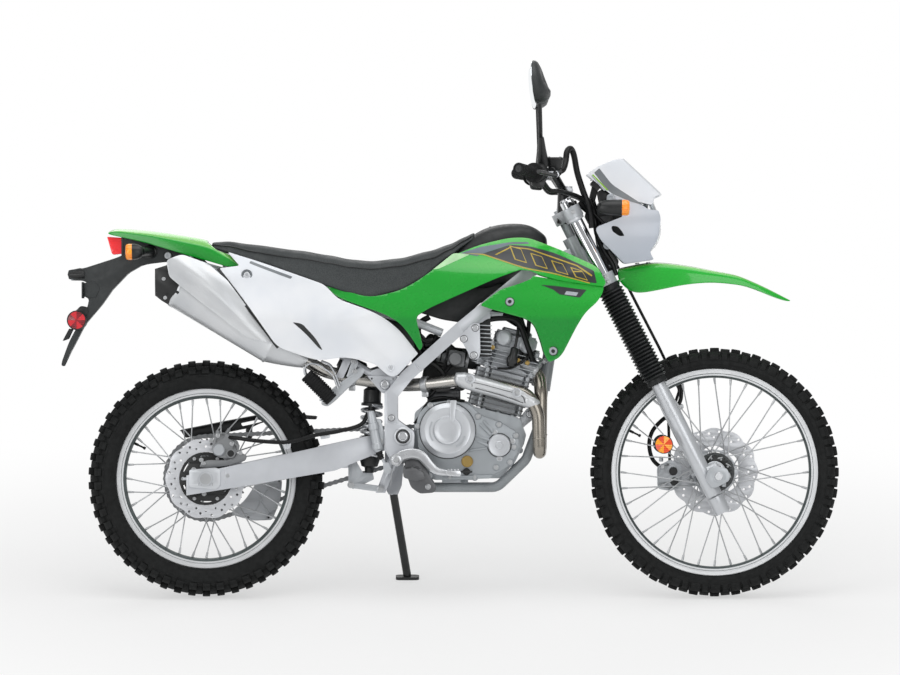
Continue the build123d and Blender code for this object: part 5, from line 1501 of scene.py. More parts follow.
def cowlAt(x, z):
    # Half the cowl's width: round in plan, narrower at its top and nose.
    nose = max(0.0, min(1.0, (x - 1020) / 220))
    base = 97 - 10 * nose - 56 * max(0.0, nose - 0.62) ** 1.5
    crown = max(0.0, (z - 1080) / 110)
    chin = max(0.0, (985 - z) / 90)
    ridge = 4.0 * math.exp(-((z - 1036 - (x - 1150) * 0.1) / 20) ** 2)
    return base - 22 * crown ** 1.4 - 15 * chin ** 1.3 + ridge


def makeCowl():
    side = panel(cowlAt, cowl["body"], 3.0, 0, 8, 1.0, 7.0)
    top = panel(cowlAt, cowl["top"], 3.0, 0.4, 6, 1.0, 7.0)
    hole = prism(rounded([(1098, 1006, 6), (1116, 1005, 8), (1128, 990, 5), (1134, 979, 3),
        (1120, 978, 5), (1100, 992, 7)], 6), -400, 400)
    side = combined(side, hole, "DIFFERENCE")

    def strip(line, lift):
        # a band bent across the nose, which joins the two sides
        rows = []
        for x, z in line:
            half = cowlAt(x, z) - 1
            row = []
            for k in range(17):
                t = -1 + 2 * k / 16
                bulge = (1 - t * t) * 12
                row.append((x + bulge * 0.5, half * t, z + bulge * 0.35 + lift))
            rows.append(row)
        return walled(openSkin(rows), 3.0, 0.8, 0.6)

    brow = strip([(1098, 1183), (1112, 1186), (1127, 1187), (1150, 1166), (1180, 1138), (1206, 1114),
        (1229, 1092)], -1)
    chin = strip([(1206, 914), (1196, 922), (1199, 934), (1206, 942)], 0)
    shade = strip([(1229, 1091), (1220, 1087), (1214, 1084)], -2)
    piece("cowl_shell", merged(bothSides(top), brow, shade), "whitePlastic", "steering",
        "headlight_cowl", smooth=45)
    piece("cowl_sides", merged(bothSides(side), chin), "coolPlastic", "steering", smooth=45)
    for name, finish, lift, points in cowlStripes:
        mesh = panel(cowlAt, points, 0.6, lift, 2, 0, 8.0)
        piece("cowl_stripe_" + name, bothSides(mesh), finish, "steering", smooth=60)
    bolts = [((1096, s * (cowlAt(1096, 1078) - 1), 1078), (0, s, 0), 1.5) for s in bothHands]
    bolts += [((1090, s * 74, 968), (0, s, 0), 1.0) for s in bothHands]
    piece("cowl_screws", scattered(capScrew(7, 5, 3), bolts), "fineAlloy", "steering")


def makeHeadlamp():
    # the lamp's clear front, bowed ahead and down
    rows = []
    low, high = 938, 1078
    for k in range(15):
        t = k / 14
        x = 1209 + 24 * math.sin(math.pi * min(1, t * 1.05) ** 0.8) + 6 * t
        half = 66 + 9 * math.sin(math.pi * t) - 3 * t
        shares = [-1 + 2 * n / 16 for n in range(17)]
        rows.append([(x - 13 * abs(u) ** 2.4, half * u, low + (high - low) * t) for u in shares])
    front = modified(openSkin(rows), ("SOLIDIFY", dict(thickness=2.5, offset=-1)))
    piece("headlamp_lens", front, "clearLens", "steering", smooth=60)
    bowl = lathe([(0, 0), (0, 14), (18, 40), (40, 58), (44, 60), (44, 62), (38, 60), (14, 42), (-4, 16),
        (-4, 0)], (1152, 0, 1012), (1, 0, -0.06), 48)
    piece("headlamp_reflector", faced(bowl), "chromePlate", "steering", smooth=60)
    bulb = lathe([(0, 0), (0, 9), (16, 9), (18, 5), (34, 5), (37, 0)], (1150, 0, 1012), (1, 0, -0.06), 24)
    piece("headlamp_bulb", bulb, "zincSteel", "steering")
    case = plate([(1104, 958), (1146, 946), (1162, 950), (1162, 1070), (1110, 1066), (1098, 1040)], -64,
        64, 10, 3)
    arms = bothSides(merged(
        plate([(topClamp.x + 28, topClamp.z + 26), (1078, 1068), (1112, 1062), (1108, 1040),
        (topClamp.x + 39, topClamp.z + 1)], 52, 58, 5, 0.8),
        plate([(1062, 1028), (1100, 1040), (1104, 1012), (1080, 1000)], 70, 76, 5, 0.8),
        bar((1100, 52, 1052), (1100, 76, 1052), 7), bar((1092, 60, 1020), (1092, 86, 1020), 6),
    ))
    piece("headlamp_case", merged(case, arms), "blackPlastic", "steering", "headlamp")


def makeMeter():
    softened("meter", "satinBlack", "steering", 3.0, 3)
    glass = bevelled(prism(rounded([(-22, -58), (22, -58), (22, 58), (-22, 58)], 8), -1.5, 1.5, "z"), 0.6)
    place = Matrix.Translation((1058, 0, 1144)) @ Matrix.Rotation(math.radians(-45), 4, "Y")
    piece("meter_glass", moved(glass, place), "mirrorGlass", "steering")


def makeFrontIndicators():
    bodies, lenses, stalks = [], [], []
    for s in bothHands:
        y = s * 146
        bodies.append(lathe([(0, 0), (1, 12), (8, 17), (30, 20.5), (62, 22), (64, 22), (64, 0)],
            (1062, y, 1056), (1, 0, -0.02), 32))
        lenses.append(lathe([(0, 0), (0, 21.5), (8, 22), (16, 21), (20, 17), (21.5, 0)],
            (1126.4, y, 1054.6), (1, 0, -0.02), 32))
        stalks.append(hose([(1082, s * 58.3, 1052), (1082, s * 80, 1052), (1084, s * 112, 1053),
            (1086, s * 140, 1054)], 8, 14, radii=[12, 9, 8, 11]))
    piece("front_indicator_bodies", merged(*bodies, *stalks), "satinBlack", "steering",
        "front_indicators", smooth=50)
    piece("front_indicator_lenses", merged(*lenses), "amberLens", "steering", smooth=50)


frontGuard = dict(
    # x, the top's z, the side's lower z, half the width
    stations=[
        (1118, 892, 862, 46), (1140, 897, 836, 50), (1167, 903, 823, 54), (1205, 909, 828, 58),
        (1245, 908, 836, 64), (1286, 903, 845, 69), (1330, 896, 851, 70), (1381, 885, 854, 67),
        (1436, 876, 848, 60), (1463, 865, 844, 55), (1504, 847, 829, 47), (1544, 827, 812, 36),
        (1572, 812, 803, 24), (1585, 805, 802, 14),
    ],
)


def makeFrontGuard():
    rings = []
    for x, top, low, half in frontGuard["stations"]:
        side = top - low
        ring = []
        for y, drop in ((-1, 1), (-1.0, 0.55), (-0.96, 0.22), (-0.84, 0.06), (-0.6, 0.1), (-0.34, 0.06),
            (0, 0), (0.34, 0.06), (0.6, 0.1), (0.84, 0.06), (0.96, 0.22), (1.0, 0.55), (1, 1)):
            ring.append((x, half * y, top - side * drop if abs(y) > 0.9 else top - min(side, 40) * drop))
        rings.append(ring)
    shell = walled(openSkin(rings, (0, 0, 1)), 3.0, 0.9, 0.7, levels=2)
    mount = bevelled(prism(rounded([(-40, -49), (40, -49), (40, 49), (-40, 49)], 10), 0, 6, "z"), 1)
    seatPlace = onFork(600 - 16 - 6.3, 0, 17)
    turn = Matrix((aheadFork, Vector((0, 1, 0)), upFork)).transposed().to_4x4()
    mount = moved(mount, Matrix.Translation(seatPlace) @ turn)
    piece("front_guard", merged(shell, mount), "greenPlastic", "steering",
        "front_fender", smooth=50)
    bolts = [((1170 + 30 * k, s * 22, 903 + 2 * k), (-0.1, 0, 1), 0.9) for k in (0, 1) for s in bothHands]
    piece("front_guard_screws", scattered(capScrew(6, 4, 2.6), bolts), "zincSteel", "steering")


makeFork()
makeCowl()
makeHeadlamp()
makeMeter()
makeFrontIndicators()
makeFrontGuard()
print("fork and front end made")


# handlebar, controls and mirrors
barClamp = topClamp + Vector((-36.3, 0, 88.7))
barRise, barKnee, barEnd = (barClamp + Vector(v) for v in ((-32, 150, 52), (-82, 290, 50), (-126, 415, 60)))
cockpit = dict(gripRibs=34, mirrorTurn=6.0)


def onSide(point, side):
    return Vector((point[0], point[1] * side, point[2]))


def onBar(inward, side):
    # A point of the handlebar, so far inward from the grip's flange.
    return onSide(barKnee + (barRise - barKnee).normalized() * inward, side)


def plateAt(spot, shape, half, radius, bevel):
    # A plate whose outline is given about a point.
    return plate([(spot.x + x, spot.z + z) for x, z in shape], spot.y - half, spot.y + half, radius, bevel)


def makeGrips():
    grips, ends = [], []
    for s in bothHands:
        start, end = onSide(barKnee, s), onSide(barEnd, s)
        along = (end - start).normalized()
        length = (end - start).length - 2
        profile = [(8, 12), (8, 26), (9.5, 27), (12, 27), (13.5, 25.5), (14, 18), (17, 16)]
        step = (length - 26) / cockpit["gripRibs"]
        for k in range(cockpit["gripRibs"]):
            base = 19 + step * k
            profile += [(base, 14.6), (base + step * 0.2, 15.8), (base + step * 0.62, 15.8),
                (base + step * 0.8, 14.6)]
        profile += [(length - 4, 16), (length + 4, 16), (length + 6, 14.5), (length + 6, 11.4)]
        grips.append(lathe(profile, start, along, 40))
        ends.append(lathe([(length + 1, 0), (length + 1, 11.2), (length + 5, 10.6), (length + 6, 8),
            (length + 5.4, 3), (length + 5, 0)], start, along, 28))
    piece("grips_ribbed", merged(*grips), "gripRubber", "steering", "grips", smooth=35)
    piece("grip_ends", merged(*ends), "satinBlack", "steering")


def makeBar():
    softened("handlebar", "blackPaint", "steering", 1.6, 2)
    parts, bolts = [], []
    for s in bothHands:
        centre = onSide(barClamp + Vector((0, 42, 0)), s)
        shape = [(-24, 2), (-22, 13), (-8, 19), (8, 19), (22, 13), (24, 2)]
        parts.append(plateAt(centre, shape, 16, 5, 1.2))
        for ahead in (-17, 17):
            for across in (-9, 9):
                bolts.append((centre + Vector((ahead, across, 14)), (0.15 * ahead / 17, 0, 1), 0.8))
    piece("bar_clamp_caps", merged(*parts), "fineAlloy", "steering")
    piece("bar_clamp_bolts", scattered(capScrew(5, 5, 2.4), bolts), "zincSteel", "steering")
    height = topClampHeight + clampLift
    nut = lathe([(0, 0), (0, 19), (3, 19), (4, 17), (4, 0)], onFork(height + 13, 0, -20), upFork, 36)
    top = lathe([(4, 0), (4, 13), (14, 13), (16, 11), (16, 0)], onFork(height + 13, 0, -20), upFork, 6)
    collar = [(0, 0), (0, 24), (2, 25), (12, 25), (14, 23.6), (14, 18.6)]
    caps = [lathe(collar, onFork(height - 24, s * forkHalf), upFork, 36) for s in bothHands]
    piece("stem_nut_and_collars", merged(nut, top, *caps), "fineAlloy", "steering")
    key = merged(bar(onFork(800, 0, 10), onFork(830, 0, 10), 17, 32, 2),
        bar(onFork(830, 0, 10), onFork(836, 0, 10), 12, 32, 1))
    piece("ignition_lock", key, "satinBlack", "steering")


def makeControls():
    black, metal, levers = [], [], []
    for s in bothHands:
        along = (onBar(10, s) - onBar(0, s)).normalized()
        case = lathe([(4, 11.4), (4, 22), (6, 25), (20, 27), (40, 25.5), (47, 22), (48, 20), (48, 11.4)],
            onBar(0, s), along, 36)
        black.append(case)
        middle = onBar(26, s)
        black.append(plateAt(middle, [(-17, -37), (15, -40), (24, -12), (12, 0), (-22, -6)], 15, 8, 3))
        for up, out in ((24, -12), (28, 2), (26, 13)):
            button = onBar(26 + out, s)
            black.append(bar(button, button + Vector((-16, 0, up)).normalized() * 30, 5.4, 20, 1.2))
        metal.append(lathe([(53, 11.4), (53, 16.4), (54.5, 17.6), (76.5, 17.6), (78, 16.4), (78, 11.4)],
            onBar(0, s), along, 36))
        hinge = onBar(62, s) + Vector((34, 0, -4))
        tip = onSide(barEnd, s) + Vector((52, -6 * s, -8))
        elbow = onBar(10, s) + Vector((52, 0, -8))
        line = smoothPath([hinge, elbow, tip], 30, 8)
        line = [Vector(a).lerp(Vector(b), t) for a, b in zip(line, line[1:])
            for t in (0, 0.34, 0.67)] + [Vector(line[-1])]
        count = len(line)
        # with a ball at the tip
        radii = [7.4 - 2.4 * k / (count - 1) for k in range(count - 3)] + [6.0, 7.2, 5.6]
        levers.append(hose(line, 6, 16, radii=radii))
        levers.append(bar(hinge + Vector((0, 0, -8)), hinge + Vector((0, 0, 8)), 10, 28, 1.5))
        metal.append(plateAt(hinge, [(-26, -6), (6, -9), (12, 0), (6, 10), (-26, 8)], 8, 4, 1))
        if s == leftSide:
            metal.append(hose([hinge + Vector((-4, -s * 8, 0)), hinge + Vector((-2, -s * 24, 0))], 5, 16))
            metal.append(bar(hinge + Vector((-2, -s * 22, 0)), hinge + Vector((-2, -s * 34, 0)), 8, 24, 1))
    lead = Vector((25, 0, 4))
    pump = bar(onBar(56, -1) + lead, onBar(112, -1) + lead, 13, 32, 2)
    foot = onBar(86, -1) + lead

    def pot(levels):
        # rounded square rings, each given by its height and how much it is grown
        return lofted([
            [foot + Vector((squared(math.cos(a), 0.5) * (21 + grow),
            squared(math.sin(a), 0.5) * (25 + grow), up)) for a in turns(40)]
            for up, grow in levels
        ])

    tank = pot(((4, -8), (8, -4), (14, -2), (30, 2), (32, 2.6)))
    lid = pot(((32.4, 3.4), (36, 3.6), (38, 1.6), (38.6, -2)))
    glass = bar(foot + Vector((-18, 0, 20)), foot + Vector((-25, 0, 20)), 6, 24, 1)
    screws = [(foot + Vector((x, y, 38.6)), (0, 0, 1), 0.7) for x,
        y in ((-15, -19), (15, 19), (-15, 19), (15, -19))]
    piece("switch_cases", merged(*black, pump, tank, lid), "satinBlack", "steering",
        "hand_controls", smooth=40)
    piece("perches_and_joints", merged(*metal), "fineAlloy", "steering")
    piece("hand_levers", merged(*levers), "satinBlack", "steering", smooth=50)
    piece("reservoir_screws", scattered(capScrew(4, 2.6, 1.8), screws), "zincSteel", "steering")
    piece("reservoir_window", glass, "clearLens", "steering")


def makeMirrors():
    # Two mirrors: a stem with a flared rubber foot and a teardrop shell round the glass.
    shells, stems, glasses = [], [], []
    for s in bothHands:
        foot = onBar(66, s) + Vector((0, 0, 17.6))
        bend = barClamp + Vector((-69, s * 300, 224))
        head = barClamp + Vector((-70, s * 330, 262))
        stems.append(hose(smoothPath([foot + Vector((0, 0, -2)), foot + Vector((-6, s * 4, 52)), bend,
            head], 40), 6, 18))
        cone = [foot + (bend - foot) * t for t in (0, 0.02, 0.12, 0.3, 0.46, 0.5)]
        stems.append(hose(cone, 10, 22, radii=[9, 17, 15, 10.5, 7.6, 6.4]))
        centre = barClamp + Vector((-79, s * 345, 292))
        turn = Matrix.Rotation(math.radians(cockpit["mirrorTurn"]) * s, 4, "Z")
        turn = Matrix.Translation(centre) @ turn @ Matrix.Rotation(math.radians(-6), 4, "Y")
        outline = [(s * y, z) for y, z in ((-66, -46), (-74, -10), (-60, 36), (-20, 60), (40, 58),
            (74, 28), (78, -18), (50, -50), (0, -60))]
        rim = rounded(outline, 30, 6)
        if s < 0:
            rim = rim[::-1]
        rings = []
        layers = ((-2, 0.965), (-5, 0.985), (-4.4, 1.0), (0, 1.01), (8, 0.99), (17, 0.93), (25, 0.8),
            (30, 0.58), (32, 0.28))
        for depth, scale in layers:
            shell = [(depth * (0.84 - 0.3 * p.y / 60), p.x * scale, p.y * scale - (1 - scale) * 16)
                for p in rim]
            rings.append(shell)
        shells.append(moved(faced(lofted(rings)), turn))
        inner = [Vector((-5.6, p.x * 0.955, p.y * 0.955)) for p in rim]
        back = [Vector((-3.0, p.x * 0.955, p.y * 0.955)) for p in rim]
        glasses.append(moved(bevelled(faced(lofted([inner, back])), 0.4, 1), turn))
        shells.append(hose([head, centre + Vector((11, -s * 6, -40)), centre + Vector((14, 0, -18))], 9,
            18, radii=[7, 9, 9]))
    piece("mirror_shells", merged(*shells), "greyBlack", "steering", smooth=50)
    piece("mirror_stems", merged(*stems), "satinBlack", "steering", "mirrors", smooth=50)
    piece("mirror_glasses", merged(*glasses), "mirrorGlass", "steering")


def makeCables():
    thick = []
    # brake hose's tall loop over the bar, then down behind the cowl
    start = onBar(112, -1) + Vector((25, 0, 4))
    loop = [start, start + Vector((14, 14, 6)), (974, -150, 1180), (978, -138, 1206), (988, -122, 1214),
        (997, -108, 1196), (1006, -98, 1150), (1022, -88, 1100), (1040, -84, 1050), (1046, -84, 1000)]
    thick.append(hose(curved(loop, 10), 8.4, 16))
    for s in bothHands:
        a = onBar(48, s)
        down = [a + Vector((8, -s * 6, -26)), a + Vector((26, -s * 40, -46)), (960, s * 190, 1098),
            (1010, s * 110, 1084), (1044, s * 64, 1056), (1054, s * 62, 1020), (1060, s * 60, 985)]
        thick.append(hose(curved(down, 10), 6.0, 12))
    harness = []
    for path, size in (
        ([(1040, -60, 1080), (1056, -58, 1030), (1060, -60, 985), (1078, -62, 940), (1100, -60, 905),
        (1112, -58, 872)], 7),
        ([(1048, 40, 1085), (1066, -20, 1020), (1072, -40, 975), (1088, -46, 930), (1098, -46, 880)], 6),
        ([(1010, -30, 1070), (1050, -30, 1040), (1092, -30, 1046), (1120, -20, 1050)], 9),
        ([(1050, -70, 1040), (1080, -78, 1010), (1096, -76, 970), (1116, -70, 930)], 4),
    ):
        harness.append(hose(curved(path, 10), size, 14))
    piece("front_harness", merged(*harness), "hoseRubber", "steering", smooth=60)
    lower = [(1052, 1000), (1074, 970), (1100, 938), (1120, 912), (1112, 880), (1094, 872), (1080, 906),
        (1062, 940)]
    upper = [(1060, 1100), (1084, 1108), (1112, 1082), (1108, 1056), (1070, 1050)]
    stay = merged(plate(lower, -50, -44, 6, 1), plate(upper, -72, -50, 8, 3))
    piece("front_stays", bothSides(stay), "satinBlack", "steering")
    knob = [(0, 0), (0, 11), (3, 12), (6, 11), (7, 7), (6, 5), (6, 0)]
    places = ((1097, cowlAt(1097, 1081) + 1, 1081), (1088, 72, 954))
    knobs = [lathe(knob, (x, s * y, z), (0, s, 0), 32) for x, y, z in places for s in bothHands]
    piece("front_stay_knobs", merged(*knobs), "decalPaleGrey", "steering")
    studs = [((x, s * 50.4, z), (0, s, 0), 1.1) for x, z in ((1100, 900), (1070, 956)) for s in bothHands]
    piece("front_stay_bolts", scattered(hexBolt(11, 5), studs), "brightSteel", "steering")
    piece("control_cables", merged(*thick), "hoseRubber", "steering", smooth=60)


makeGrips()
makeBar()
makeControls()
makeMirrors()
makeCables()
print("handlebar, controls and mirrors made")


# frame, swingarm and shock absorber
def bead(points, radius=2.6):
    # A weld bead: overlapping coins along a line.
    line = [Vector(p) for p in points]
    pitch = 3.2  # from coin to coin
    made = []
    for a, b in zip(line, line[1:]):
        count = max(1, int((b - a).length / pitch))
        for k in range(count):
            made.append(a.lerp(b, k / count))
    radii = [radius * (1.0 if k % 2 else 0.72) for k in range(len(made))]
    return hose(made, radius, 8, radii=radii) if len(made) > 2 else bar(line[0], line[-1], radius)


def holed(outline, holes, start, end, bevel=0.8):
    # A flat plate with round holes of (x, z, radius), between two stations across the machine.
    mesh = flatPlate([tuple(p) for p in outline], [circle(r, x, z) for x, z, r in holes],
        abs(end - start), bevel)
    return moved(mesh, Matrix.Translation((0, (start + end) / 2, 0)))


def makeFrame():
    softened("main_frame", "frameSilver", "chassis", 4.2, 3)
    softened("cradle", "greyPaint", "chassis", 1.0, 1)
    softened("subframe", "frameSilver", "chassis", 1.2, 2)
    softened("swingarm_bolt", "zincSteel", "chassis", 1.2, 2)
    beads, bolts, rings, plates, dark = [], [], [], [], []
    for s in bothHands:
        face = s * 116.4
        beads.append(bead([(569, face, 632), (577, face - s * 0.3, 620), (588, face, 610)]))
        beads.append(bead([(490, face, 470), (504, face, 470), (519, face, 470)]))
        # the casting's joint under the spar, and the plate that carries the pivot
        plates.append(plate([(484, 470), (521, 470), (540, 462, 12), (566, 452, 14), (564, 404, 14),
            (548, 376, 8), (500, 376, 10), (488, 402, 10)], s * 116.2, s * 118.4, 8, 1.6))
        rings.append(lathe([(0, 17), (0, 25), (2.6, 25), (4.4, 23.4), (5.2, 20), (3.4, 17)],
            (534, s * 118.6, 436), (0, s, 0), 48))
        dark.append(lathe([(0, 12), (0, 19.8), (5.5, 19), (6.4, 17.4), (6.4, 12)], (534, s * 118.6, 436),
            (0, s, 0), 48))
        bolts.append(((534, s * 126.2, 436), (0, s, 0), 1.5))
        # engine mount plate under the spar
        plates.append(holed(rounded([(686, 706, 6), (724, 744, 8), (742, 742, 6), (744, 660, 8),
            (737, 643, 8), (716, 645, 8), (708, 668, 6)], 6), [], s * 116.2, s * 119.8))
        bolts += [((x, s * 119.8, z), (0, s, 0), 1.0) for x,
            z in ((729.9, 729.5), (699, 700), (725.8, 655.7))]
        # front engine mount
        plates.append(plate([(826, 452), (846, 448), (892, 486), (884, 508), (872, 512)], s * 58, s * 64,
            5, 1))
        bolts += [((840, s * 64, 458), (0, s, 0), 1.0), ((878, s * 64, 496), (0, s, 0), 1.0)]
        # brace from the spar ahead under the tank
        brace = [(722, 748, 4), (744, 768, 8), (766, 776, 10), (806, 770, 3), (804, 760, 3),
            (776, 760, 14), (752, 748, 10), (738, 728, 4)]
        plates.append(plate(brace, s * 84 - 5, s * 84 + 5, 6, 2))
        # triangular bracket for the side cover and the stay's lower end
        plates.append(holed(rounded([(436, 600, 5), (516, 600, 5), (522, 588, 4), (494, 552, 8),
            (478, 552, 8)], 5), [(450, 592, 2.8), (508, 592, 2.8)], s * 91.4, s * 95))
        rings.append(lathe([(0, 8), (0, 13.5), (4, 13.5), (6, 12), (6, 8)], (485, s * 95, 576), (0, s, 0),
            36))
        bolts.append(((485, s * 100, 576), (0, s, 0), 1.2))
        bolts.append(((503, s * 118.4, 486), (0, s, 0), 0.9))
    piece("frame_welds", merged(*beads), "frameSilver", "chassis", smooth=60)
    piece("frame_plates", merged(*plates), "frameSilver", "chassis")
    piece("pivot_collars", merged(*rings), "fineAlloy", "chassis")
    piece("pivot_seals", merged(*dark), "satinBlack", "chassis")
    # dark plates over the frame's inner mount plates beside the cylinder head: painted shade where the head's
    # dark side shows, with fin-like ribs on them
    mesh = nodeMesh("main_frame")
    ribs, shadePlates = [], []
    for s in bothHands:
        face = 0.3 + max(v.co.y * s for v in mesh.vertices if 742 < v.co.x < 774 and 645 < v.co.z < 735)
        shadePlates.append(plate([(741, 742), (771, 752), (773, 651), (742, 651)], s * face, s * (face + 1.6),
            3, 0.6))
        for k in range(8):
            z = 659 + 11 * k
            ribs.append(plate([(738, z), (775, z - 2), (775, z + 0.6), (738, z + 2.6)], s * (face + 1.4),
                s * (face + 6), 0.8, 0.4))
    piece("mount_guards", merged(*shadePlates), "satinBlack", "chassis")
    piece("mount_guard_ribs", merged(*ribs), "castAlloy", "chassis")
    # dark rings under the frame bolts: painted shadow round each bolt head
    washers = []
    for spot, aim, size in bolts:
        washers.append(lathe([(-1, 0), (-1, 10.5 * size), (0.5, 10.5 * size), (0.5, 0)], spot, aim, 32))
    piece("frame_washers", merged(*washers), "darkSteel", "chassis")
    piece("frame_bolts", scattered(hexBolt(12, 6), bolts), "brightSteel", "chassis")


def makeSwingarm():
    softened("swingarm", "frameSilver", "chassis", 3.6, 3)
    mesh = nodeMesh("swingarm")
    ends, bolts, marks = [], [], []
    for s in bothHands:
        face = max(v.co.y * s for v in mesh.vertices if abs(v.co.x) < 60)
        y = s * (face + 0.2)
        ends.append(holed(rounded([(-44, 298, 6), (-44, 346, 6), (30, 352, 8), (40, 345, 6), (40, 304, 6),
            (30, 292, 8)], 6), [(0, rearR, 13)], y, y + s * 3.2))
        ends.append(lathe([(0, 12.6), (0, 19), (3, 19), (4, 18), (4, 12.6)], (0, y + s * 3.2, rearR),
            (0, s, 0), 40))
        ends.append(bar((-62, s * (face - 13), rearR), (-44, s * (face - 13), rearR), 4, 16, 0.5))
        ends.append(lathe([(0, 4), (0, 8), (6, 8), (6, 4)], (-52, s * (face - 13), rearR), (1, 0, 0), 6))
        for k in range(7):
            marks.append(bar((-18 + k * 6, y + s * 3.1, 303),
                (-18 + k * 6, y + s * 3.1, 307 if k % 3 else 309), 0.5, 6))
        bolts.append(((60, y - s * 0.4, 330), (0, s, 0), 0.8))
        ends.append(bead([(52, y - s * 0.6, 300), (54, y - s * 0.4, 328), (52, y - s * 0.8, 356)], 1.6))
    piece("swingarm_ends", merged(*ends), "fineAlloy", "chassis")
    piece("swingarm_marks", merged(*marks), "satinBlack", "chassis")
    piece("swingarm_bolts", scattered(hexBolt(10, 5), bolts), "zincSteel", "chassis")


def makeShock():
    head, foot = Vector((452, 0, 586.2)), Vector((442, 0, 336))
    along = (head - foot).normalized()
    length = (head - foot).length
    low, high, coils, radius = length * 0.16, length * 0.74, 7.5, 25.5
    side = Vector((0, 1, 0))
    ahead = side.cross(along)
    line = []
    for k in range(int(coils * 28) + 1):
        t = k / (coils * 28)
        angle = 2 * math.pi * coils * t
        rise = low + (high - low) * (t + 0.012 * math.sin(2 * math.pi * t))
        line.append(foot + along * rise + (side * math.cos(angle) + ahead * math.sin(angle)) * radius)
    piece("shock_spring", hose(line, 5.4, 12), "brightSteel", "chassis", smooth=60)
    body = lathe([(0, 0), (0, 12), (14, 13), (18, 22), (low - 2, 28), (low + 3, 28), (low + 5, 18),
        (length * 0.45, 18), (length * 0.46, 10), (high - 4, 10), (high - 3, 29), (high + 4, 29),
        (high + 6, 24), (length * 0.9, 24), (length * 0.93, 14), (length, 13), (length, 0)], foot, along,
        40)
    piece("shock_body", body, "satinBlack", "chassis", "rear_shock")
    bottle = bar((430, -58, 610), (362, -58, 640), 24, 32, 5)
    piece("shock_reservoir", merged(bottle, bar((366, -58, 638), (360, -58, 641), 15, 24, 1)),
        "satinBlack", "chassis")
    softened("shock_link", "castAlloy", "chassis", 2.0, 2)
    bolts = [((x, s * 34, z), (0, s, 0), 1.2) for x, z in ((392, 304), (473, 292)) for s in bothHands]
    piece("link_bolts", scattered(hexBolt(11, 6), bolts), "zincSteel", "chassis")


makeFrame()
makeSwingarm()
makeShock()
print("frame, swingarm and shock absorber made")


# engine
engineTilt = math.radians(14)
boreFoot = Vector((792, 0, 500))
boreTurn = Matrix.Translation(boreFoot) @ Matrix.Rotation(engineTilt, 4, "Y")
upBore = boreTurn.to_3x3() @ Vector((0, 0, 1))
block = dict(fin=2.4, pitch=11.5, barrelFins=9, headFins=5)


def onBore(x, y, z):
    # A point by the cylinder: ahead, to the left and up the bore.
    return boreTurn @ Vector((x, y, z))


def slab(points, low, high, bevel=0.8, radius=6):
    # A plate across the bore, from an outline of (ahead, left).
    return moved(bevelled(prism(rounded(points, radius), low, high, "z"), bevel, 1), boreTurn)


def bossAt(profile, place, axis):
    # A turned boss placed by the cylinder.
    return moved(lathe(profile, place, axis, 40), boreTurn)


def box(x0, x1, y0, y1):
    return [(x0, y0), (x1, y0), (x1, y1), (x0, y1)]


def makeCylinder():
    fins, core = [], [slab(box(-52, 52, -52, 52), 1, 112, 2, 14), slab(box(-86, -40, -40, 40), 4, 110, 2, 10)]
    for k in range(block["barrelFins"]):
        z = 6 + k * block["pitch"]
        shrink = 4 * (k % 2)
        notch = [(-95 + shrink, -50), (-69 + shrink, -60), (-69 + shrink, -75), (69 - shrink, -75),
            (69 - shrink, 75), (-69 + shrink, 75), (-69 + shrink, 60), (-95 + shrink, 50)]
        fins.append(slab(notch, z, z + block["fin"], 0.5, 12))
    for x in (-56, 56):
        for y in (-58, 58):
            core.append(moved(bar((x, y, 2), (x, y, 112), 7, 20), boreTurn))
    chamber = slab([(-30, 52), (30, 52), (26, 78), (-26, 78)], 1, 178, 3, 8)
    piece("cylinder_fins", merged(*fins), "finAlloy", "chassis")
    piece("cylinder_core", merged(*core, chamber), "castAlloy", "chassis", "cylinder")


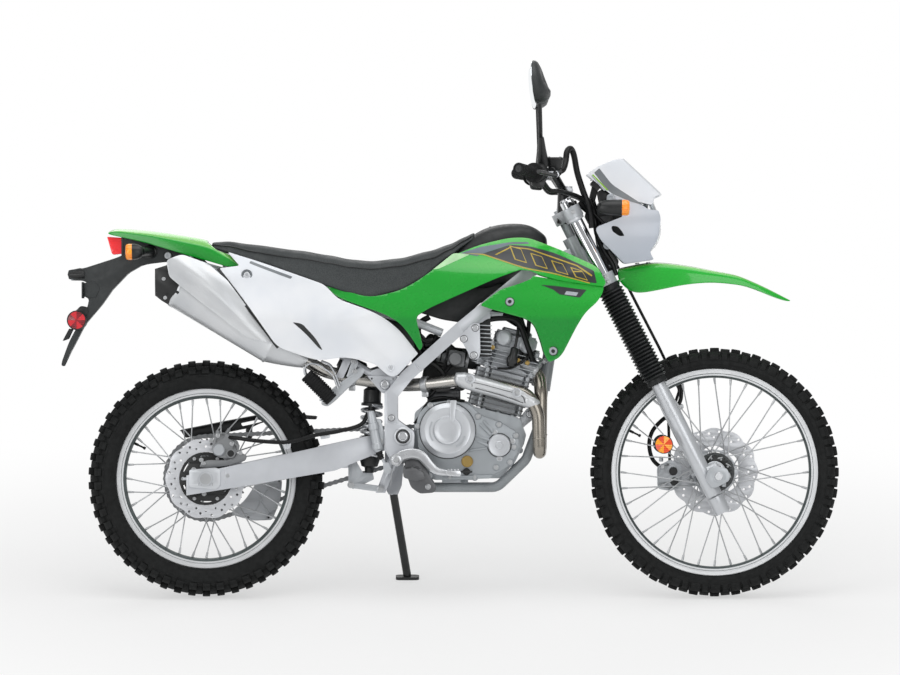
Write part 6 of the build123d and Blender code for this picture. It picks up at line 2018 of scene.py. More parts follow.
def makeHead():
    parts, fins, bolts, brass = [slab(box(-56, 56, -58, 58), 112.3, 180, 2, 14),
        slab(box(-94, -40, -44, 44), 114, 172, 2, 10)], [], [], []
    for k in range(block["headFins"]):
        z = 118 + k * block["pitch"]
        fins.append(slab([(-104, -54), (-75, -60), (-75, -79), (75, -79), (75, 79), (-75, 79), (-75, 60),
            (-104, 54)], z, z + block["fin"], 0.5, 12))
    # top cover with its own long fins and round bosses
    parts.append(slab([(-60, -58), (52, -58), (58, -30), (58, 30), (52, 58), (-60, 58)], 178, 214, 3, 16))
    for k in range(4):
        z = 182 + k * 9.5
        fins.append(slab([(-62, -66 + k * 2), (54 - 3 * k, -66 + k * 2), (60 - 3 * k, 66 - k * 2),
            (-62, 66 - k * 2)], z, z + 2.2, 0.5, 10))
    parts.append(slab([(-44, -44), (36, -44), (40, 0), (36, 44), (-44, 44)], 213, 230, 4, 16))
    for y in (-1, 1):
        parts.append(bossAt([(0, 0), (0, 22), (3, 24), (9, 24), (12, 21), (14, 12), (14, 0)],
            (34, y * 59, 196), (0, y, 0.15)))
        parts.append(bossAt([(0, 0), (0, 20), (3, 22), (8, 22), (11, 19), (12, 11), (12, 0)],
            (-34, y * 59, 200), (0, y, 0.15)))
        for x, z in ((-62, 174), (62, 174), (-62, 118), (62, 118)):
            parts.append(moved(bar((x, y * 60, z - 6), (x, y * 60, z + 8), 9, 24, 1), boreTurn))
            bolts.append((onBore(x, y * 60, z + 8), upBore, 1.2))
        for x in (-50, 0, 46):
            bolts.append((onBore(x, y * 52, 214), upBore, 1.0))
        brass += [(onBore(x, y * 79.5, z), (0, y, 0), 0.9) for x, z in ((-58, 168), (18, 150), (44, 150))]
    # spark plug and its cap, on the right
    plug = [moved(bar((2, -60, 138), (2, -92, 146), 13, 28, 2), boreTurn)]
    cap = merged(
        moved(bar((2, -78, 142), (2, -106, 150), 15, 32, 4), boreTurn),
        moved(bar((2, -98, 128), (2, -98, 182), 11, 28, 3), boreTurn),
        hose(curved([onBore(2, -98, 176), onBore(0, -96, 214), onBore(-6, -70, 246),
        onBore(-20, -30, 262)], 10), 4.2, 12),
    )
    start = Vector((903, -44, 610))  # where the header leaves the port
    along = (start - Vector((855, -38, 632))).normalized()
    flange = [lathe([(0, 20), (0, 30), (6, 32), (9, 32), (9, 20)], start - along * 12, along, 40)]
    flange.append(bar(start - along * 50, start - along, 25, 40, 1))
    side = along.orthogonal().normalized()
    for angle in (0.6, 3.74):
        spot = start - along * 4 + (side * math.cos(angle) + along.cross(side) * math.sin(angle)) * 33
        flange.append(bar(spot - along * 14, spot + along * 12, 4, 16))
        flange.append(lathe([(0, 0), (0, 8.5), (8, 8.5), (8, 0)], spot, along, 6))
    piece("head_fins", merged(*fins), "castAlloy", "chassis")
    piece("head_body", merged(*parts, *plug), "castAlloy", "chassis", "cylinder_head")
    piece("spark_cap", cap, "satinBlack", "chassis", smooth=50)
    piece("port_flange", merged(*flange), "zincSteel", "chassis")
    piece("head_bolts", scattered(hexBolt(11, 6), bolts), "zincSteel", "chassis")
    piece("head_brass_bolts", scattered(hexBolt(10, 5), brass), "brassPlate", "chassis")


caseBolts = [(608.5, 519), (574, 463), (607, 330.5), (661.5, 325), (728.6, 325), (786.3, 352),
    (737.9, 490), (794, 468), (834.6, 407), (840, 438), (658.4, 526), (590, 360), (824, 366)]
leftBolts = [(704, 500), (744, 498), (800, 476), (850, 446), (852, 396), (828, 360), (790, 340), (706, 340)]


def makeCase():
    softened("crankcase", "caseAlloy", "chassis", 3.0, 2)
    parts, bolts = [], []
    # the right cover's rim, standing out from the case
    outline = [(570, 462, 20), (576, 500, 20), (606, 526, 18), (660, 534, 20), (716, 524, 18),
        (740, 496, 14), (800, 474, 20), (846, 446, 18), (850, 404, 22), (826, 358, 18), (790, 336, 16),
        (730, 318, 10), (606, 318, 20), (580, 356, 20)]
    parts.append(plate(outline, -98, -89, 14, 2.2, 2, 5))
    for x, z in caseBolts:
        parts.append(lathe([(0, 0), (0, 9.5), (8, 9.5), (10, 8.4), (10, 0)], (x, -90, z), (0, -1, 0), 28))
        bolts.append(((x, -100, z), (0, -1, 0), 0.95))
    # ribs between the two covers
    for x0, z0, x1, z1 in ((737, 424, 766, 410), (742, 470, 772, 440), (752, 478, 780, 446),
        (730, 440, 772, 424), (714.5, 398, 762, 404)):
        rib = [(x0 - 2, z0 - 3), (x0 + 2, z0 + 3), (x1 + 2, z1 + 3), (x1 - 2, z1 - 3)]
        parts.append(bevelled(prism(rib, -103, -97), 1.4, 2))
    # sump ridge, neck under the barrel and the front boss
    parts.append(plate([(640, 318), (770, 322), (778, 332), (640, 328)], -102, -97, 3, 1.4))
    parts.append(moved(bevelled(prism(rounded(box(-50, 50, -66, 60), 14), -40, 1, "z"), 2.2, 2), boreTurn))
    for y in (-60, 54):
        for x in (-40, 0, 40):
            parts.append(moved(bar((x, y, -34), (x, y, 4), 8, 24, 1.5), boreTurn))
    window = lathe([(0, 0), (0, 16), (4, 16), (5, 15), (5, 13.4), (4.2, 12.6), (4.2, 0)], (708, -98, 368),
        (0, -1, 0), 36)
    drain = bar((700, 0, 322), (700, 0, 308), 11, 6, 1.5)
    # left case bolts and the cover over the front sprocket
    left = [lathe([(0, 0), (0, 8.5), (6, 8.5), (8, 7.4), (8, 0)], (x, 73, z), (0, 1, 0), 28) for x,
        z in leftBolts]
    bolts += [((x, 81, z), (0, 1, 0), 0.9) for x, z in leftBolts]
    guard = plate([(626, 508), (688, 504), (690, 452), (676, 420), (640, 416), (600, 436), (592, 480)],
        82.5, 88, 14, 2)
    guardPosts = [bar((x, 55, z), (x, 84, z), 6, 20) for x, z in ((680, 496), (684, 428))]
    piece("case_cover", merged(*parts, drain), "caseAlloy", "chassis")
    piece("case_left_details", merged(*left, *guardPosts), "castAlloy", "chassis")
    piece("sprocket_guard", guard, "blackPlastic", "chassis")
    piece("case_bolts", scattered(hexBolt(10, 5.5), bolts), "zincSteel", "chassis")
    piece("oil_window", window, "brassPlate", "chassis")
    stem = lathe([(0, 0), (0, 10), (3, 10), (5, 8), (5, 6), (9, 6), (10, 5), (10, 0)], (706, -99, 340),
        (0, -1, 0.1), 28)
    filler = merged(stem, plate([(690, 337), (722, 337), (722, 343), (690, 343)], -112, -106, 2.5, 1))
    drums = ((600, 690, 20, 3), (608, 614, 21.4, 1), (672, 680, 21.4, 1))
    starter = [bar((rear, -14, 546), (ahead, -14, 546), radius, 40, bevel) for rear, ahead, radius,
        bevel in drums]
    piece("starter_motor", merged(*starter), "darkSteel", "chassis")
    piece("oil_filler", filler, "satinBlack", "chassis")


def makeCovers():
    clutchCover = lathe([(0, 0), (0, 76), (4, 77.4), (6, 77.4), (8, 75.5), (19, 75), (22, 74), (29, 64),
        (30.2, 62), (28.6, 58.5), (28.2, 40), (29.8, 38), (31.5, 36.8), (31.8, 35), (30.6, 33), (30, 20),
        (30, 0)], (655, -90.3, 452), (0, -1, 0), 96)
    groove = plate([(662, 534), (680, 534), (674, 478), (668, 474), (662, 478)], -124, -116, 4, 2)
    arcs = [slot(46, 50, math.radians(a0), math.radians(a1), 14) for a0, a1 in ((150, 215), (-62, -18))]
    arch = merged(*[prism([(655 + x, 452 + z) for x, z in arc], -120.4, -117) for arc in arcs])
    clutchCover = merged(clutchCover, groove)
    rib = lathe([(0, 0), (0, 31), (2, 33.5), (6, 33.5), (8, 31), (16, 30), (18, 27.6), (17.4, 25),
        (17, 11.5), (18, 10.4), (18.6, 9), (17.6, 7.8), (17.4, 0)], (795, -90.3, 412), (0, -1, 0), 72)
    lugs, bolts = [], []
    for x, z in ((783, 446.5), (795.6, 376.5), (830.6, 423)):
        lugs.append(plate([(x - 8, z - 8), (x + 8, z - 8), (x + 8, z + 8), (x - 8, z + 8)], -100, -90.3,
            7.5, 1.4))
        bolts.append(((x, -100, z), (0, -1, 0), 0.9))
    generator = lathe([(0, 0), (0, 66), (4, 68), (7, 66.4), (24, 65), (30, 56), (29, 52), (27.4, 30),
        (28.6, 27), (30, 24), (29.6, 12), (29.6, 0)], (775, 74.3, 420), (0, 1, 0), 96)
    ears = []
    for k in range(6):
        a = math.radians(60 * k + 15)
        x, z = 775 + 69 * math.cos(a), 420 + 69 * math.sin(a)
        ears.append(lathe([(0, 0), (0, 9), (12, 9), (14, 7.6), (14, 0)], (x, 74.3, z), (0, 1, 0), 28))
        bolts.append(((x, 88.3, z), (0, 1, 0), 0.9))
    piece("clutch_cover", clutchCover, "fineAlloy", "chassis", "engine_covers", smooth=34)
    piece("clutch_cover_arcs", arch, "castAlloy", "chassis")
    piece("filter_cover", merged(rib, *lugs), "fineAlloy", "chassis", smooth=34)
    piece("generator_cover", merged(generator, *ears), "fineAlloy", "chassis", smooth=34)
    # dark rings at the covers' edges: their gaskets, and painted shadow in the seams
    gasketAndSeamShadowRings = []
    for x, z, r in ((655, 452, 75.6), (795, 412, 31.4)):
        gasketAndSeamShadowRings.append(lathe([(0, r), (0, r + 1.6), (3, r + 1.6), (3, r)], (x, -97.8, z), (0, -1, 0), 96))
    piece("cover_gaskets", merged(*gasketAndSeamShadowRings), "satinBlack", "chassis")
    piece("cover_bolts", scattered(hexBolt(10, 5.5), bolts), "zincSteel", "chassis")


def makeIntake():
    softened("air_box", "blackPlastic", "chassis", 5.0, 3)
    body = lathe([(0, 0), (0, 30), (10, 31), (12, 27), (50, 27), (52, 31), (62, 31), (64, 26), (64, 0)],
        (640, 0, 655), (0.98, 0, -0.2), 40)
    way = Vector((0.98, 0, -0.2))  # along the throttle body
    clamps = [lathe([(0, 27), (0, 31.5), (8, 31.5), (8, 27)], Vector((628, 0, 657)) + way * d, way, 40)
        for d in (0, 78)]
    side = [bar((676, -58, 646), (676, 58, 646), 19, 32, 3),
        plate([(652, 628), (700, 622), (704, 664), (660, 672)], -46, 46, 8, 3)]
    bowl = lathe([(0, 0), (0, 22), (22, 24), (26, 30), (34, 30), (34, 0)], (676, 0, 600), (0.2, 0, 0.98), 40)
    hoses = [hose(curved(path, steps), radius, sides) for radius, sides, steps, path in (
        (5, 12, 10, [(676, -40, 640), (640, -70, 600), (620, -66, 560), (600, -60, 540)]),
        (7, 14, 10, [(560, -58, 640), (600, -76, 640), (640, -72, 610), (650, -64, 560)]),
        (7.5, 14, 12, [(730, -70, 690), (748, -86, 742), (800, -86, 756), (846, -84, 744),
        (872, -84, 680), (886, -84, 640)]),
        (5, 12, 10, [(700, -50, 530), (640, -70, 540), (604, -72, 528), (580, -70, 490), (566, -70, 470)]),
        (6, 12, 10, [(846, -60, 640), (870, -66, 700), (880, -60, 780), (900, -50, 850)]),
        (3.2, 10, 10, [(790, -86, 620), (830, -90, 622), (868, -86, 648), (894, -80, 668)]),
        (9.5, 16, 12, [(716, -30, 742), (742, -60, 764), (790, -64, 776), (836, -60, 760),
        (866, -56, 716), (880, -50, 668)]),
        (7, 14, 10, [(846, -30, 790), (858, -40, 740), (876, -44, 700), (890, -40, 640)]),
        (11, 16, 10, [(700, 20, 700), (740, 10, 748), (800, 0, 764), (850, 0, 740)]),
    )]
    small = [
        plate([(598, 494), (634, 500), (630, 524), (600, 520)], -82, -58, 5, 2),
        plate([(622, 556), (664, 560), (660, 586), (626, 584)], -84, -50, 6, 3),
        bar((690, -70, 576), (690, -88, 576), 17, 32, 3),
        plate([(842, 632), (872, 620), (880, 690), (852, 700)], -62, 62, 10, 4),
    ]
    piece("throttle_body", merged(body, *side, bowl), "finAlloy", "chassis")
    piece("intake_clamps", merged(*clamps), "zincSteel", "chassis")
    piece("engine_hoses", merged(*hoses), "hoseRubber", "chassis", smooth=60)
    piece("engine_fittings", merged(*small), "satinBlack", "chassis")


makeCylinder()
makeHead()
makeCase()
makeCovers()
makeIntake()
print("engine made")


# exhaust
canFront, canRear = Vector((262, -98, 646)), Vector((-72, -112, 846))
canAlong = (canRear - canFront).normalized()
canUp = (Vector((0, 0, 1)) - canAlong * canAlong.z).normalized()
canLength = (canRear - canFront).length
silencer = dict(halfWidth=44.0, halfHeight=62.0, capLeft=-136.0)


def canRing(along, width, height):
    centre = canFront + canAlong * along
    return [centre + Vector((0, math.cos(a) * width, 0)) + canUp * math.sin(a) * height for a in turns(64)]


def canSpot(x, z):
    # How far along the silencer and how far above its axis a point of the side view is.
    flat = Vector((x - canFront.x, 0, z - canFront.z))
    return flat.dot(canAlong), flat.dot(canUp)


def shieldAt(x, z):
    s, v = canSpot(x, z)
    axis = 98 + 14 * max(0, min(1, s / canLength))
    taper = max(0.62, min(1.0, 0.62 + s / 240))
    share = max(0.0, 1 - (v / (silencer["halfHeight"] * taper + 1)) ** 2)
    overCan = silencer["halfWidth"] * taper * math.sqrt(share) + 4.5
    overTop = 50 * taper * math.sqrt(max(0.03, 1 - ((v - 22) / 76) ** 2))
    crease = (z - 896) + (x + 39) * 0.86 + max(0, x - 3) * 0.2
    fold = 4.5 / (1 + math.exp(crease / 4.0))
    return axis + max(overCan, overTop) + fold


def makeExhaust():
    line = smoothPath([(868, -36, 622), (888, -40, 614), (904, -58, 596), (908, -82, 556),
        (907, -86, 480), (906, -88, 394), (903, -124, 392), (900, -126, 500), (872, -124, 550),
        (790, -118, 572), (690, -112, 588), (610, -78, 578), (540, -50, 574), (400, -52, 592),
        (318, -88, 613), (268, -97, 643)], 22, 10)
    piece("header_pipe", hose(line, 17.5, 28), "exhaustSteel", "chassis", "exhaust_pipe",
        smooth=60)
    bands, bolts, beads = [], [], []
    for a, b in (((603, -75, 577), (585, -66, 576)), ((404, -52, 592), (388, -56, 594))):
        a, b = Vector(a), Vector(b)
        bands.append(lathe([(0, 17), (0, 21), (1.4, 22.4), (16, 22.4), (17.4, 21), (17.4, 17)], a, b - a, 48))
        middle = (a + b) / 2
        bands.append(plateAt(middle, [(-9, -34), (9, -34), (9, -19), (-9, -19)], 6, 3, 1))
        bolts.append(((middle.x, middle.y - 6, middle.z - 28), (0, -1, 0), 0.9))
    for spot, way in (((906.5, -87, 440), (0, 0, 1)), ((902, -124.6, 430), (0, 0, 1)),
        ((700, -112.6, 586.5), (1, 0, -0.15)), ((500, -50.6, 580), (1, 0, -0.2))):
        beads.append(lathe([(-2.2, 17), (-1.6, 18.4), (0, 19), (1.6, 18.4), (2.2, 17)], spot, way, 40))
    piece("pipe_bands", merged(*bands), "zincSteel", "chassis")
    piece("pipe_welds", merged(*beads), "exhaustSteel", "chassis", smooth=60)
    # silencer can with its rolled joint, and the cone ahead of it
    rings = [canRing(s, w, h) for s, w, h in ((-14, 21, 21), (-8, 23, 23.5), (4, 26, 29), (30, 33, 40),
        (60, 39.5, 51.5), (84, 42.6, 59.6), (86, 44.4, 62.2), (89, 45.2, 63.2), (92, 44.6, 62.4),
        (94, 43.8, 61.6), (canLength - 16, 44, 62), (canLength - 14, 45.2, 63.2),
        (canLength - 4, 45.2, 63.2), (canLength - 2, 44, 62), (canLength, 42, 60))]
    piece("silencer_can", lofted(rings), "silencerSteel", "chassis", "muffler", smooth=34)
    piece("silencer_cap", tailCap(), "satinBlack", "chassis", "muffler_cap", smooth=24)
    outlet = bar(canRear + canAlong * 26 + canUp * -4, canRear + canAlong * 58 + canUp * -4, 15, 32, 2)
    piece("silencer_outlet", outlet, "darkSteel", "chassis")
    bolts += [((-108.3, -112 - 39.5, 811), (0, -1, 0.2), 0.7), ((-112, -112 - 44, 862), (0, -1, 0), 0.7)]
    shield = panel(shieldAt, [(-105, 913, 10), (-63, 929, 12), (8, 903, 14), (60, 858, 10), (189, 685, 6),
        (113, 702, 12), (-71, 846, 12), (-97, 868, 8)], 2.0, 0, 8, 0.7, 6.0)
    piece("silencer_shield", mirroredMesh(shield), "silencerSteel", "chassis", smooth=32)
    piece("header_shield", headerShield(), "silencerSteel", "chassis", "exhaust_shields",
        smooth=40)
    washers = [lathe([(0, 0), (0, 13.5), (1.6, 13.5), (3, 12.4), (3.4, 9), (2.4, 8.4), (2.4, 0)],
        (x, y, z), (0, -1, 0.12), 44) for x, y, z in ((716.4, -142.2, 591.3), (842.8, -147.2, 554.3))]
    bolts += [((716.4, -144, 591.3), (0, -1, 0.12), 1.1), ((842.8, -149, 554.3), (0, -1, 0.12), 1.1)]
    piece("shield_washers", merged(*washers), "fineAlloy", "chassis")
    piece("exhaust_bolts", scattered(hexBolt(10, 5), bolts), "zincSteel", "chassis")
    hangers = merged(
        plate([(52, 900), (82, 892), (70, 830), (58, 826)], -62, -66, 5, 1),
        bar((64, -60, 838), (64, -84, 838), 9, 24, 1.5),
        plate([(376, 652), (398, 650), (372, 592), (352, 596)], -96, -92, 5, 1),
        bar((362, -96, 602), (362, -70, 600), 8, 24, 1),
    )
    piece("silencer_hangers", hangers, "frameSilver", "chassis")


def tailCap():
    # The tail cap: an eight-sided shell round the can, cut upright at its end.
    rings = []
    for s, grow in ((canLength - 14, 1.6), (canLength - 11, 2.6), (canLength + 18, 2.4),
        (canLength + 74, -5), (canLength + 77, -9), (canLength + 60, -26), (canLength + 40, -30)):
        ring = []
        for a in turns(32, 0.5):
            c, d = math.cos(a), math.sin(a)
            size = 0.94 / max(abs(c), abs(d), (abs(c) + abs(d)) * 0.72)
            wide, high = silencer["halfWidth"] + grow, silencer["halfHeight"] + grow
            ring.append(canFront + canAlong * s + Vector((0, c * size * wide, 0)) + canUp * d * size * high)
        rings.append(ring)
    shell = faced(lofted(rings))
    behind = prism([(-400, 600), (silencer["capLeft"], 600), (silencer["capLeft"], 1100), (-400, 1100)],
        -300, 60)
    above = prism([(-400, 905), (-136, 889), (-105, 899), (-60, 960), (-400, 1100)], -300, 60)
    shell = combined(combined(shell, behind, "DIFFERENCE"), above, "DIFFERENCE")
    return bevelled(shell, 1.6, 2, 24)


def headerShield():
    # The guard over the header: a half tube that follows the pipe, with a pressed slot.
    upper = [(672.8, 597.5), (678, 608.5), (703, 610), (738, 599.6), (785, 587), (832, 574.6),
        (863, 566.3), (890, 547.6), (904.6, 530), (906.3, 518)]
    lower = [(670.9, 590), (676, 578), (690, 568), (738, 553.5), (783, 541.3), (815, 531), (845.5, 521),
        (872, 512.6), (889, 509.4), (905.6, 516)]

    def at(points, t):
        f = t * (len(points) - 1)
        k = min(int(f), len(points) - 2)
        return Vector(points[k]).lerp(Vector(points[k + 1]), f - k)

    def spot(t, u):
        a, b = at(lower, t), at(upper, t)
        p = (a + b) / 2 + (b - a) / 2 * math.sin(u * math.pi / 2)
        return Vector((p.x, -121 - 4 * t - 21 * math.cos(u * math.pi / 2) * min(1.0, (b - a).length / 34),
            p.y))

    # dark lines round the pressed slot: painted shade along its edges
    slotShadeLines = []
    for path in ([(0.29, -0.3), (0.31, 0.06), (0.5, 0.1), (0.66, 0.08), (0.73, -0.34)],
        [(0.31, -0.36), (0.5, -0.34), (0.71, -0.4)]):
        slotShadeLines.append(hose(curved([spot(t, u) + Vector((0, -0.2, 0)) for t, u in path], 10), 1.1, 8))
    piece("header_shield_creases", merged(*slotShadeLines), "darkSteel", "chassis", smooth=60)
    rows = []
    for t in (i / 60 for i in range(61)):
        row = []
        for u in (-1 + 2 * j / 20 for j in range(21)):
            inSlot = 0.3 < t < 0.72 and abs(u + 0.14) < 0.2
            row.append(spot(t, u) + Vector((0, 3.6 if inSlot else 0, 0)))
        rows.append(row)
    return walled(openSkin(rows, (0, -1, 0)), 1.8, 0.7, 0.9)


makeExhaust()
print("exhaust made")


# tail: green end piece, black under-tail, lamps
tail = dict(plateHoles=(52, 832))


def makeRearGuard():
    # The green tail piece: a crowned roof with two creases and turned-down sides.
    stations = [(-265, 990, 984, 50), (-252, 997, 980, 56), (-235, 998.6, 977, 60), (-195, 996, 968, 66),
        (-153, 993, 958, 71), (-100, 986, 942, 77), (-45, 977, 925, 83), (10, 968, 910, 88),
        (34, 952, 902, 90), (58, 934, 896, 92), (76, 917, 894, 93), (92, 899, 895, 94)]
    rows = []
    for x, top, low, half in stations:
        side = top - low
        row = []
        for y, drop in ((-0.99, 1.0), (-1.0, 0.72), (-1.0, 0.42), (-0.97, 0.3), (-0.86, 0.2),
            (-0.62, 0.02), (-0.5, 0.0), (-0.3, 0.03), (0, 0.0), (0.3, 0.03), (0.5, 0.0), (0.62, 0.02),
            (0.86, 0.2), (0.97, 0.3), (1.0, 0.42), (1.0, 0.72), (0.99, 1.0)):
            row.append((x, half * y, top - side * drop))
        rows.append(row)
    shell = walled(openSkin(rows, (0, 0, 1)), 3.0, 0.9, 0.7, levels=2)
    # the seat's tail sits in a notch
    notch = prism([(4, 962), (30, 940), (70, 926), (160, 940), (160, 1020), (16, 1020)], -84, 84)
    shell = combined(shell, notch, "DIFFERENCE")
    piece("rear_guard", shell, "greenPlastic", "chassis", "rear_fender", smooth=50)


def makeUnderTail():
    outline = [(-60, 974, 3), (-153, 989, 10), (-216, 990, 5), (-222, 972, 3), (-222, 930, 6),
        (-240, 921, 10), (-330, 892, 10), (-372, 887, 6), (-377, 874, 8), (-370, 861, 6), (-332, 857, 6),
        (-320, 850, 4), (-332, 845, 4), (-332, 816, 4), (-318, 808, 6), (-322, 786, 10),
        (-372, 692, 14), (-391, 640, 8), (-393, 628, 4), (-386, 625, 3), (-361, 678, 20), (-331, 736, 20),
        (-285, 790, 24), (-258, 830, 30), (-214, 877, 30), (-175, 901, 24), (-112, 909, 10),
        (-66, 905, 6), (14, 893, 4)]

    def at(x, z):
        # Half the under-tail's width: full at the tail, narrower down the flap.
        flap = max(0.0, min(1.0, (870 - z) / 230)) * max(0.0, min(1.0, (-230 - x) / 60))
        reach = max(0.0, min(1.0, (-225 - x) / 90))
        ridge = 2.2 * math.exp(-((z - 880 - (x + 250) * 0.62) / 9) ** 2) * (1 if x < -150 else 0.3)
        return 46 - 6 * flap - 8 * reach * (1 - flap) + ridge

    def bridge(line, thickness=3.0):
        # A skin across the two sides, along a line of the outline.
        rows = [[(x, at(x, z) * u * 0.99, z) for u in (-1, -0.8, -0.4, 0, 0.4, 0.8, 1)] for x, z in line]
        return walled(openSkin(rows), thickness, 0.8, 0.7, 0)

    side = panel(at, outline, 4.0, 0, 6, 1.2, 7.0)
    spine = [(-60, 908), (-112, 912), (-170, 904), (-212, 880), (-256, 834), (-284, 794), (-330, 740),
        (-360, 682), (-390, 628)]
    crown = [(-222, 928), (-240, 919), (-330, 890), (-372, 885), (-375, 874), (-368, 863), (-332, 859)]
    top = [(-60, 968), (-153, 985), (-216, 986), (-220, 972), (-220, 932)]
    across, height = tail["plateHoles"]
    corners = rounded([(-60, -22), (60, -22), (60, 22), (-60, 22)], 6)
    bracket = flatPlate(corners, [circle(3.25, -across, 0), circle(3.25, across, 0)], 4.0, 0.5)
    bracket = moved(bracket, Matrix.Translation((-335.5, 0, height)) @ Matrix.Rotation(math.pi / 2, 4, "Z"))
    box = plate([(-333, 851, 3), (-300, 858, 3), (-288, 836, 4), (-300, 812, 4), (-333, 814, 3)], -43, 43,
        3, 1.2)
    piece("under_tail", merged(bothSides(side), bridge(spine, 4), bridge(crown), bridge(top), bracket,
        box), "greyBlack", "chassis", "mudguard", smooth=40)
    handle = bothSides(hose([(-372, 27, 873.5), (-352, 31, 874), (-330, 33, 875)], 13, 24,
        radii=[11.8, 12.4, 12.4]))
    lamp = plate([(-372, 886), (-340, 893), (-332, 880), (-340, 862), (-372, 862)], -26, 26, 5, 2)
    piece("plate_lamp", merged(handle, lamp), "satinBlack", "chassis")
    window = plate([(-368, 861.6), (-344, 861.6), (-344, 858), (-368, 858)], -20, 20, 1, 0.8)
    piece("plate_lamp_lens", window, "clearLens", "chassis")
    screws = [((-103.6, s * 47.5, 926), (0, s, 0), 1.5) for s in bothHands]
    piece("tail_bolts", scattered(capScrew(6.4, 4.5, 2.8), screws), "fineAlloy", "chassis")
    rims, stems = [], []
    for s in bothHands:
        rims.append(lathe([(0, 0), (0, 26), (7, 26.6), (11, 26.6), (13, 25.4), (13, 23.6), (11, 23.4),
            (11, 0)], (-351, s * 45, 750.5), (0, s, 0), 56))
        stems.append(plate([(-358, 772), (-340, 790), (-322, 786), (-320, 770), (-338, 752), (-356, 752)],
            s * 36, s * 44, 6, 1.5))
        stems.append(plate([(-390, 694), (-372, 728), (-362, 726), (-374, 700)], s * 30, s * 40, 2, 1))
    piece("rear_reflector_rims", merged(*rims, *stems), "satinBlack", "chassis")
    # alternate facets in a darker copy of the red: painted light and shade
    for parity, finish in enumerate(("reflexRed", "reflexRedShadedFacets")):
        lenses = [facetedDisc(23.4, (-351, s * 56.2, 750.5), s, parity) for s in bothHands]
        piece("rear_reflector_lenses_%d" % parity, merged(*lenses), finish, "chassis", smooth=10)


def makeTailLamps():
    red = plate([(-269, 977, 3), (-226, 974, 3), (-226, 931, 4), (-252, 928, 6), (-256, 932, 4)], -43, 43,
        3, 3.2, 3)
    piece("tail_lamp_lens", red, "redLens", "chassis", "tail_lamp", smooth=50)
    base = plate([(-230, 980), (-221, 980), (-221, 925), (-230, 925)], -46, 46, 3, 1.4)
    piece("tail_lamp_base", base, "satinBlack", "chassis")
    bodies, lenses = [], []
    for s in bothHands:
        y = s * 112
        bodies.append(lathe([(0, 0), (1, 10), (6, 16), (16, 20.5), (26, 22), (31, 22), (31, 0)],
            (-168, y, 936.0), (-1, 0, -0.02), 36))
        bodies.append(hose([(-152, s * 46.2, 936), (-154, s * 66, 936), (-164, s * 96, 936),
            (-176, s * 108, 936)], 10, 20, radii=[15, 12, 11, 14]))
        bodies.append(lathe([(0, 0), (0, 19), (4, 19), (7, 15), (7, 0)], (-152, s * 46.2, 936), (0, s, 0),
            36))
        lenses.append(lathe([(0, 0), (0, 21.8), (9, 22), (14, 21), (17, 17), (18, 0)], (-199.2, y, 935.4),
            (-1, 0, -0.02), 36))
    piece("rear_indicator_bodies", merged(*bodies), "satinBlack", "chassis",
        "rear_indicators", smooth=50)
    piece("rear_indicator_lenses", merged(*lenses), "amberLens", "chassis", smooth=50)


makeRearGuard()
makeUnderTail()
makeTailLamps()
print("tail made")


# brakes, pegs, levers, chain guard and stand
def makeFrontBrake():
    softened("front_caliper", "castAlloy", "steering", 3.0, 3)
    parts, pads, bolts = [], [], []
    # the finger side faces the right, inside the fork leg
    parts.append(plate([(1226, 292), (1224, 352), (1246, 364), (1284, 362), (1294, 330), (1288, 296),
        (1262, 286)], 38, 44, 10, 2.4))
    for x, z in ((1269, 340), (1272, 312)):
        pads.append(bar((x, 44, z), (x, 33, z), 11.5, 32, 1.6))
        pads.append(bar((x, 80, z), (x, 92, z), 14, 32, 2))
    parts.append(plate([(1292, 372), (1310, 392), (1324, 384), (1330, 340), (1318, 296), (1296, 292),
        (1300, 336)], 67, 75, 7, 2))
    for x, z in ((1240, 352), (1240, 300), (1312, 376), (1318, 312)):
        bolts.append(((x, 42.0, z), (0, -1, 0), 1.0))
        bolts.append(((x, 84.2 if x < 1300 else 75, z), (0, 1, 0), 1.0))
    parts.append(bar((1262, 82, 340), (1262, 96, 340), 9.5, 24, 1))
    parts.append(bar((1236, 52, 366), (1236, 52, 376), 6, 6, 0.8))
    piece("front_caliper_details", merged(*parts), "castAlloy", "steering")
    piece("front_caliper_pistons", merged(*pads), "satinBlack", "steering")
    piece("front_caliper_bolts", scattered(hexBolt(11, 6), bolts), "zincSteel", "steering")

    # the brake hose: its plain shape up to the cowl, a loop beside the fork and a clip
    top = 1010
    lower = nodeMesh("front_brake_hose")
    work = bmesh.new()
    work.from_mesh(lower)
    bmesh.ops.delete(work, geom=[v for v in work.verts if v.co.z > top], context="VERTS")
    work.to_mesh(lower)
    piece("front_brake_hose_lower", lower, "hoseRubber", "steering", "front_brake_hose", smooth=60)
    loop = curved([(1262, 100, 342), (1240, 112, 348), (1214, 122, 372), (1205, 128, 412),
        (1214, 130, 448), (1240, 130, 478), (1270, 128, 500), (1292, 128, 540), (1284, 128, 600),
        (1256, 124, 650)], 10)
    piece("front_hose_loop", hose(loop, 5.6, 16), "hoseRubber", "steering", smooth=60)
    clips = [lathe([(0, 4), (0, 8.5), (8, 8.5), (8, 4)], (1272, 127.5, 503), (0.5, 0, 0.8), 28),
        plate([(1262, 506), (1280, 500), (1300, 512), (1296, 524)], 112, 122, 4, 1)]
    piece("front_hose_clips", merged(*clips), "zincSteel", "steering")


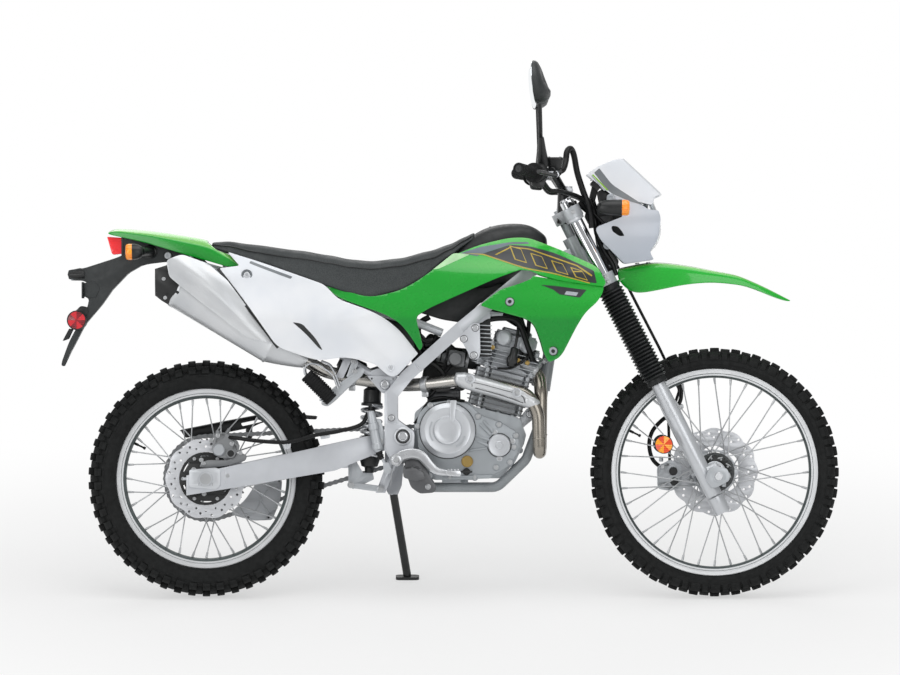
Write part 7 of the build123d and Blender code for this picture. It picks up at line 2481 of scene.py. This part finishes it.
def makeRearBrake():
    bolts = []
    body = plate([(16, 398), (20, 428), (36, 446), (58, 446), (74, 424), (88, 408), (86, 388), (60, 376),
        (34, 378)], -98, -76, 9, 2.6)
    inner = plate([(24, 400), (30, 440), (62, 446), (90, 418), (84, 392)], -64, -50, 8, 2)
    bridge = [plate([(24, 412), (30, 444), (56, 446), (50, 432)], -98, -52, 5, 2),
        plate([(70, 402), (74, 426), (92, 412), (88, 394)], -98, -52, 5, 2)]
    parts = [body, inner, *bridge]
    cap = lathe([(0, 0), (0, 17.5), (3, 17.5), (7, 16), (9, 14), (9, 0)], (35.5, -97, 399), (0, -1, 0), 48)
    seal = lathe([(0, 0), (0, 9.5), (4, 9.5), (4, 5), (2, 5), (2, 0)], (68, -97, 389.6), (0, -1, 0), 36)
    parts.append(lathe([(0, 9), (0, 13), (4, 13), (5, 12), (5, 9)], (68, -97, 389.6), (0, -1, 0), 36))
    parts.append(plate([(-18, 352), (-12, 366), (8, 372), (60, 372), (96, 392), (112, 384), (108, 370),
        (60, 356), (0, 350)], -94, -84, 6, 2))
    parts.append(bar((33.6, -88, 440), (33.6, -88, 452), 7, 6, 1))
    parts.append(bar((56, -84, 444), (64, -84, 456), 5, 20, 1))
    for x, z in ((14, 425), (33, 438), (71, 416), (94, 391), (-12, 372), (-6, 362)):
        bolts.append(((x, -98 if 0 < x < 90 else -94.4, z), (0, -1, 0), 0.85))
    piece("rear_caliper_body", merged(*parts), "finAlloy", "chassis", "rear_caliper")
    piece("rear_caliper_cap", cap, "castAlloy", "chassis")
    piece("rear_caliper_seal", seal, "satinBlack", "chassis")
    piece("rear_caliper_bolts", scattered(hexBolt(10, 5.5), bolts), "zincSteel", "chassis")
    line = curved([(62, -92, 433), (80, -104, 432), (140, -116, 424), (205, -120, 420), (240, -122, 424),
        (300, -124, 440), (360, -122, 450), (420, -112, 468), (440, -104, 500)], 10)
    piece("rear_hose_sleeve", hose(line, 5.4, 16), "hoseRubber", "chassis", "rear_brake_hose",
        smooth=60)
    clamp = merged(plate([(214, 400), (230, 404), (232, 424), (212, 420)], -122, -112, 3, 1.2),
        bar((222, -118, 412), (222, -128, 412), 4, 16, 0.6), plate([(312, 428), (336, 432), (338, 440),
        (310, 438)], -122, -110, 3, 1))
    piece("rear_hose_clamps", clamp, "fineAlloy", "chassis")
    # foot cylinder with its rod and boot
    cylinder = lathe([(0, 0), (0, 9), (6, 10.5), (8, 14), (22, 14), (24, 12.4), (60, 12.4), (62, 14.4),
        (78, 14.4), (80, 12), (100, 11), (112, 9), (114, 0)], (468, -112, 394), (-0.19, 0, 0.98), 36)
    foot = plate([(456, 486), (474, 482), (486, 440), (482, 410), (468, 410), (460, 440)], -108, -100, 6, 1.6)
    rod = bar((470, -112, 396), (490, -120, 352), 4, 16, 0.5)
    fork = plate([(480, 366), (494, 366), (506, 344), (498, 334), (482, 340)], -128, -116, 5, 1.4)
    boot = lathe([(0, 4), (0, 9), (4, 10), (8, 7.6), (12, 9.6), (16, 7.2), (20, 8.6), (22, 5)],
        (469, -112, 394), (0.35, -0.14, -0.9), 32)
    piece("foot_cylinder", merged(cylinder, foot, rod, fork), "castAlloy", "chassis")
    piece("foot_cylinder_boot", boot, "hoseRubber", "chassis")
    bolts = [((465, -108, 470), (0, -1, 0), 0.9), ((474, -108, 424), (0, -1, 0), 0.9)]
    piece("foot_cylinder_bolts", scattered(hexBolt(10, 5), bolts), "zincSteel", "chassis")


def makeAxleEnds():
    # The lug that clamps the front axle, and its bolt.
    lug = holed(rounded([(1357, 338, 8), (1366, 351, 6), (1385, 356, 6), (1411, 349, 6), (1419, 328, 6),
        (1416, 316, 5), (1381, 297, 6), (1368, 298, 8), (1352, 318, 8)], 6), [(1388, 328, 11.5)], -121,
        -139, 1.6)
    collar = lathe([(0, 9), (0, 15), (2, 16.4), (3, 16.4), (3, 11), (0, 11)], (1388, -138.6, 328),
        (0, -1, 0), 44)
    pinch = bar((1402, -128, 300), (1402, -128, 312), 6, 6, 0.8)
    piece("front_axle_lug", merged(lug, collar, pinch), "castAlloy", "steering")
    heads = [((1388, -139, 328), (0, -1, 0), 1.7), ((1388, 126, 328), (0, 1, 0), 1.7)]
    piece("front_axle_bolt", scattered(hexBolt(12, 5), heads), "brightSteel", "steering")


def footPeg(s):
    # A folding footpeg: a toothed tread on an arm with its pin.
    tread = holed(rounded([(534, 348, 6), (566, 352, 6), (590, 340, 8), (592, 322, 6), (566, 316, 8),
        (536, 326, 6)], 5), [], s * 136, s * 214, 1.2)
    gap = [(542, 360), (584, 360), (584, 338), (542, 338)]
    gaps = merged(*[plate(gap, s * (144 + 17 * k), s * (154 + 17 * k), 2, 0) for k in range(4)])
    parts = [combined(tread, gaps, "DIFFERENCE")]
    for k in range(9):
        y = s * (138 + 9.2 * k)
        for x, top in ((538, 354), (560, 354), (582, 349)):
            parts.append(plate([(x - 4, 340), (x - 2.6, top), (x + 2.6, top), (x + 4, 340)], y - 1.4,
                y + 1.4, 1, 0.5))
    parts.append(plate([(548, 352), (584, 348), (588, 318), (552, 316)], s * 122, s * 138, 6, 2))
    parts.append(bar((570, s * 116, 350), (570, s * 132, 350), 6, 20, 1))
    return parts


def makePegs():
    metal, rubber, silver, wires, bolts = [], [], [], [], []
    for s in bothHands:
        metal += footPeg(s)
        metal.append(plate([(536, 400), (564, 400), (596, 352), (612, 318), (626, 300), (620, 284),
            (580, 281), (556, 298), (540, 344)], s * 116.4, s * 128, 9, 2))
        bolts += [((549, s * 128, 388), (0, s, 0), 1.1), ((602, s * 128, 300), (0, s, 0), 1.1)]
        a, b = Vector((273, s * 126, 603)), Vector((342, s * 126, 534))
        along = (b - a).normalized()
        length = (b - a).length
        profile = [(0, 0), (0, 17), (2, 19)]
        for k in range(12):
            base = 4 + k * (length - 12) / 12
            profile += [(base, 19.6), (base + 4.4, 19.6), (base + 5, 17.4), (base + 6.6, 17.4)]
        profile += [(length - 6, 19.6), (length, 18), (length, 0)]
        rubber.append(lathe(profile, a, along, 36))
        silver.append(plate([(316, 540), (330, 552), (346, 568), (398, 606), (420, 626), (434, 618),
            (424, 600), (378, 560), (352, 534), (330, 516), (312, 522)], s * 96, s * 103, 7, 2))
        silver.append(plate([(306, 532), (330, 530), (352, 548), (340, 560), (316, 552)], s * 103,
            s * 130, 6, 2))
        silver.append(plate([(380, 596), (396, 640), (408, 648), (414, 636), (398, 594)], s * 90, s * 99,
            5, 2))
        silver.append(bar((334, s * 100, 546), (334, s * 134, 546), 5, 18, 0.8))
        for x, z in ((324, 530), (404, 612), (400, 640)):
            bolts.append(((x, s * 103.6, z), (0, s, 0), 1.0))
        wire = [(358, s * 118, 566), (344, s * 120, 600), (318, s * 122, 622), (300, s * 124, 631),
            (280, s * 126, 632), (268, s * 128, 620), (270, s * 130, 604), (282, s * 130, 590)]
        wires.append(hose(curved(wire, 10), 2.6, 12))
        wire = [(362, s * 112, 572), (352, s * 112, 600), (336, s * 112, 628), (312, s * 114, 640)]
        wires.append(hose(curved(wire, 10), 2.6, 12))
    piece("footpeg_metal", merged(*metal), "darkSteel", "chassis", "footpegs")
    piece("passenger_peg_rubbers", merged(*rubber), "gripRubber", "chassis", smooth=30)
    piece("passenger_peg_brackets", merged(*silver), "castAlloy", "chassis")
    piece("passenger_peg_wires", merged(*wires), "fineAlloy", "chassis", smooth=60)
    piece("peg_bolts", scattered(hexBolt(10, 5.5), bolts), "zincSteel", "chassis")


def sweptBar(points, width):
    # A flat arm with rounded edges along a line in the side view: (x, y, z, half height).
    line = curved([p[:3] for p in points], 8)
    sizes = [v.x for v in curved([(p[3], 0, 0) for p in points], 8)]
    rings = []
    for k, p in enumerate(line):
        before, after = line[max(0, k - 1)], line[min(len(line) - 1, k + 1)]
        along = (after - before).normalized()
        up = Vector((-along.z, 0, along.x)).normalized()
        across = Vector((0, width, 0))
        rings.append([p + across * squared(math.cos(a), 0.55) + up * squared(math.sin(a),
            0.55) * sizes[k] for a in turns(16)])
    return faced(lofted(rings))


def makeLevers():
    pedal = sweptBar([(517, -141, 373, 13.5), (533, -141, 384, 14.5), (560, -141, 389, 14.5),
        (585, -141, 382, 14), (605, -141, 360, 12.5), (624, -141, 344, 10.5), (648, -141, 338, 8),
        (684, -143, 337, 6.5)], 5.2)
    hub = lathe([(0, 0), (0, 16), (2, 17.4), (26, 17.4), (28, 16), (28, 13), (30, 13), (30.6, 11.6),
        (30.6, 0)], (517, -118, 373), (0, -1, 0), 48)
    tip = [plate([(650, 343), (688, 345), (692, 337), (690, 328), (652, 330)], -164, -134, 4, 1.6)]
    tip += [plate([(x, 343), (x + 1.4, 348.6), (x + 3.6, 348.6), (x + 5, 344)], -160, -138, 0.6, 0.4)
        for x in (654, 663, 672, 681)]
    piece("brake_pedal", merged(pedal, hub, *tip), "brightSteel", "chassis",
        "foot_levers", smooth=40)
    gear = sweptBar([(676, 106, 372, 9), (700, 112, 362, 6.5), (732, 116, 354, 6), (762, 118, 352, 7.5)], 4.6)
    knob = lathe([(0, 0), (0, 8), (2, 9.6), (34, 9.6), (36, 8), (36, 0)], (760, 114, 352), (0, 1, 0), 36)
    boss = lathe([(0, 0), (0, 11), (1.6, 12.4), (48, 12.4), (50, 11), (50, 0)], (676, 60, 372), (0, 1, 0), 36)
    piece("gear_lever", merged(gear, boss), "brightSteel", "chassis", smooth=40)
    piece("gear_lever_rubber", knob, "gripRubber", "chassis")
    spring = [(505 - 4 * k / 60, -130 + 5 * math.cos(k), 345 - k * 0.7 + 5 * math.sin(k) * 0.2)
        for k in range(60)]
    piece("pedal_spring", hose(spring, 1.2, 8), "zincSteel", "chassis", smooth=60)
    bolts = [((517, -148.4, 373), (0, -1, 0), 1.2), ((676, 110, 372), (0, 1, 0), 0.8)]
    piece("lever_bolts", scattered(hexBolt(11, 4.6), bolts), "zincSteel", "chassis")


def makeGuard():
    inner, outer = 60, 90
    wall = plate([(-74, 452), (40, 475), (137, 493), (250, 494), (300, 490), (298, 480), (206, 484),
        (146, 470), (120, 458), (30, 440), (-60, 430)], outer - 3, outer, 5, 1.2)
    slot = prism(rounded([(92, 470), (140, 480), (150, 475), (132, 470), (96, 462)], 3), outer - 10,
        outer + 10)
    wall = combined(wall, slot, "DIFFERENCE")
    roof = [(-74, 451), (40, 474), (137, 492), (250, 493), (300, 489)]
    roofBand = bevelled(prism(roof + [(x, z - 3) for x, z in roof[::-1]], inner, outer), 1)
    stays = [plate([(x, 426), (x + 18, 430), (x + 18, 460), (x, 456)], outer + 0.3, outer + 4, 3, 1)
        for x in (-30, 105)]
    piece("chain_guard_shell", merged(wall, roofBand, *stays), "satinBlack", "chassis",
        "chain_guard")
    guide = []
    outline = [(124, 292, 5), (132, 306, 8), (198, 322, 5), (204, 312, 4), (200, 262, 10), (178, 207, 8),
        (128, 205, 8), (92, 214, 8), (66, 222, 5), (70, 232, 5), (104, 262, 14)]
    for y in (57, 82):
        guide.append(holed(rounded(outline, 6), [(196, 312, 3), (112, 214, 3), (168, 214, 3)], y, y + 3, 0.6))
    webs = (
        (104, 262, 148, 262), (148, 262, 170, 300), (148, 262, 168, 226), (170, 300, 200, 302),
        (168, 226, 192, 240),
        (130, 228, 148, 262), (130, 228, 96, 220), (136, 292, 148, 262), (168, 226, 160, 210),
    )
    for x0, z0, x1, z1 in webs:
        for y in (69.5 - 15.8, 69.5 + 15.8):
            guide.append(bar((x0, y, z0), (x1, y, z1), 1.5, 10))
    rub = plate([(92, 226), (150, 216), (174, 214), (174, 208), (150, 209), (92, 218)], 60, 82, 3, 1)
    piece("chain_guide", merged(*guide), "paleGuide", "chassis")
    piece("chain_guide_shoe", rub, "satinBlack", "chassis")
    spots = ((196, 85.2, 312), (168, 85.2, 214), (112, 85.2, 214), (-21, 94, 440), (114, 94, 444))
    bolts = [(spot, (0, 1, 0), 0.8) for spot in spots]
    piece("chain_guide_bolts", scattered(hexBolt(10, 5), bolts), "zincSteel", "chassis")


def makeStand():
    leg = bevelled(nodeMesh("side_stand"), 1.4, 2)
    piece("side_stand_leg", leg, "satinBlack", "side_stand", "side_stand")


makeFrontBrake()
makeRearBrake()
makeAxleEnds()
makePegs()
makeLevers()
makeGuard()
makeStand()
print("brakes, pegs, levers and guard made")


# CAD nodes that keep their shape
for node, material in (
    ("front_axle", "zincSteel"),
    ("rear_axle", "zincSteel"),
    ("rear_sprocket", "darkSteel"),
    ("front_sprocket", "darkSteel"),
):
    dressed(node, material)
print("carried-over pieces finished")


# floor, light and camera
def makeStudio():
    floor = bpy.data.meshes.new("studio_floor")
    floor.from_pydata([(-30, -30, 0), (30, -30, 0), (30, 30, 0), (-30, 30, 0)], [], [(0, 1, 2, 3)])
    item = bpy.data.objects.new("studio_floor", floor)
    bpy.context.collection.objects.link(item)
    item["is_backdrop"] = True
    pale = Finish("studioPale", (236, 236, 236), 0.9, specular=0.0)
    pale.put("Roughness", pale.noise(900.0).ramp(0.3, 0.7, 0.88, 0.95))
    seen = pale.tree.nodes.new("ShaderNodeLightPath")
    glow, blend = (pale.tree.nodes.new(kind) for kind in ("ShaderNodeEmission", "ShaderNodeMixShader"))
    glow.inputs["Color"].default_value, glow.inputs["Strength"].default_value = (1, 1, 1, 1), 1.0
    camera, glossy = Wire(pale, seen.outputs["Is Camera Ray"]), Wire(pale, seen.outputs["Is Glossy Ray"])
    x, y = pale.xyz()[:2]
    away = ((x - 660.0) * (x - 660.0) + y * y).maths("SQRT").ramp(900.0, 2600.0, 0.55, 1.0)
    share = camera.high(glossy) * away
    pale.tree.links.new(share.socket, blend.inputs[0])
    pale.tree.links.new(pale.shader.outputs[0], blend.inputs[1])
    pale.tree.links.new(glow.outputs[0], blend.inputs[2])
    pale.tree.links.new(blend.outputs[0], pale.tree.nodes["Material Output"].inputs[0])
    floor.materials.append(pale.material)

    world = bpy.data.worlds.new("studio")
    bpy.context.scene.world = world
    world.use_nodes = True
    nodes, links = world.node_tree.nodes, world.node_tree.links
    kinds = ("ShaderNodeLightPath", "ShaderNodeBackground", "ShaderNodeMixShader")
    path, bright, blend = (nodes.new(kind) for kind in kinds)
    dim = nodes["Background"]
    dim.inputs[0].default_value, dim.inputs[1].default_value = (1, 1, 1, 1), 0.42
    bright.inputs[0].default_value, bright.inputs[1].default_value = (1, 1, 1, 1), 1.0
    links.new(path.outputs["Is Camera Ray"], blend.inputs[0])
    links.new(dim.outputs[0], blend.inputs[1])
    links.new(bright.outputs[0], blend.inputs[2])
    links.new(blend.outputs[0], nodes["World Output"].inputs[0])

    lamps = dict(
        overhead=dict(at=(0.2, -0.6, 3.6), to=(0, 0, 0.6), size=(4.2, 2.6), power=62),
        front=dict(at=(1.8, -3.8, 2.0), to=(0, 0, 0.7), size=(2.6, 2.2), power=32),
        side=dict(at=(-2.6, -3.2, 1.8), to=(-0.2, 0, 0.7), size=(2.2, 2.0), power=30),
        behind=dict(at=(-0.4, 3.4, 2.6), to=(0, 0, 0.7), size=(3.4, 2.0), power=34),
    )
    for name, values in lamps.items():
        light = bpy.data.lights.new(name, "AREA")
        light.shape, light.energy = "RECTANGLE", values["power"]
        light.size, light.size_y = values["size"]
        lamp = bpy.data.objects.new(name, light)
        lamp.location = values["at"]
        aim = Vector(values["to"]) - Vector(values["at"])
        lamp.rotation_euler = aim.to_track_quat("-Z", "Y").to_euler()
        bpy.context.collection.objects.link(lamp)


view = dict(lens=420.0, across=2.445, middle=(661.5, 0, 703.6))


def makeCamera():
    data = bpy.data.cameras.new("camera")
    data.lens, data.sensor_width = view["lens"], 36.0
    distance = view["across"] * view["lens"] / 36.0
    middle = parked @ Vector(view["middle"])
    back = (upright @ Vector((0, -1, 0))).normalized()
    upWay = (upright @ Vector((0, 0, 1))).normalized()
    item = bpy.data.objects.new("camera", data)
    turn = Matrix((Vector((1, 0, 0)), upWay, back)).transposed()
    item.matrix_world = Matrix.Translation(middle + back * distance) @ turn.to_4x4()
    data.clip_start, data.clip_end = 0.1, 200
    bpy.context.collection.objects.link(item)
    bpy.context.scene.camera = item


makeStudio()
makeCamera()
bpy.context.scene.view_settings.view_transform = "Standard"

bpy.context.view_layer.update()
meshes = [item.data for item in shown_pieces() if item.type == "MESH"]
print("triangles:", sum(len(face.vertices) - 2 for mesh in meshes for face in mesh.polygons))
